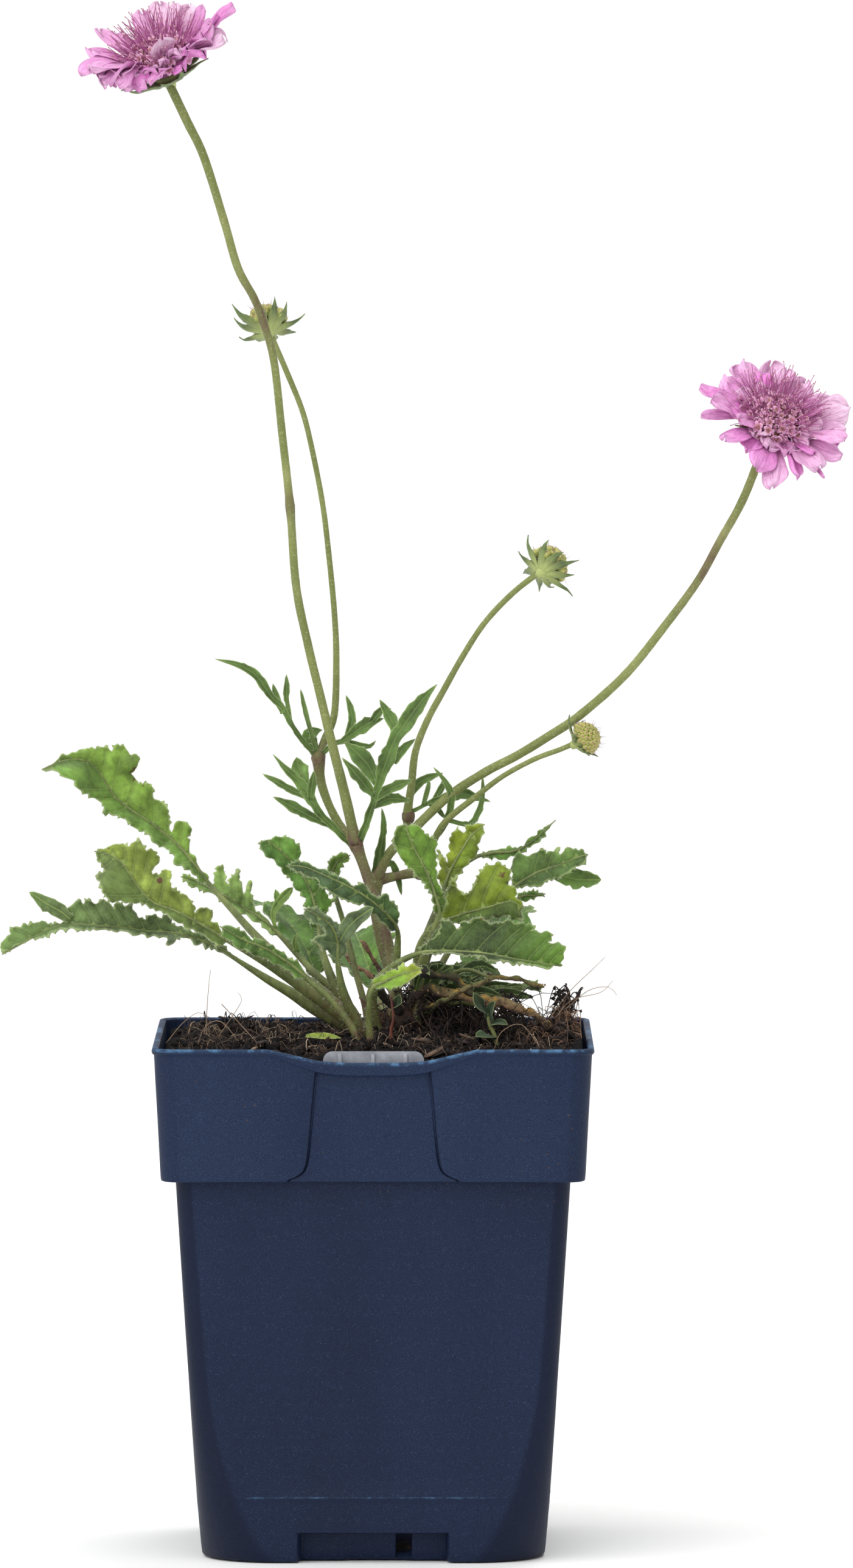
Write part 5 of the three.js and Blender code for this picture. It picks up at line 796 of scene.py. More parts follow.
# Rosette leaves
# Soft deeply lobed leaves on long stalks, each grown in one piece: a thin blade with a pale raised
# midrib, sunken side veins that run to the lobes, and short white hairs along every edge.
ROSETTE = {
    "leaf_upper_left": {
        "round": [1.7, 1.3, 0.5], "tilt": [0.35, -1.3],
        "stalk": [
            (-3, 1, 127), (-3.5, 1, 130.5), (-10.5, 2, 137), (-20.5, 4, 145), (-28.5, 6, 152),
            (-36, 8, 160)],
        "rib": [
            (-41.5, 10, 166), (-47, 11, 173), (-51.5, 12, 177.5), (-56.5, 12, 181.5), (-61, 12, 184.5),
            (-65, 12, 187.5), (-67.5, 12, 191), (-70.5, 11, 195.5), (-73.5, 9, 197.5), (-78, 7, 197.5),
            (-83.5, 4, 195.5)],
        "upper": [
            (-42.5, 168.5), (-46.5, 174), (-47, 177.5), (-45.5, 180), (-49, 182.5), (-51.5, 179),
            (-52, 185), (-54, 187.5), (-56, 187), (-56, 191.5), (-59.5, 191.5), (-61.5, 194),
            (-59.5, 196), (-59.5, 199), (-61.5, 198.5), (-63.5, 201), (-65.5, 201.5), (-66.5, 199.5),
            (-67.5, 201), (-72.5, 200), (-78, 199), (-81.5, 197)],
        "lower": [
            (-43, 166), (-47.5, 170.5), (-50, 171.5), (-51, 174), (-54, 176), (-58, 179.5),
            (-61.5, 181.5), (-64.5, 183), (-65, 184), (-69, 184), (-68, 186), (-71, 188), (-73, 189.5),
            (-75, 190.5), (-75.5, 192.5), (-79, 194.5), (-81, 195.5)],
    },
    "leaf_middle_left": {
        "round": [1.9, 1.6, 0.6], "tilt": [0.3, -0.8],
        "stalk": [
            (-1.5, -7, 127), (-2.5, -7, 130), (-11.5, -9, 137), (-20.5, -11, 143.5), (-28, -13, 148.5)],
        "rib": [
            (-36.5, -15, 153.5), (-43, -16, 157.5), (-49.5, -17, 161), (-55.5, -18, 163.5),
            (-59.5, -18, 168), (-63, -18, 173), (-66, -17, 175), (-70, -16, 176)],
        "upper": [
            (-37.5, 155.5), (-40.5, 158.5), (-40, 161), (-43, 162), (-45, 160.5), (-45.5, 164),
            (-48, 165), (-49.5, 167), (-50.5, 166), (-51, 170), (-52, 172), (-53, 170), (-55.5, 170.5),
            (-53.5, 173.5), (-54.5, 176), (-56, 177), (-57, 176), (-58, 178.5), (-59.5, 179),
            (-61, 177), (-62.5, 178), (-65.5, 177.5)],
        "lower": [
            (-38.5, 152), (-43, 155), (-46.5, 157), (-50.5, 159.5), (-54, 161.5), (-57.5, 163),
            (-61.5, 163.5), (-66, 164), (-67.5, 165.5), (-68.5, 168.5), (-69.5, 171), (-67, 171),
            (-69.5, 174)],
    },
    "leaf_low_left": {
        "round": [1.9, 1.6, 0.5], "tilt": [0.25, -3.0],
        "stalk": [
            (-2, -2.5, 125.5), (-3, -3, 128.5), (-8.5, -3.5, 132), (-14.5, -4, 135.5),
            (-20.5, -4.5, 139.5), (-26.5, -5, 143)],
        "rib": [
            (-33.5, -6, 147.5), (-39, -7, 151), (-45, -8, 153.5), (-51, -9, 155), (-57, -10, 155.5),
            (-63, -11, 156.5), (-69.5, -12, 157), (-75.5, -12, 157.5), (-80.5, -11, 156.5),
            (-84.5, -10, 154.5), (-89, -9, 152), (-93.5, -8, 149.5)],
        "upper": [
            (-38, 152), (-42.5, 154.5), (-49, 156.5), (-51, 157.5), (-50, 159), (-51.5, 160.5),
            (-53, 159), (-56, 159.5), (-57.5, 158.5), (-59, 159), (-60.5, 161.5), (-61.5, 163),
            (-62.5, 161), (-63, 163), (-65, 163), (-65, 161), (-66.5, 163), (-68.5, 164), (-70, 162.5),
            (-71, 164), (-72.5, 163.5), (-73, 162.5), (-74, 163.5), (-76, 162), (-78, 160), (-77, 158),
            (-80.5, 157.5), (-86, 158), (-87, 157), (-91.5, 156.5), (-91, 155), (-92.5, 153.5),
            (-93.5, 151.5)],
        "lower": [
            (-39.5, 150.5), (-45, 153), (-48.5, 154), (-51.5, 152.5), (-52, 154), (-63, 155.5),
            (-75.5, 156.5), (-80.5, 155.5), (-83, 154), (-87, 153.5), (-88.5, 152.5), (-91, 151)],
        "lobes": [
            {"half": [1.2, 1.9, 1.2], "rib": [
                (-76, -12, 158.5), (-78.5, -12, 160.5), (-82, -12, 162.5), (-86.5, -12, 165.5)]},
        ],
    },
    "leaf_pinnate_left": {
        "round": [1.3, 1.0, 0.5], "tilt": [0.3, -0.8],
        "stalk": [
            (-4, 9.5, 126), (-4, 9.5, 131.5), (-8.5, 11, 138), (-14, 12, 142.5), (-18.5, 14, 147)],
        "rib": [
            (-24, 15, 153), (-28.5, 16, 157), (-33, 17, 159.5), (-37.5, 17, 162.5), (-41.5, 18, 164.5),
            (-45.5, 18, 166.5), (-49, 18, 167.5)],
        "upper": [
            (-29.5, 158.5), (-31, 161.5), (-31, 166), (-32.5, 166), (-33, 163), (-34, 165.5),
            (-34, 169.5), (-36.5, 167.5), (-36.5, 164.5), (-38, 167.5), (-38, 170), (-39.5, 170.5),
            (-40.5, 168), (-40, 165.5), (-43.5, 166), (-47, 168)],
        "lower": [
            (-26, 153), (-29, 156), (-33.5, 158.5), (-38, 161), (-40.5, 163), (-42.5, 163.5),
            (-45.5, 165), (-48, 166.5)],
        "lobes": [
            {"half": [0.4, 0.9, 1.4], "rib": [
                (-25, 15, 154.5), (-25.5, 15, 157.5), (-24.5, 15, 160.5), (-20.5, 14, 165)]},
            {"half": [0.5, 0.8, 0.6], "rib": [
                (-24.5, 15, 160.5), (-24.5, 15, 162.5), (-25, 15, 164.5)]},
            {"half": [0.5, 0.7, 0.5], "rib": [(-19.5, 14, 148.5), (-20, 13, 151), (-19.5, 13, 153.5)]},
        ],
    },
    "leaf_spoon_left": {
        "round": [1.6, 1.3, 0.6], "tilt": [0.5, -0.5],
        "stalk": [(-4.5, 5, 126), (-4.5, 5, 131.5), (-8, 5.5, 137), (-11, 6, 143.5), (-13, 7, 149.5)],
        "rib": [
            (-14, 8, 155), (-15, 8, 161), (-16.5, 9, 165.5), (-19.5, 9, 170.5), (-23, 8, 174),
            (-27, 7, 177.5)],
        "upper": [
            (-12, 156), (-12, 159.5), (-10.5, 161.5), (-9.5, 163), (-12, 162), (-12.5, 168),
            (-15, 169.5), (-17, 168), (-19, 172), (-19, 176), (-20.5, 177.5), (-23.5, 178.5)],
        "lower": [
            (-16, 155.5), (-15.5, 159), (-17.5, 160.5), (-17, 162.5), (-19.5, 165), (-21.5, 168),
            (-23, 169), (-23, 170.5), (-25, 172), (-28, 174), (-29, 176), (-28.5, 177.5)],
    },
    "leaf_dark_arching": {
        "round": [1.5, 1.2, 0.5], "tilt": [0.25, -0.9],
        "stalk": [(5, -7, 133), (5.5, -7.5, 139.5), (5.5, -8, 145.5), (6, -9.5, 151)],
        "rib": [
            (6, -13, 156), (4, -17, 159.5), (0.5, -20, 163), (-3.5, -22, 166), (-8, -23, 168.5),
            (-12.5, -23, 170.5), (-17.5, -22, 172.5), (-22, -20, 172.5)],
        "upper": [
            (6.5, 159), (5.5, 163), (4, 164), (2.5, 166), (1, 164), (-1.5, 167), (-3.5, 169),
            (-4.5, 167.5), (-7.5, 170), (-12.5, 171.5), (-15.5, 173.5), (-19.5, 174)],
        "lower": [
            (4.5, 156), (1.5, 159), (-2, 163), (-7.5, 164.5), (-11, 166), (-14.5, 169.5), (-18.5, 171)],
    },
    "leaf_grey_forked": {
        "round": [1.5, 1.3, 0.5], "tilt": [0.3, -0.3],
        "stalk": [(-2.5, -12, 127), (-3.5, -12.5, 131), (-6, -14, 136.5), (-8, -16, 142.5)],
        "rib": [
            (-9, -18, 149), (-9, -19, 153.5), (-10.5, -21, 157.5), (-13.5, -22, 160), (-17.5, -22, 162)],
        "upper": [(-7, 150), (-7, 154), (-8, 157.5), (-10, 159), (-12.5, 161.5), (-15.5, 162.5)],
        "lower": [
            (-10.5, 150), (-12.5, 152), (-16, 153.5), (-14.5, 154.5), (-11.5, 155), (-12.5, 157),
            (-15, 158.5), (-17.5, 160.5)],
        "lobes": [
            {"half": [1.4, 2.1, 1.5], "rib": [
                (-8.5, -19, 153.5), (-6.5, -21.5, 157), (-3.5, -24, 160), (0, -25.5, 162.5)]},
        ],
    },
    "leaf_fuzzy_left": {
        "round": [1.1, 0.9, 0.5], "tilt": [0.6, -0.6],
        "stalk": [(-3, -17.5, 126.5), (-5.5, -17.5, 132), (-10.5, -17.5, 138.5)],
        "rib": [
            (-16.5, -17.5, 144), (-20.5, -18, 147.5), (-25, -19, 150.5), (-28.5, -20, 152.5),
            (-32.5, -20.5, 154), (-38.5, -21, 157.5)],
        "upper": [
            (-17, 146), (-19, 148.5), (-21.5, 149.5), (-22.5, 151), (-24, 151), (-25, 153),
            (-27, 152.5), (-28.5, 154.5), (-30.5, 154), (-32.5, 156), (-34.5, 157.5), (-36, 158)],
        "lower": [
            (-18, 144), (-20.5, 145.5), (-23, 147), (-26.5, 149), (-30, 150.5), (-33, 152), (-36, 154),
            (-37.5, 155.5)],
    },
    "leaf_young_left": {
        "round": [0.9, 0.8, 0.5], "tilt": [0.3, -0.5],
        "stalk": [(-1.5, 15, 125), (-2, 16, 133.5), (-4.5, 18, 143), (-7.5, 19.5, 155)],
        "rib": [(-10.5, 19, 165), (-10.5, 18.5, 168.5), (-9.5, 18, 171), (-6, 17, 173)],
        "upper": [(-9, 166), (-9, 169), (-7.5, 171)],
        "lower": [(-11.5, 166), (-12, 169.5), (-11, 172), (-10, 173), (-8, 173.5)],
    },
    "leaf_low_right": {
        "round": [1.6, 1.4, 0.5], "tilt": [0.25, -2.2],
        "stalk": [
            (1.5, -9.5, 127.5), (0.5, -11.5, 132.5), (-0.5, -15, 139), (1.5, -18, 144),
            (6.5, -21, 148.5)],
        "rib": [
            (12, -23, 151), (17.5, -25, 151.5), (23.5, -27, 151.5), (29, -28, 151), (34.5, -29, 150),
            (40.5, -29, 149), (47, -29, 148)],
        "upper": [
            (11, 152.5), (14, 153.5), (16.5, 155.5), (17.5, 159.5), (19.5, 159), (21.5, 156.5),
            (22.5, 159), (24.5, 158.5), (25, 160), (27, 160), (29.5, 158.5), (31.5, 158.5),
            (34, 159.5), (36, 158), (38, 158.5), (41, 158), (39.5, 156.5), (45.5, 156), (43, 153.5),
            (46, 154), (48, 152.5), (47.5, 150)],
        "lower": [(12, 150.5), (17.5, 151), (23.5, 150.5), (29, 150), (34.5, 149), (40.5, 148)],
    },
    "leaf_broad_right": {
        "round": [1.6, 1.4, 0.5], "tilt": [0.3, -0.9],
        "stalk": [(10.5, -4, 132), (10.5, -5, 138.5), (11, -6.5, 146), (12, -9, 152.5)],
        "rib": [
            (15.5, -11, 157.5), (19.5, -13, 159), (23.5, -15, 160.5), (29, -16, 162),
            (34.5, -17, 163.5), (37.5, -17, 161.5)],
        "upper": [
            (16.5, 159.5), (18.5, 162), (19, 168), (21.5, 170.5), (20.5, 167), (22.5, 165),
            (24, 165.5), (25.5, 167.5), (26.5, 170.5), (28, 172.5), (29.5, 172.5), (31.5, 173),
            (34, 171), (34.5, 169), (33.5, 167), (35, 167), (35.5, 165)],
        "lower": [
            (17.5, 157), (21, 158), (25, 158.5), (30.5, 159.5), (34, 160), (37, 158.5), (38, 160),
            (36.5, 161)],
    },
    "leaf_far_right": {
        "round": [1.4, 1.2, 0.5], "tilt": [0.3, -1.2],
        "stalk": [(9.5, 7.5, 131.5), (10, 8, 139), (13, 9, 149.5), (21, 11, 158), (28.5, 12, 162.5)],
        "rib": [
            (35, 12, 165), (38, 12, 167), (41.5, 12, 169), (44.5, 12, 170), (47.5, 12, 171),
            (51, 12, 172.5), (54, 12, 173.5)],
        "upper": [
            (35, 168), (35.5, 173), (37, 174), (39, 173), (41, 173.5), (42.5, 175), (44, 175),
            (43.5, 173.5), (45.5, 174.5), (47, 175), (47, 173.5), (48.5, 175), (51.5, 175), (53, 174.5)],
        "lower": [(36.5, 165), (41, 166), (46, 167.5), (50, 169.5), (53.5, 171.5)],
        "lobes": [
            {"half": [1.0, 2.3, 1.9], "rib": [
                (44, 12, 169.5), (47.5, 13, 168), (51.5, 14, 167), (57.5, 13, 167)]},
        ],
    },
    "leaf_pale_right": {
        "round": [1.5, 1.3, 0.5], "tilt": [0.35, -0.5],
        "stalk": [(10.5, -9, 132), (11.5, -10, 138.5), (12, -11.5, 146), (14, -14.5, 153.5)],
        "rib": [
            (16.5, -17, 160), (15.5, -18, 165), (13.5, -19, 170.5), (11.5, -19, 174.5),
            (9.5, -19, 178.5), (8, -18, 182.5)],
        "upper": [
            (18, 161.5), (17.5, 165.5), (16, 169), (15.5, 171.5), (16, 175), (15.5, 178), (15, 180),
            (14, 179.5), (12, 182), (10.5, 183)],
        "lower": [
            (15.5, 160.5), (14.5, 165), (13, 168), (10.5, 170), (8, 173), (6, 175.5), (5, 178),
            (5, 180.5), (6, 182.5)],
    },
    "leaf_yellow_right": {
        "round": [1.4, 1.2, 0.5], "tilt": [0.35, -0.5],
        "stalk": [
            (11.5, 3, 131.5), (11.7, 3.1, 138.5), (13, 2.5, 147), (15.5, 1, 154), (16.8, -1, 160.5)],
        "rib": [
            (17.5, -2, 165), (19, -2.2, 169.5), (20.5, -2.4, 172.5), (22.5, -2.4, 176),
            (24.5, -2.2, 179), (28, -2, 182)],
        "upper": [
            (16, 168.4), (17, 171), (16, 173.5), (16.5, 176), (17.8, 173.2), (18.6, 172.4), (19, 175),
            (19.3, 178.5), (21, 181.5), (22.6, 179.8), (24, 181.5), (26, 182.5)],
        "lower": [(19.4, 166.5), (20.5, 168.5), (23, 171), (25, 174), (27, 178)],
    },
    "leaf_narrow_right": {
        "round": [1.1, 0.9, 0.5], "tilt": [0.5, -0.5],
        "stalk": [(9.5, 12.5, 131), (10, 13.5, 139.5), (13, 16, 152), (20, 18, 167.5)],
        "rib": [(25, 18, 172), (30, 18, 173.5), (35.5, 17, 174), (40, 16, 176.5), (46, 15, 182)],
        "upper": [(28.5, 174), (33, 175), (37.5, 175), (41, 178.5)],
        "lower": [(27.5, 172.5), (30.5, 172), (35, 172.5), (38, 174), (42.5, 177)],
    },
    "leaf_small_right": {
        "round": [1.0, 0.8, 0.5], "tilt": [0.5, -0.5],
        "stalk": [(13.5, 16.5, 127), (13.5, 17, 135), (19.5, 20, 149), (30.5, 21, 158)],
        "rib": [(36, 21, 161.5), (38.5, 21, 162.5), (41, 20, 162.5), (43.5, 20, 163)],
        "upper": [(36.5, 162.5), (38.5, 163.5), (40.5, 164), (41.5, 163.5)],
        "lower": [(37, 161), (39.5, 161.5), (42, 162)],
    },
    "leaf_low_yellow": {
        "round": [1.0, 0.8, 0.5], "tilt": [0.3, -1.0],
        "stalk": [(-0.5, -21, 127), (-1, -22, 132), (-1, -24, 137.5)],
        "rib": [(0, -26, 142.5), (3, -27, 144), (6, -28, 145.5), (9, -29, 146.5), (12.5, -29, 147.5)],
        "upper": [
            (0, 144.5), (2, 146), (3, 145.5), (4.5, 147.5), (6, 147), (7, 148.5), (8.5, 148),
            (10.5, 148.5)],
        "lower": [(1.5, 142), (3.5, 143), (4, 142), (6, 143), (7, 142.5), (8.5, 144.5), (10.5, 145)],
    },
}
# turn about the crown, foot, length, half width, rise in degrees and roll in degrees
BACK_LEAVES = {
    "leaf_back_right": (62, (15.5, 12, 127), 58, 8, 22, 10),
    "leaf_back": (98, (4, 19.5, 127), 60, 9, 12, -12),
    "leaf_back_left": (128, (-6, 14, 127), 56, 8, 26, 8),
    "leaf_back_low": (52, (19, 5, 127), 40, 6, 5, -6),
}
BACK_LEAF_LOBES = 4
FRONT = Vector((0, -1, 0.25))
BLADE = 0.34
GRID_PITCH = 0.95
TOOTH_EVERY, TOOTH_RISE = 4.2, 0.95
leaf_random = random.Random(31)


def plain_leaf(length, width):
    """A leaf of the back, laid out flat: lobed on both sides, widest past its middle."""
    rib, upper, lower = [], [], []
    for i in range(7):
        t = i / 6
        rib.append([length * (0.35 + 0.65 * t), length * (0.42 * t - 0.36 * t * t + 0.1), 0])
    for i in range(BACK_LEAF_LOBES * 2):
        t = (i + 0.7) / (BACK_LEAF_LOBES * 2)
        out = width * math.sin(math.pi * t ** 0.75) * (0.5 if i % 2 else 1) + 0.8
        x = length * (0.35 + 0.62 * t) + (0 if i % 2 else 0.12 * width)
        upper.append([x, out])
        lower.append([x - 0.5, -out])
    return {"rib": rib, "upper": upper, "lower": lower, "tilt": [0.25, 0.25], "round": [1.5, 1.2, 0.5],
            "stalk": [[0, 0, 0], [0.4, 2.5, 0], [length * 0.14, length * 0.1, 0]]}


def cross2(a, b):
    return a[0] * b[1] - a[1] * b[0]


def lobed_outline(corners):
    """Rounds the lobes and keeps the notches between them sharp; also gives the tips of the lobes."""
    area = sum(cross2(a, b) for a, b in zip(corners, corners[1:] + corners[:1]))
    line, tips = [], []
    for i, corner in enumerate(corners):
        before, after = corners[i - 1], corners[(i + 1) % len(corners)]
        to_before, to_after = before - corner, after - corner
        lobe = cross2(corner - before, after - corner) * area > 0
        cut = 0.34 if lobe else 0.1
        start, end = corner + to_before * cut, corner + to_after * cut
        count = max(2, round((end - start).length / 0.7) + 1)
        for k in range(count + 1):
            t = k / count
            line.append(start * (1 - t) ** 2 + corner * 2 * t * (1 - t) + end * t * t)
        if lobe and i:
            tips.append(corner * 0.6 + (start + end) * 0.2)
    spaced = [line[0]]
    for point in line[1:] + line[:1]:
        gap = point - spaced[-1]
        if gap.length < 0.25:
            continue
        count = math.ceil(gap.length / 0.8)
        last = spaced[-1]
        spaced.extend(last + gap * (k / count) for k in range(1, count + 1))
    if (spaced[-1] - spaced[0]).length < 0.3:
        spaced.pop()
    # small teeth that point to the tip of the leaf
    worn, gone = [], 0.0
    for i, point in enumerate(spaced):
        way = spaced[(i + 1) % len(spaced)] - spaced[i - 1]
        gone += way.length / 2
        out = Vector((way.y, -way.x)).normalized() * (1 if area > 0 else -1)
        uneven = 2.4 * noise.noise(Vector((point.x * 0.25, point.y * 0.25, 3)))
        tooth = (gone / TOOTH_EVERY + uneven) % 1.0
        tooth = tooth if i * 2 < len(spaced) else 1 - tooth
        rise = tooth / 0.75 if tooth < 0.75 else (1 - tooth) / 0.25
        near_tip = min(1.0, min(i, len(spaced) - i) / 5)
        bite = 0.3 * noise.noise(Vector((point.x * 0.5, point.y * 0.5, 5)))
        worn.append(point + out * near_tip * (TOOTH_RISE * rise ** 1.6 - 0.3 + bite))
    return worn, tips


def distances(places, run):
    """Distance of each place to a broken line, and how far along the line its nearest point lies."""
    starts, ways = run[:-1], run[1:] - run[:-1]
    gap = places[:, None, :] - starts[None]
    share = np.clip((gap * ways).sum(2) / (ways ** 2).sum(1), 0, 1)
    away = np.hypot(*np.moveaxis(gap - share[..., None] * ways, 2, 0))
    nearest = away.argmin(1)
    rows = np.arange(len(places))
    side = np.sign(ways[nearest, 0] * gap[rows, nearest, 1] - ways[nearest, 1] * gap[rows, nearest, 0])
    return away[rows, nearest], nearest + share[rows, nearest], side


def hair(shape, root, way, length, thick=0.045, kind=1):
    way = way.normalized()
    beside = way.orthogonal().normalized() * thick
    other = way.cross(beside)
    points = [root + beside, root - beside * 0.5 + other * 0.87, root - beside * 0.5 - other * 0.87,
              root + way * length]
    shape.add(points, [[0, 2, 1], [0, 1, 3], [1, 2, 3], [2, 0, 3]], kind, vein=9.0, edge=9.0)


def sideways(tangent):
    """A random way that stands square off a stalk."""
    way = tangent.orthogonal().normalized()
    way.rotate(Matrix.Rotation(leaf_random.uniform(0, 2 * math.pi), 3, tangent))
    return way


def side_veins(tips, rib_line, lengths):
    """Curved side veins that leave the midrib and end near the tips of the lobes."""
    veins, taken = [], []
    if not tips:
        return veins
    away, place, sides = distances(np.array(tips), rib_line)
    for tip, far, spot, which in zip(tips, away, place, sides):
        reached = np.interp(spot, range(len(lengths)), lengths) - 0.75 * far
        if far < 1.7 or any(which == other and abs(reached - held) < 2.6 for other, held in taken):
            continue
        taken.append((which, reached))
        root = np.interp(max(0.6, reached), lengths, range(len(lengths)))
        k = int(min(root, len(rib_line) - 2))
        foot = Vector(rib_line[k] + (rib_line[k + 1] - rib_line[k]) * (root - k))
        forward = Vector(rib_line[k + 1] - rib_line[k]).normalized()
        bend = foot + (tip - foot) * 0.5 + forward * far * -0.08
        end = foot + (tip - foot) * max(0.5, 1 - 0.9 / far)
        count = max(3, round(far / 0.8))
        veins.append([foot * (1 - t) ** 2 + bend * 2 * t * (1 - t) + end * t * t
                      for t in (j / count for j in range(1, count + 1))])
    return veins


def inner_points(outline, edge_line, rib_line, veins):
    """An even grid over the outline's box, kept clear of its edge, midrib and side veins."""
    low, high = np.array(outline).min(0), np.array(outline).max(0)
    grid = np.array([(low[0] + (column + 0.5 * (row % 2)) * GRID_PITCH, low[1] + row * GRID_PITCH * 0.87)
                     for row in range(int((high[1] - low[1]) / (GRID_PITCH * 0.87)) + 1)
                     for column in range(int((high[0] - low[0]) / GRID_PITCH) + 1)])
    clear = (distances(grid, edge_line)[0] > 0.5) & (distances(grid, rib_line)[0] > 0.45)
    for line in veins:
        if len(line) > 1:
            clear &= distances(grid, np.array(line))[0] > 0.45
    return [Vector(p) for p in grid[clear]]


def normals_and_rim(base, faces):
    """The normal at each point of an open sheet, and the edges that only one face has."""
    normals, seen = [Vector() for _ in base], {}
    for face in faces:
        a, b, c = (base[index] for index in face[:3])
        normal = (b - a).cross(c - a)
        for index in face:
            normals[index] += normal
        for edge in zip(face, face[1:] + face[:1]):
            seen[edge] = True
    return normals, [(a, b) for a, b in seen if (b, a) not in seen]


def leaf_blade(shape, leaf, spots=(), curl=1.0):
    """The blade of one leaf: triangles over the outline, creased at the veins and given thickness."""
    flat_rib = [Vector((x, z)) for x, _, z in leaf["rib"]]
    upper = [Vector(point) for point in leaf["upper"]]
    lower = [Vector(point) for point in leaf["lower"]]
    outline, tips = lobed_outline([flat_rib[0], *upper, flat_rib[-1], *reversed(lower)])
    run = smooth_run(leaf["rib"], 0.9)
    rib_line = np.array([(p.x, p.z) for p in run])
    rib_depth = np.array([p.y for p in run])
    lengths = np.concatenate([[0], np.cumsum(np.hypot(*np.diff(rib_line, axis=0).T))])
    edge_line = np.array(outline + outline[:1])
    veins = side_veins(tips, rib_line, lengths)
    flat, edges = list(outline), [(i, (i + 1) % len(outline)) for i in range(len(outline))]
    for line in [[Vector(p) for p in rib_line[1:-1]]] + veins:
        start = len(flat)
        flat.extend(line)
        edges.extend((start + i, start + i + 1) for i in range(len(line) - 1))
    flat.extend(inner_points(outline, edge_line, rib_line, veins))
    made, _, triangles, _, _, _ = delaunay_2d_cdt(flat, edges, [], 1, 1e-4)
    used = sorted({index for face in triangles for index in face})
    number = {old: new for new, old in enumerate(used)}
    faces = [[number[index] for index in face] for face in triangles]
    places = np.array([made[index] for index in used])
    off_rib, reached, side = distances(places, rib_line)
    upper_side = np.sign(np.median(distances(np.array(upper), rib_line)[2]))
    half = np.where(side == upper_side, 1.0, -1.0)
    tilt = np.where(half > 0, leaf["tilt"][0], leaf["tilt"][1])
    off_edge = distances(places, edge_line)[0]
    off_vein = off_rib.copy()
    for line in veins:
        if len(line) > 1:
            off_vein = np.minimum(off_vein, distances(places, np.array(line))[0] + 0.1)
    gap = ((places[:, None, :] - rib_line[None]) ** 2).sum(2)
    weight = 1 / (gap + 0.4) ** 2
    depth = (weight * rib_depth).sum(1) / weight.sum(1)
    base = []
    for (x, z), y, away, slope, vein, rim in zip(places, depth, off_rib, tilt, off_vein, off_edge):
        wave = noise.noise(Vector((x * 0.13, z * 0.13, 2))) * 3.0 * curl * min(1, away / 5)
        ruffle = noise.noise(Vector((x * 0.36, z * 0.36, 8))) * 1.7 * curl
        ruffle *= max(0, 1 - rim / 3) * min(1, away / 2)
        groove = 0.32 * math.exp(-(vein / 0.55) ** 2)
        base.append(Vector((x, y + slope * away + wave + ruffle + groove, z)))
    normals, rims = normals_and_rim(base, faces)
    total = len(base)
    top = [point + normal.normalized() * BLADE / 2 for point, normal in zip(base, normals)]
    under = [point - normal.normalized() * BLADE / 2 for point, normal in zip(base, normals)]
    both = faces + [[total + index for index in reversed(face)] for face in faces]
    both += [[b, a, total + a, total + b] for a, b in rims]
    spot_mark = np.zeros(total)
    for x, z, size in spots:
        spot_mark = np.maximum(spot_mark, 1 - np.hypot(places[:, 0] - x, places[:, 1] - z) / size)
    reach = max(reached.max(), 1)
    shape.add(top + under, both, 0, vein=list(off_vein) * 2, edge=list(off_edge) * 2,
              half=list(0.5 + 0.5 * half * np.clip(off_rib / 1.2, 0, 1)) * 2,
              along=list(reached / reach) * 2, spot=list(spot_mark) * 2)
    for a, b in rims:
        out = (base[b] - base[a]).cross(normals[a]).normalized()
        for extra in range(3):
            if leaf_random.random() < 0.7:
                root = base[a].lerp(base[b], leaf_random.random())
                way = out + scatter(leaf_random, 0.7)
                hair(shape, root, way, leaf_random.uniform(0.35, 0.95))


def leaf_stalk(shape, leaf):
    """The stalk of a leaf, running on as its midrib, with fine hairs that stand off it."""
    stalk, rib = leaf["stalk"], leaf["rib"]
    run = smooth_run(stalk + rib, 1.1)
    lengths = [0.0]
    for a, b in zip(run, run[1:]):
        lengths.append(lengths[-1] + (b - a).length)
    bare = 0.0
    for a, b in zip(stalk, stalk[1:] + rib[:1]):
        bare += (Vector(b) - Vector(a)).length
    share = bare / lengths[-1]
    thick = leaf["round"][:2] + [0.6]

    def radius(t, angle):
        if t < share:
            size = along(thick, t / share)
        else:
            size = 0.6 - 0.46 * ((t - share) / (1 - share)) ** 0.6
        return size * (1 + 0.06 * math.cos(3 * angle))
    points, faces = tube(run, radius, 9)
    flecks = [max(0.0, 1 - (i / len(run)) / max(share, 0.01)) for i in range(len(run)) for _ in range(9)]
    shape.add(points, faces, 2, shade=flecks)
    for i, point in enumerate(run[2:-1]):
        tangent = (run[i + 3] - run[i + 1]).normalized()
        t = (i + 2) / (len(run) - 1)
        for extra in range(4 if t < share else 2):
            way = sideways(tangent)
            root = point + way * radius(t, 0) * 0.9 + tangent * leaf_random.uniform(-0.5, 0.5)
            way += tangent * leaf_random.uniform(-0.3, 0.5)
            hair(shape, root, way, leaf_random.uniform(0.5, 1.25))


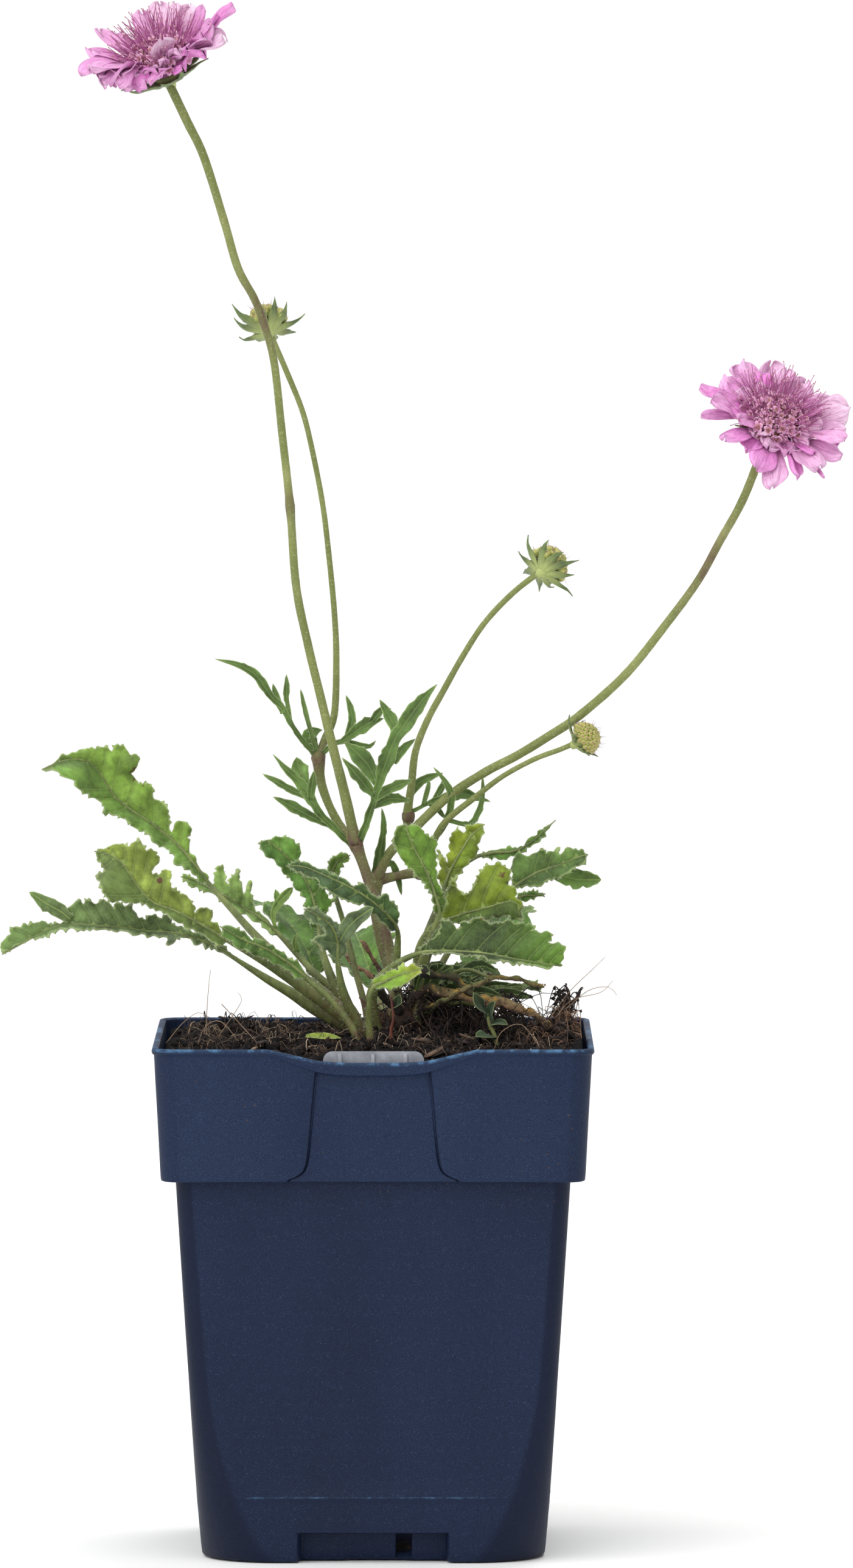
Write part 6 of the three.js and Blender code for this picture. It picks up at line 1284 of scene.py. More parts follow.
def narrow_blade(shape, rib, half, up=FRONT, fold=0.3, kind=0, hairs=True, thick=0.3, bend=0.0):
    """A narrow leaf or bract with a folded middle and a pointed end."""
    run = smooth_run(rib, 0.9)
    last = len(run) - 1
    stations = (-1, -0.72, -0.36, 0, 0.36, 0.72, 1)
    rings, veins, edges = [], [], []
    for i, centre in enumerate(run):
        t = i / last
        tangent = (run[min(i + 1, last)] - run[max(i - 1, 0)]).normalized()
        side = tangent.cross(up).normalized()
        face = side.cross(tangent).normalized()
        wide = along(half, t) * 1.08 * math.sqrt(max(0.004, 1 - max(0.0, (t - 0.55) / 0.45) ** 2.2))
        ragged = [1 + (0.34 if hairs else 0.15) * noise.noise(centre * 0.55 + side * way * 9)
                  for way in (-1, 1)]
        ring = []
        for way in (1, -1):
            for v in (stations if way > 0 else reversed(stations)):
                depth = thick * (0.5 if abs(v) < 0.1 else 0.3 if abs(v) < 0.9 else 0.08)
                depth += 0.12 * (way > 0) * (abs(v) < 0.1) - 0.12 * (abs(v) < 0.1)
                rise = fold * wide * abs(v) + 0.15 * wide * noise.noise(centre * 0.6 + side * v * 3)
                ring.append(centre + side * wide * v * ragged[v > 0] + face * (rise + way * depth)
                            + up * bend * t * t)
                veins.append(abs(v) * wide)
                edges.append((1 - abs(v)) * wide)
        rings.append(ring)
        if hairs and i % 2 and i < last:
            for v in (-1, 1):
                way = side * v + tangent * leaf_random.uniform(-0.2, 0.6)
                way += face * leaf_random.uniform(-0.4, 0.4)
                hair(shape, centre + side * wide * v * 0.95 + face * fold * wide, way,
                     leaf_random.uniform(0.4, 0.9))
    points, faces = loft(rings)
    shape.add(points, faces, kind, vein=veins, edge=edges, half=0.7,
              along=[i / last for i in range(last + 1) for _ in ring])


def leaf_finish(name, upper, lower, vein=(150, 172, 92), tip=None):
    """Leaf skin in two tones, the lower half darker as painted shade, with pale veins edged by painted
    shade in their creases, mottling, a thin light rim and brown bitten spots.
    """
    made = Finish(name, 0.55, {"Specular IOR Level": 0.22, "Subsurface Weight": 0.06,
                               "Sheen Weight": 0.1, "Sheen Roughness": 0.5})
    made.shader.inputs["Subsurface Radius"].default_value = (0.0006, 0.001, 0.0004)
    mottle = made.grain(6.5, 5)
    # the lower half's tone is a darker copy of the leaf green: painted shade of the half that folds down
    shades = []
    for tone in (upper, lower):
        dark = paint(*(value * 0.62 for value in tone))
        light = paint(*(min(255, value * 1.24 + 6) for value in tone))
        shades.append(made.ramp(mottle, [(0.32, dark), (0.5, paint(*tone)), (0.7, light)]))
    tone = made.blend(made.between(made.mark("half"), 0.3, 0.7), shades[1], shades[0])
    if tip:
        tone = made.blend(made.between(made.mark("along"), 0.58, 1.0, 0.0, 0.8), tone, paint(*tip))
    fine = made.grain(1.3, 4)
    tone = made.blend(made.between(fine, 0.35, 0.7, 0.0, 0.3), tone,
                      paint(*(value * 0.6 for value in upper)))
    # painted shade in the sunken creases beside the veins
    tone = made.blend(made.between(made.mark("vein"), 0.9, 0.3, 0.0, 0.3), tone,
                      paint(*(value * 0.55 for value in lower)))
    net_lines = made.between(made.cells(1.7, "DISTANCE_TO_EDGE"), 0.12, 0.0, 0.0, 0.07)
    tone = made.blend(net_lines, tone, paint(*vein))
    tone = made.blend(made.between(made.mark("vein"), 0.25, 0.04, 0.0, 0.5), tone, paint(*vein))
    tone = made.blend(made.between(made.mark("edge"), 0.3, 0.0, 0.0, 0.4), tone, paint(186, 200, 140))
    blotch = made.sums("ADD", made.mark("spot"), made.between(fine, 0.3, 0.7, -0.25, 0.25))
    tone = made.blend(made.between(blotch, 0.2, 0.5), tone, paint(84, 54, 34))
    dots = made.sums("MULTIPLY", made.between(made.cells(3.4), 0.13, 0.07),
                     made.between(made.grain(13), 0.56, 0.64))
    tone = made.blend(dots, tone, paint(104, 84, 40))
    made.put("Base Color", tone)
    made.relief(made.between(made.mark("vein"), 0.0, 1.7), 0.32)
    made.relief(fine, 0.16)
    return made


white_hair = mottled("white_hair", 0.5, 4, 3, (214, 220, 196), (240, 242, 228),
                     {"Subsurface Weight": 0.2})
leaf_stalk_skin = Finish("leaf_stalk_skin", 0.5)
stalk_tone = leaf_stalk_skin.ramp(leaf_stalk_skin.grain(5, 3), [
    (0.3, paint(92, 104, 56)), (0.7, paint(138, 150, 84))])
streaks = leaf_stalk_skin.between(leaf_stalk_skin.grain(1.5, 4, (1, 1, 0.25)), 0.4, 0.7, 0.0, 0.6)
stalk_tone = leaf_stalk_skin.blend(streaks, stalk_tone, paint(76, 88, 50))
reddish = leaf_stalk_skin.sums(
    "MULTIPLY", leaf_stalk_skin.between(leaf_stalk_skin.mark("shade"), 0.3, 0.95),
    leaf_stalk_skin.between(leaf_stalk_skin.grain(2.6, 4), 0.4, 0.62, 0.2, 0.9))
leaf_stalk_skin.put("Base Color", leaf_stalk_skin.blend(reddish, stalk_tone, paint(104, 66, 60)))
leaf_stalk_skin.relief(leaf_stalk_skin.grain(0.8, 3, (1, 1, 0.3)), 0.12)

# tone of the upper and the lower half, the lower one darker as painted shade, the slot, spots (x, z, size)
# and a tip tone
LEAF_LOOKS = {
    "leaf_upper_left": ((118, 150, 60), (100, 134, 56), "leaf_green",
                        [(-59, 193.6, 3.2), (-53.5, 168.5, 1.2)]),
    "leaf_middle_left": ((126, 144, 60), (94, 114, 58), "leaf_dark_green", [(-53.6, 168.6, 1.1)]),
    "leaf_low_left": ((98, 118, 70), (88, 108, 68), "leaf_dark_green", [], (124, 156, 84)),
    "leaf_pinnate_left": ((138, 170, 88), (124, 156, 80), "leaf_green", []),
    "leaf_spoon_left": ((98, 138, 58), (86, 124, 54), "leaf_green", []),
    "leaf_dark_arching": ((70, 96, 52), (60, 86, 46), "leaf_dark_green", []),
    "leaf_grey_forked": ((100, 118, 82), (88, 108, 72), "leaf_dark_green", []),
    "leaf_fuzzy_left": ((96, 130, 60), (86, 120, 54), "leaf_green", []),
    "leaf_young_left": ((136, 172, 82), (120, 156, 74), "leaf_green", []),
    "leaf_low_right": ((60, 80, 36), (54, 72, 36), "leaf_dark_green", [], (108, 150, 52)),
    "leaf_broad_right": ((102, 120, 28), (64, 84, 28), "leaf_yellow_green", [(32.3, 170, 1.3)]),
    "leaf_far_right": ((98, 128, 62), (84, 112, 56), "leaf_green", []),
    "leaf_pale_right": ((92, 126, 42), (86, 116, 40), "leaf_green", []),
    "leaf_yellow_right": ((122, 138, 36), (108, 130, 34), "leaf_yellow_green", []),
    "leaf_narrow_right": ((90, 124, 50), (80, 114, 46), "leaf_green", []),
    "leaf_small_right": ((96, 134, 52), (86, 122, 48), "leaf_green", []),
    "leaf_low_yellow": ((132, 162, 52), (116, 150, 50), "leaf_yellow_green", [], (176, 176, 58)),
}
for name, leaf in ROSETTE.items():
    upper, lower, slot, spots, *tip = LEAF_LOOKS[name]
    shape = Shape()
    leaf_blade(shape, leaf, spots)
    leaf_stalk(shape, leaf)
    for lobe in leaf.get("lobes", []):
        narrow_blade(shape, lobe["rib"], lobe["half"])
    skin = leaf_finish(name + "_skin", upper, lower, tip=tip[0] if tip else None)
    shape.build(name + "_grown", [skin, white_hair, leaf_stalk_skin], slot, [name])

# Small leaves at the foot
# Small leaves and cut-off leaf stalks, painted dark green as shade, that crowd round the foot of
# the plant on the right in the shade of the low leaf that they stand in for. They grow from the crown
# between the large ones.
base_leaves = Shape()
for i in range(34):
    turn = math.radians(leaf_random.uniform(-75, 75))
    foot = Vector((9 + leaf_random.uniform(-2, 6), -1 + leaf_random.uniform(-9, 9), 134))
    reach, rise = leaf_random.uniform(10, 27), leaf_random.uniform(3, 14)
    ahead = Vector((math.cos(turn), math.sin(turn) * 0.7, 0))
    run = [foot + ahead * reach * t + Vector((0, 0, rise * math.sin(2.1 * t))) for t in (0, 0.35, 0.7, 1)]
    wide = leaf_random.uniform(0.9, 2.3)
    if i % 3:
        narrow_blade(base_leaves, run, [0.4, 0.6, wide, wide * 0.7], FRONT, 0.25, thick=0.3)
        for part in range(leaf_random.choice((0, 2, 3))):
            root = run[2] + (run[3] - run[2]) * part * 0.3
            tip = root + ahead * 3 + scatter(leaf_random, 3)
            narrow_blade(base_leaves, [root, (root + tip) / 2, tip], [0.5, wide * 0.6, 0.3], FRONT, 0.2)
    else:
        points, faces = tube(smooth_run(run, 1.2), lambda t, a: 0.75 - 0.3 * t, 8)
        base_leaves.add(points, faces, kind=2, shade=leaf_random.uniform(0.2, 1.0))
# painted shade: the dark green stands for the shade that these leaves sit in
base_skin = leaf_finish("base_leaf_skin", (58, 78, 40), (46, 64, 34))
base_leaves.build("base_leaves", [base_skin, white_hair, leaf_stalk_skin], "leaf_dark_green",
                  ["leaf_low_right"])

# Leaves at the back
# Four plain lobed leaves that the photo hides, grown like the others. Each is laid out flat, then
# turned about the crown to where it grows.
back_skin = leaf_finish("back_leaf_skin", (88, 124, 48), (76, 110, 44))
for name, (turn, foot, length, width, rise, roll) in BACK_LEAVES.items():
    shape = Shape()
    leaf = plain_leaf(length, width)
    leaf_blade(shape, leaf)
    leaf_stalk(shape, leaf)
    where = (Matrix.Translation(foot) @ Matrix.Rotation(math.radians(turn), 4, "Z")
             @ Matrix.Rotation(-math.radians(rise), 4, "Y")
             @ Matrix.Rotation(math.pi / 2 + math.radians(roll), 4, "X"))
    shape.points = [tuple(where @ Vector(point)) for point in shape.points]
    shape.build(name + "_grown", [back_skin, white_hair, leaf_stalk_skin], "leaf_green", [name])

# Leafy stems
# Two wiry clumps that grew as one piece each: a woody purple-brown foot that forks at swollen
# nodes into round olive flower stems, with narrow cut leaves at the forks and fine short hairs.
STEMS = {
    "main": [
        (6.5, -0.5, 131), (6, 0, 138), (5, 1, 144), (4, 2, 150), (2.5, 2.5, 156), (0, 3, 163),
        (-2, 4, 169.5), (-4.5, 5, 176.5)],
    "tall": [
        (-4.5, 5, 176.5), (-7.5, 3, 190), (-10.5, 1, 202), (-13.5, 0, 214.5), (-16.5, -1, 227),
        (-19.5, -2, 242), (-21, -3, 262), (-23, -4, 280.5), (-25, -5, 298.5), (-27.5, -6, 308),
        (-30, -7, 314.5), (-34, -8, 322), (-37.5, -9, 334), (-42.5, -11, 350), (-46.5, -13, 358.5),
        (-51, -14, 368)],
    "left_branch": [
        (-4.5, 5, 176.5), (-8.5, 8, 181), (-11.5, 9, 186.5), (-13.5, 10, 192.5), (-14, 10, 198)],
    "bud_b": [
        (-14, 10, 197.5), (-12.5, 12, 202.5), (-10, 12, 209), (-9.5, 12, 223), (-10, 12, 235),
        (-11.5, 12, 250.5), (-13, 12, 262.5), (-15.5, 12, 275.5), (-18, 12, 285.5), (-22, 12, 295.5),
        (-26.5, 11, 306)],
    "dark_fork": [
        (5.5, 8.5, 130.5), (5, 9, 137.5), (4, 10, 143.5), (2, 11, 150), (0.5, 11, 158.5),
        (0.5, 11, 167)],
    "fork_right": [(0.5, 11, 167), (6, 13, 168), (11.5, 15, 169)],
    "bud_c": [
        (11.5, 15, 168.5), (10, 14, 175.5), (8.5, 13, 182.5), (9.5, 12, 191), (10.5, 11, 199.5),
        (13.5, 10, 207.5), (17.5, 8, 215), (22.5, 6, 224), (28, 4, 232.5), (35, 2, 240), (42.5, 0, 246)],
    "right_flower": [
        (0.5, 11, 167), (4, 10, 174), (8, 10, 177.5), (11.5, 9, 181.5), (19.5, 7, 189), (28.5, 4, 195),
        (36, 2, 199), (44, 0, 204), (52, -2, 209.5), (63.5, -5, 220), (73.5, -6, 232.5),
        (81.5, -7, 243.5), (87, -8, 253.5), (93, -8, 264.5), (99, -7, 280)],
    "seed": [
        (11.5, 15, 168.5), (14.5, 11, 175.5), (18, 7, 182), (25.5, 2, 188.5), (32.5, -1, 194),
        (40.5, -4, 198.5), (47, -5, 201), (51.5, -6, 203)],
}
STEM_RADII = {
    "main": [1.8, 1.6, 1.7], "tall": [1.5, 1.15, 1.1, 1.05, 1.1, 1.2], "left_branch": [1.3, 1.1, 1.5],
    "bud_b": [1.1, 0.8, 0.75, 0.8], "dark_fork": [1.4, 1.2, 1.6], "fork_right": [1.4, 1.2, 1.4],
    "bud_c": [1.3, 1.1, 0.9, 0.8, 0.8], "right_flower": [1.4, 1.2, 1.2, 1.1, 1.2],
    "seed": [1.0, 0.9, 0.7, 0.7],
}
NODES = {
    "left": [(-4.5, 5, 176.5, 0.62), (-14, 10, 198, 0.5), (-21, -3, 262, 0.4)],
    "right": [(0.5, 11, 167, 0.7), (11.5, 15, 168.8, 0.35), (8.7, 13, 183, 0.4)],
}
# places where the skin is brown or purple: centre, reach, strength
DARK_ZONES = {
    "left": [((5, 0, 140), 12, 0.9), ((3, 2, 152), 12, 0.95), ((-1, 4, 166), 9, 0.9),
             ((-4.5, 5, 176.5), 4.5, 1), ((-14, 10, 198), 4.5, 0.9), ((-21, -3, 262), 4, 0.6),
             ((-28.5, -6.5, 310), 8, 0.85)],
    "right": [((4, 10, 140), 14, 0.9), ((0.5, 11, 160), 10, 0.8), ((0.5, 11, 167), 5, 1),
              ((6, 13, 168), 6, 0.7), ((84, -7.5, 247), 11, 0.75)],
}
# half widths along each stem leaf or leaflet, and its midrib
STEM_LEAVES_LEFT = [
    # long leaf on the right of the first fork
    ([0.9, 0.9, 0.9, 1.1, 2.0, 1.4, 2.0, 2.1, 0.8], [
        (-3.5, 4, 177.5), (-1, 1, 184.5), (0.5, -1, 189.5), (2.5, -3, 196), (4.5, -4, 201.5),
        (6.5, -5, 205.5), (11.5, -6, 212.5), (14, -7, 215.5), (16, -7, 217.5)]),
    ([1.1, 1.4, 0.5], [(6, -4.5, 205), (4, -3, 209), (1.5, -3, 213.5)]),
    ([0.8, 1.1, 0.5], [(5, -4, 197.5), (7.5, -3, 201), (10.5, -2, 203.5)]),
    ([0.6, 1.9, 2.0, 0.7], [(1, -1, 191.5), (-1, 1, 196), (-4, 2, 199.5), (-7.5, 3, 202.5)]),
    ([0.6, 1.4, 1.2, 0.5], [(0, -1, 189), (-3, -5, 193), (-5.5, -6, 196), (-8, -6, 199)]),
    ([0.6, 1.2, 1.2, 0.5], [(0, -1, 188), (3, 1, 190), (6, 2, 191.5), (10, 3, 193)]),
    ([0.6, 1.3, 1.2, 0.5], [(-0.5, 0, 186), (3.5, 2, 188), (6, 3, 188), (9.5, 4, 187.5)]),
    # cut leaf on the left of the first fork
    ([0.8, 0.8, 0.9, 1.2, 1.3, 0.9, 0.5], [
        (-5.5, 6, 176), (-10.5, 5, 181), (-14, 4, 185), (-16.5, 3, 189), (-18.5, 3, 192),
        (-22, 2, 195.5), (-25.5, 1, 199.5)]),
    ([0.8, 1.3, 2.0, 1.1], [(-17, 3, 189.5), (-18, 4, 193.5), (-19, 5, 196), (-19.5, 5, 198.5)]),
    ([0.7, 1.2, 0.5], [(-16, 3, 188), (-15.5, 1, 192), (-15, 0, 195.5)]),
    ([0.7, 0.9, 0.8, 0.5], [(-17, 3, 188.5), (-21, 2, 190.5), (-24.5, 1, 192.5), (-28, 1, 194.5)]),
    ([0.5, 1.1, 1.3, 0.5], [(-11, 5, 181), (-17, 5, 184), (-21.5, 5, 186.5), (-25.5, 5, 188.5)]),
    # long leaf on the left of the second fork
    ([0.7, 0.6, 0.6, 0.7, 0.9, 1.1, 1.0, 0.5], [
        (-14, 10, 198), (-18, 8, 202.5), (-21, 6, 207), (-23, 5, 211), (-26, 4, 214), (-29, 3, 218.5),
        (-33, 2, 221.5), (-40, 1, 223.5)]),
    ([0.6, 0.8, 0.5], [(-23, 5, 209.5), (-24.5, 6, 213.5), (-25.5, 7, 217)]),
    ([0.5, 0.5, 0.9, 0.5], [(-21, 6, 207.5), (-22, 5, 213), (-22, 4, 216), (-22, 3, 219.5)]),
    ([0.5, 0.5, 0.6, 0.5], [(-14.5, 9.4, 199.5), (-16, 8, 205), (-17.5, 9, 210.5), (-18.5, 9, 215.5)]),
    ([0.8, 1.8, 1.8, 0.6], [(-14.5, 10.6, 198.5), (-16.5, 11, 203), (-15, 12, 204.5), (-13, 12, 205)]),
    # leaf on the right of the second fork
    ([0.6, 0.6, 0.7, 1.4, 1.9, 0.8], [
        (-13.5, 10, 198.5), (-10.5, 9, 201.5), (-8, 7, 202.5), (-4.5, 5, 205), (-1.5, 3, 207),
        (2.5, 1, 208.5)]),
    ([0.8, 1.0, 0.5], [(-0.5, 2.6, 207.5), (2, 0, 210.5), (4.5, -1, 211)]),
    ([0.5, 0.9, 0.8, 0.5], [(-7, 6.5, 203.5), (-5.5, 7, 207.5), (-6, 8, 211), (-7, 8, 214)]),
    ([0.5, 0.7, 0.7, 0.5], [(-8.5, 7.5, 202.5), (-4.5, 8, 201.5), (-1, 9, 201), (0.5, 9, 202.5)]),
]
STEM_LEAVES_RIGHT = [
    # narrow leaves of the dark fork
    ([1.2, 1.1, 0.8, 0.5], [(0.5, 11, 168.5), (2, 9, 176.5), (2.5, 8, 182), (2, 8, 185.5)]),
    ([0.6, 0.9, 0.8, 0.5], [(1, 11, 170.5), (4.5, 13, 171), (6, 14, 167.5), (7, 14, 163)]),
    # fine cut leaf beside the stem of the middle bud
    ([0.5, 0.5, 0.9, 1.4, 1.1, 0.5], [
        (9, 13, 184), (14, 12, 186.5), (16.5, 11, 187.5), (22, 10, 189), (26, 9, 188), (29.5, 9, 187)]),
    ([0.5, 0.6, 0.5], [(12.5, 12, 186), (13.5, 12, 189.5), (14, 12, 192.5)]),
    ([0.5, 0.8, 0.5], [(15, 11.5, 187), (17, 12, 190), (18, 12, 193)]),
    ([0.5, 1.0, 0.9, 0.5], [(9, 12.5, 188), (11.5, 14, 191.5), (14.5, 14, 193), (17.5, 14, 194)]),
    ([0.5, 0.7, 0.5], [(13.5, 12, 186.5), (16, 13, 185), (18, 13, 182.5)]),
    # leaf between the two right-hand stems
    ([0.6, 0.9, 0.8, 0.9, 0.8, 0.5], [
        (15, 11, 177), (18.5, 9, 182.5), (19.5, 7, 186.5), (19.5, 6, 189.5), (17.5, 5, 193),
        (15, 5, 196)]),
    # leaf behind the stem of the seed head
    ([0.5, 0.7, 0.7, 0.6, 0.5], [
        (18.5, 6.5, 182.5), (24, 6, 181.5), (26.5, 7, 184.5), (27.5, 8, 189), (27.5, 8, 193.5)]),
]
HEADS = {
    "left_flower": {"centre": (-51.2, -14.2, 369.5), "axis": (-0.4, -0.3, 0.87), "lift": (2, 8.5)},
    "right_flower": {"centre": (99.6, -7.6, 281), "axis": (0.3, -0.62, 0.72), "lift": (0.5, 4)},
    "bud_b": {"centre": (-26.6, 10.8, 306.5), "axis": (-0.15, 0.62, 0.7)},
    "bud_c": {"centre": (42.8, -0.2, 246), "axis": (0.5, 0.62, 0.5)},
    "seed": {"centre": (51.8, -6.1, 203.1), "axis": (0.78, -0.3, 0.5)},
}


class Head:
    """Where a flower head sits and the way it looks."""

    def __init__(self, name):
        self.centre = Vector(HEADS[name]["centre"])
        self.up = Vector(HEADS[name]["axis"]).normalized()
        self.across = Vector((0, 1, 0)).cross(self.up).normalized()
        self.back = self.up.cross(self.across)

    def out(self, angle):
        return self.across * math.cos(angle) + self.back * math.sin(angle)

    def at(self, radius, angle, height, aside=0.0):
        turned = self.out(angle + math.pi / 2)
        return self.centre + self.out(angle) * radius + turned * aside + self.up * height

    def toward(self, tilt, turn):
        return self.out(turn) * math.sin(tilt) + self.up * math.cos(tilt)


def dome(shape, head, radius, height, start, sides=24, kind=0, **marks):
    """A rounded core on the axis of a head."""
    rings = []
    for i in range(1, 11):
        tilt = math.pi * i / 11
        rings.append([head.at(radius * math.sin(tilt), angle, start + height * (1 - math.cos(tilt)) / 2)
                      for angle in turns(sides)])
    shape.add(*loft(rings), kind=kind, **marks)


def head_bracts(shape, name, count, reach, lift, width, cup, seed, rows=1):
    """The green cup under a head and the pointed bracts that curve out from it."""
    head, rng = Head(name), random.Random(seed)
    rings = []
    profile = ((0.9, -2.6), (1.1, -1.9), (cup * 0.5, -1.2), (cup * 0.8, -0.5), (cup, 0.4), (cup * 0.9, 1.3),
               (cup * 0.4, 1.7))
    for size, up in profile:
        rings.append([head.at(size * (1 + 0.05 * math.cos(6 * a)), a, up) for a in turns(24)])
    pale = [0.7] * 24 * 3 + [0.65] * 24 + [0.3] * 24 * 3
    shape.add(*loft(rings), kind=3, pale=pale)
    for row in range(rows):
        for i in range(count):
            angle = (i + 0.5 * row + 0.35 * rng.random()) * 2 * math.pi / count
            far = reach * (1 - 0.22 * row) * (0.8 + 0.35 * rng.random())
            tip_lift = lift * (0.5 + 0.9 * rng.random()) + 1.2 * row
            aside = rng.uniform(-1.7, 1.7)
            hook = rng.uniform(-0.6, 1.2)
            points = [head.at(cup * 0.3, angle, -1.6), head.at(cup * 0.9, angle, -0.9),
                      head.at(cup + (far - cup) * 0.4, angle, lift * 0.12 - 0.3, aside * 0.1),
                      head.at(cup + (far - cup) * 0.75, angle, lift * 0.45, aside * 0.4),
                      head.at(far, angle, tip_lift + hook * 0.5, aside)]
            start = len(shape.points)
            wide = width * rng.uniform(0.85, 1.15)
            half = [wide * 0.6, wide * 1.0, wide * 1.15, wide * 0.6, 0.12]
            narrow_blade(shape, points, half, head.up, 0.45, 3, thick=0.45)
            made = shape.points[start:]
            held = shape.marks.setdefault("pale", [])
            held.extend([0.0] * (start - len(held)))
            most = 0.3 if "flower" in name else 0.9
            held.extend(max(0.0, 1 - (Vector(p) - head.centre).length / (cup * 2.2)) * most for p in made)


def grow_stems(shape, names, side):
    nodes = [(Vector(row[:3]), row[3]) for row in NODES[side]]
    zones = [(Vector(centre), reach, strength) for centre, reach, strength in DARK_ZONES[side]]
    for name in names:
        run = smooth_run(STEMS[name], 1.3)

        def radius(t, angle, name=name, run=run):
            here = run[min(len(run) - 1, round(t * (len(run) - 1)))]
            swell = sum(size * math.exp(-((here - node).length / 2.2) ** 2) for node, size in nodes)
            ridges = 0.035 * math.cos(6 * angle) + 0.05 * noise.noise(here * 0.5)
            slim = 0.8 if name == "main" else 0.93
            return along(STEM_RADII[name], t) * slim * (1 + swell * 0.55 + ridges)
        points, faces = tube(run, radius, 14)
        dark = []
        for centre in run:
            near = max(strength * math.exp(-((centre - spot).length / reach) ** 2)
                       for spot, reach, strength in zones)
            dark.extend([near] * 14)
        shape.add(points, faces, 2, shade=dark)
        thick_hair = name in ("main", "dark_fork", "left_branch")
        for i, point in enumerate(run[1:-1]):
            tangent = (run[i + 2] - run[i]).normalized()
            for extra in range(14 if thick_hair else 6):
                way = sideways(tangent)
                root = point + way * radius((i + 1) / (len(run) - 1), 0) * 0.92
                hair(shape, root + tangent * leaf_random.uniform(-0.6, 0.6), way,
                     leaf_random.uniform(0.4, 0.9) if thick_hair else leaf_random.uniform(0.2, 0.45),
                     0.03)
    for centre, size in nodes:
        rings = []
        wide = 1.55 + size * 0.5 if centre.z < 200 else 1.25
        for i in range(1, 10):
            tilt = math.pi * i / 10
            rings.append([centre + Vector((math.sin(tilt) * math.cos(a), math.sin(tilt) * math.sin(a),
                                           1.15 * math.cos(tilt))) * wide
                          * (1 + 0.16 * noise.noise(Vector((a * 1.5, tilt * 2, centre.z))))
                          for a in turns(18)])
        shape.add(*loft(rings), kind=2, shade=0.9 if centre.z < 200 else 0.5)


stem_leaf_skin = leaf_finish("stem_leaf_skin", (96, 124, 62), (82, 108, 54), vein=(120, 144, 80))
stem_skin = Finish("stem_skin", 0.5, {"Specular IOR Level": 0.22})
streak = stem_skin.grain(1.6, 4, (1, 1, 0.12))
stem_tone = stem_skin.ramp(stem_skin.grain(14, 3), [
    (0.3, paint(106, 114, 64)), (0.55, paint(124, 131, 76)), (0.75, paint(142, 147, 92))])
stem_tone = stem_skin.blend(stem_skin.between(streak, 0.4, 0.7, 0.0, 0.35), stem_tone, paint(98, 114, 54))
brown = stem_skin.sums("MULTIPLY", stem_skin.mark("shade"),
                       stem_skin.between(stem_skin.grain(2.2, 5, (1, 1, 0.35)), 0.34, 0.6, 0.3, 1.0))
stem_tone = stem_skin.blend(stem_skin.between(stem_skin.grain(0.5, 2), 0.55, 0.7, 0.0, 0.4), stem_tone,
                            paint(186, 192, 150))
stem_skin.put("Base Color", stem_skin.blend(brown, stem_tone, paint(98, 70, 66)))
stem_skin.relief(streak, 0.12)
bract_skin = Finish("bract_skin", 0.55, {"Sheen Weight": 0.1})
bract_tone = bract_skin.ramp(bract_skin.grain(3, 4), [
    (0.3, paint(58, 72, 40)), (0.5, paint(84, 102, 54)), (0.72, paint(114, 130, 70))])
bract_tone = bract_skin.blend(bract_skin.between(bract_skin.mark("vein"), 0.25, 0.05, 0.0, 0.4), bract_tone,
                              paint(122, 142, 84))
bract_skin.put("Base Color", bract_skin.blend(bract_skin.mark("pale"), bract_tone, paint(184, 194, 118)))
bract_skin.relief(bract_skin.grain(0.9, 4), 0.12)

left_stems = Shape()
grow_stems(left_stems, ("main", "tall", "left_branch", "bud_b"), "left")
for half, rib in STEM_LEAVES_LEFT:
    narrow_blade(left_stems, rib, half)
head_bracts(left_stems, "left_flower", 11, 10.8, 3.0, 1.35, 3.2, 5)
head_bracts(left_stems, "bud_b", 10, 9.0, 3.4, 1.0, 2.9, 6)
left_stems.build("leafy_stem_left_grown", [stem_leaf_skin, white_hair, stem_skin, bract_skin], "stem_green",
                 ["leafy_stem_left"])
right_stems = Shape()
grow_stems(right_stems, ("dark_fork", "fork_right", "bud_c", "right_flower", "seed"), "right")
for half, rib in STEM_LEAVES_RIGHT:
    narrow_blade(right_stems, rib, half)
head_bracts(right_stems, "right_flower", 11, 10.5, 1.2, 1.2, 3.2, 7)
head_bracts(right_stems, "bud_c", 10, 8.8, 2.8, 0.9, 2.9, 8)
head_bracts(right_stems, "seed", 6, 6.6, 2.2, 0.7, 2.5, 9)
right_stems.build("leafy_stem_right_grown", [stem_leaf_skin, white_hair, stem_skin, bract_skin],
                  "stem_green", ["leafy_stem_right"])

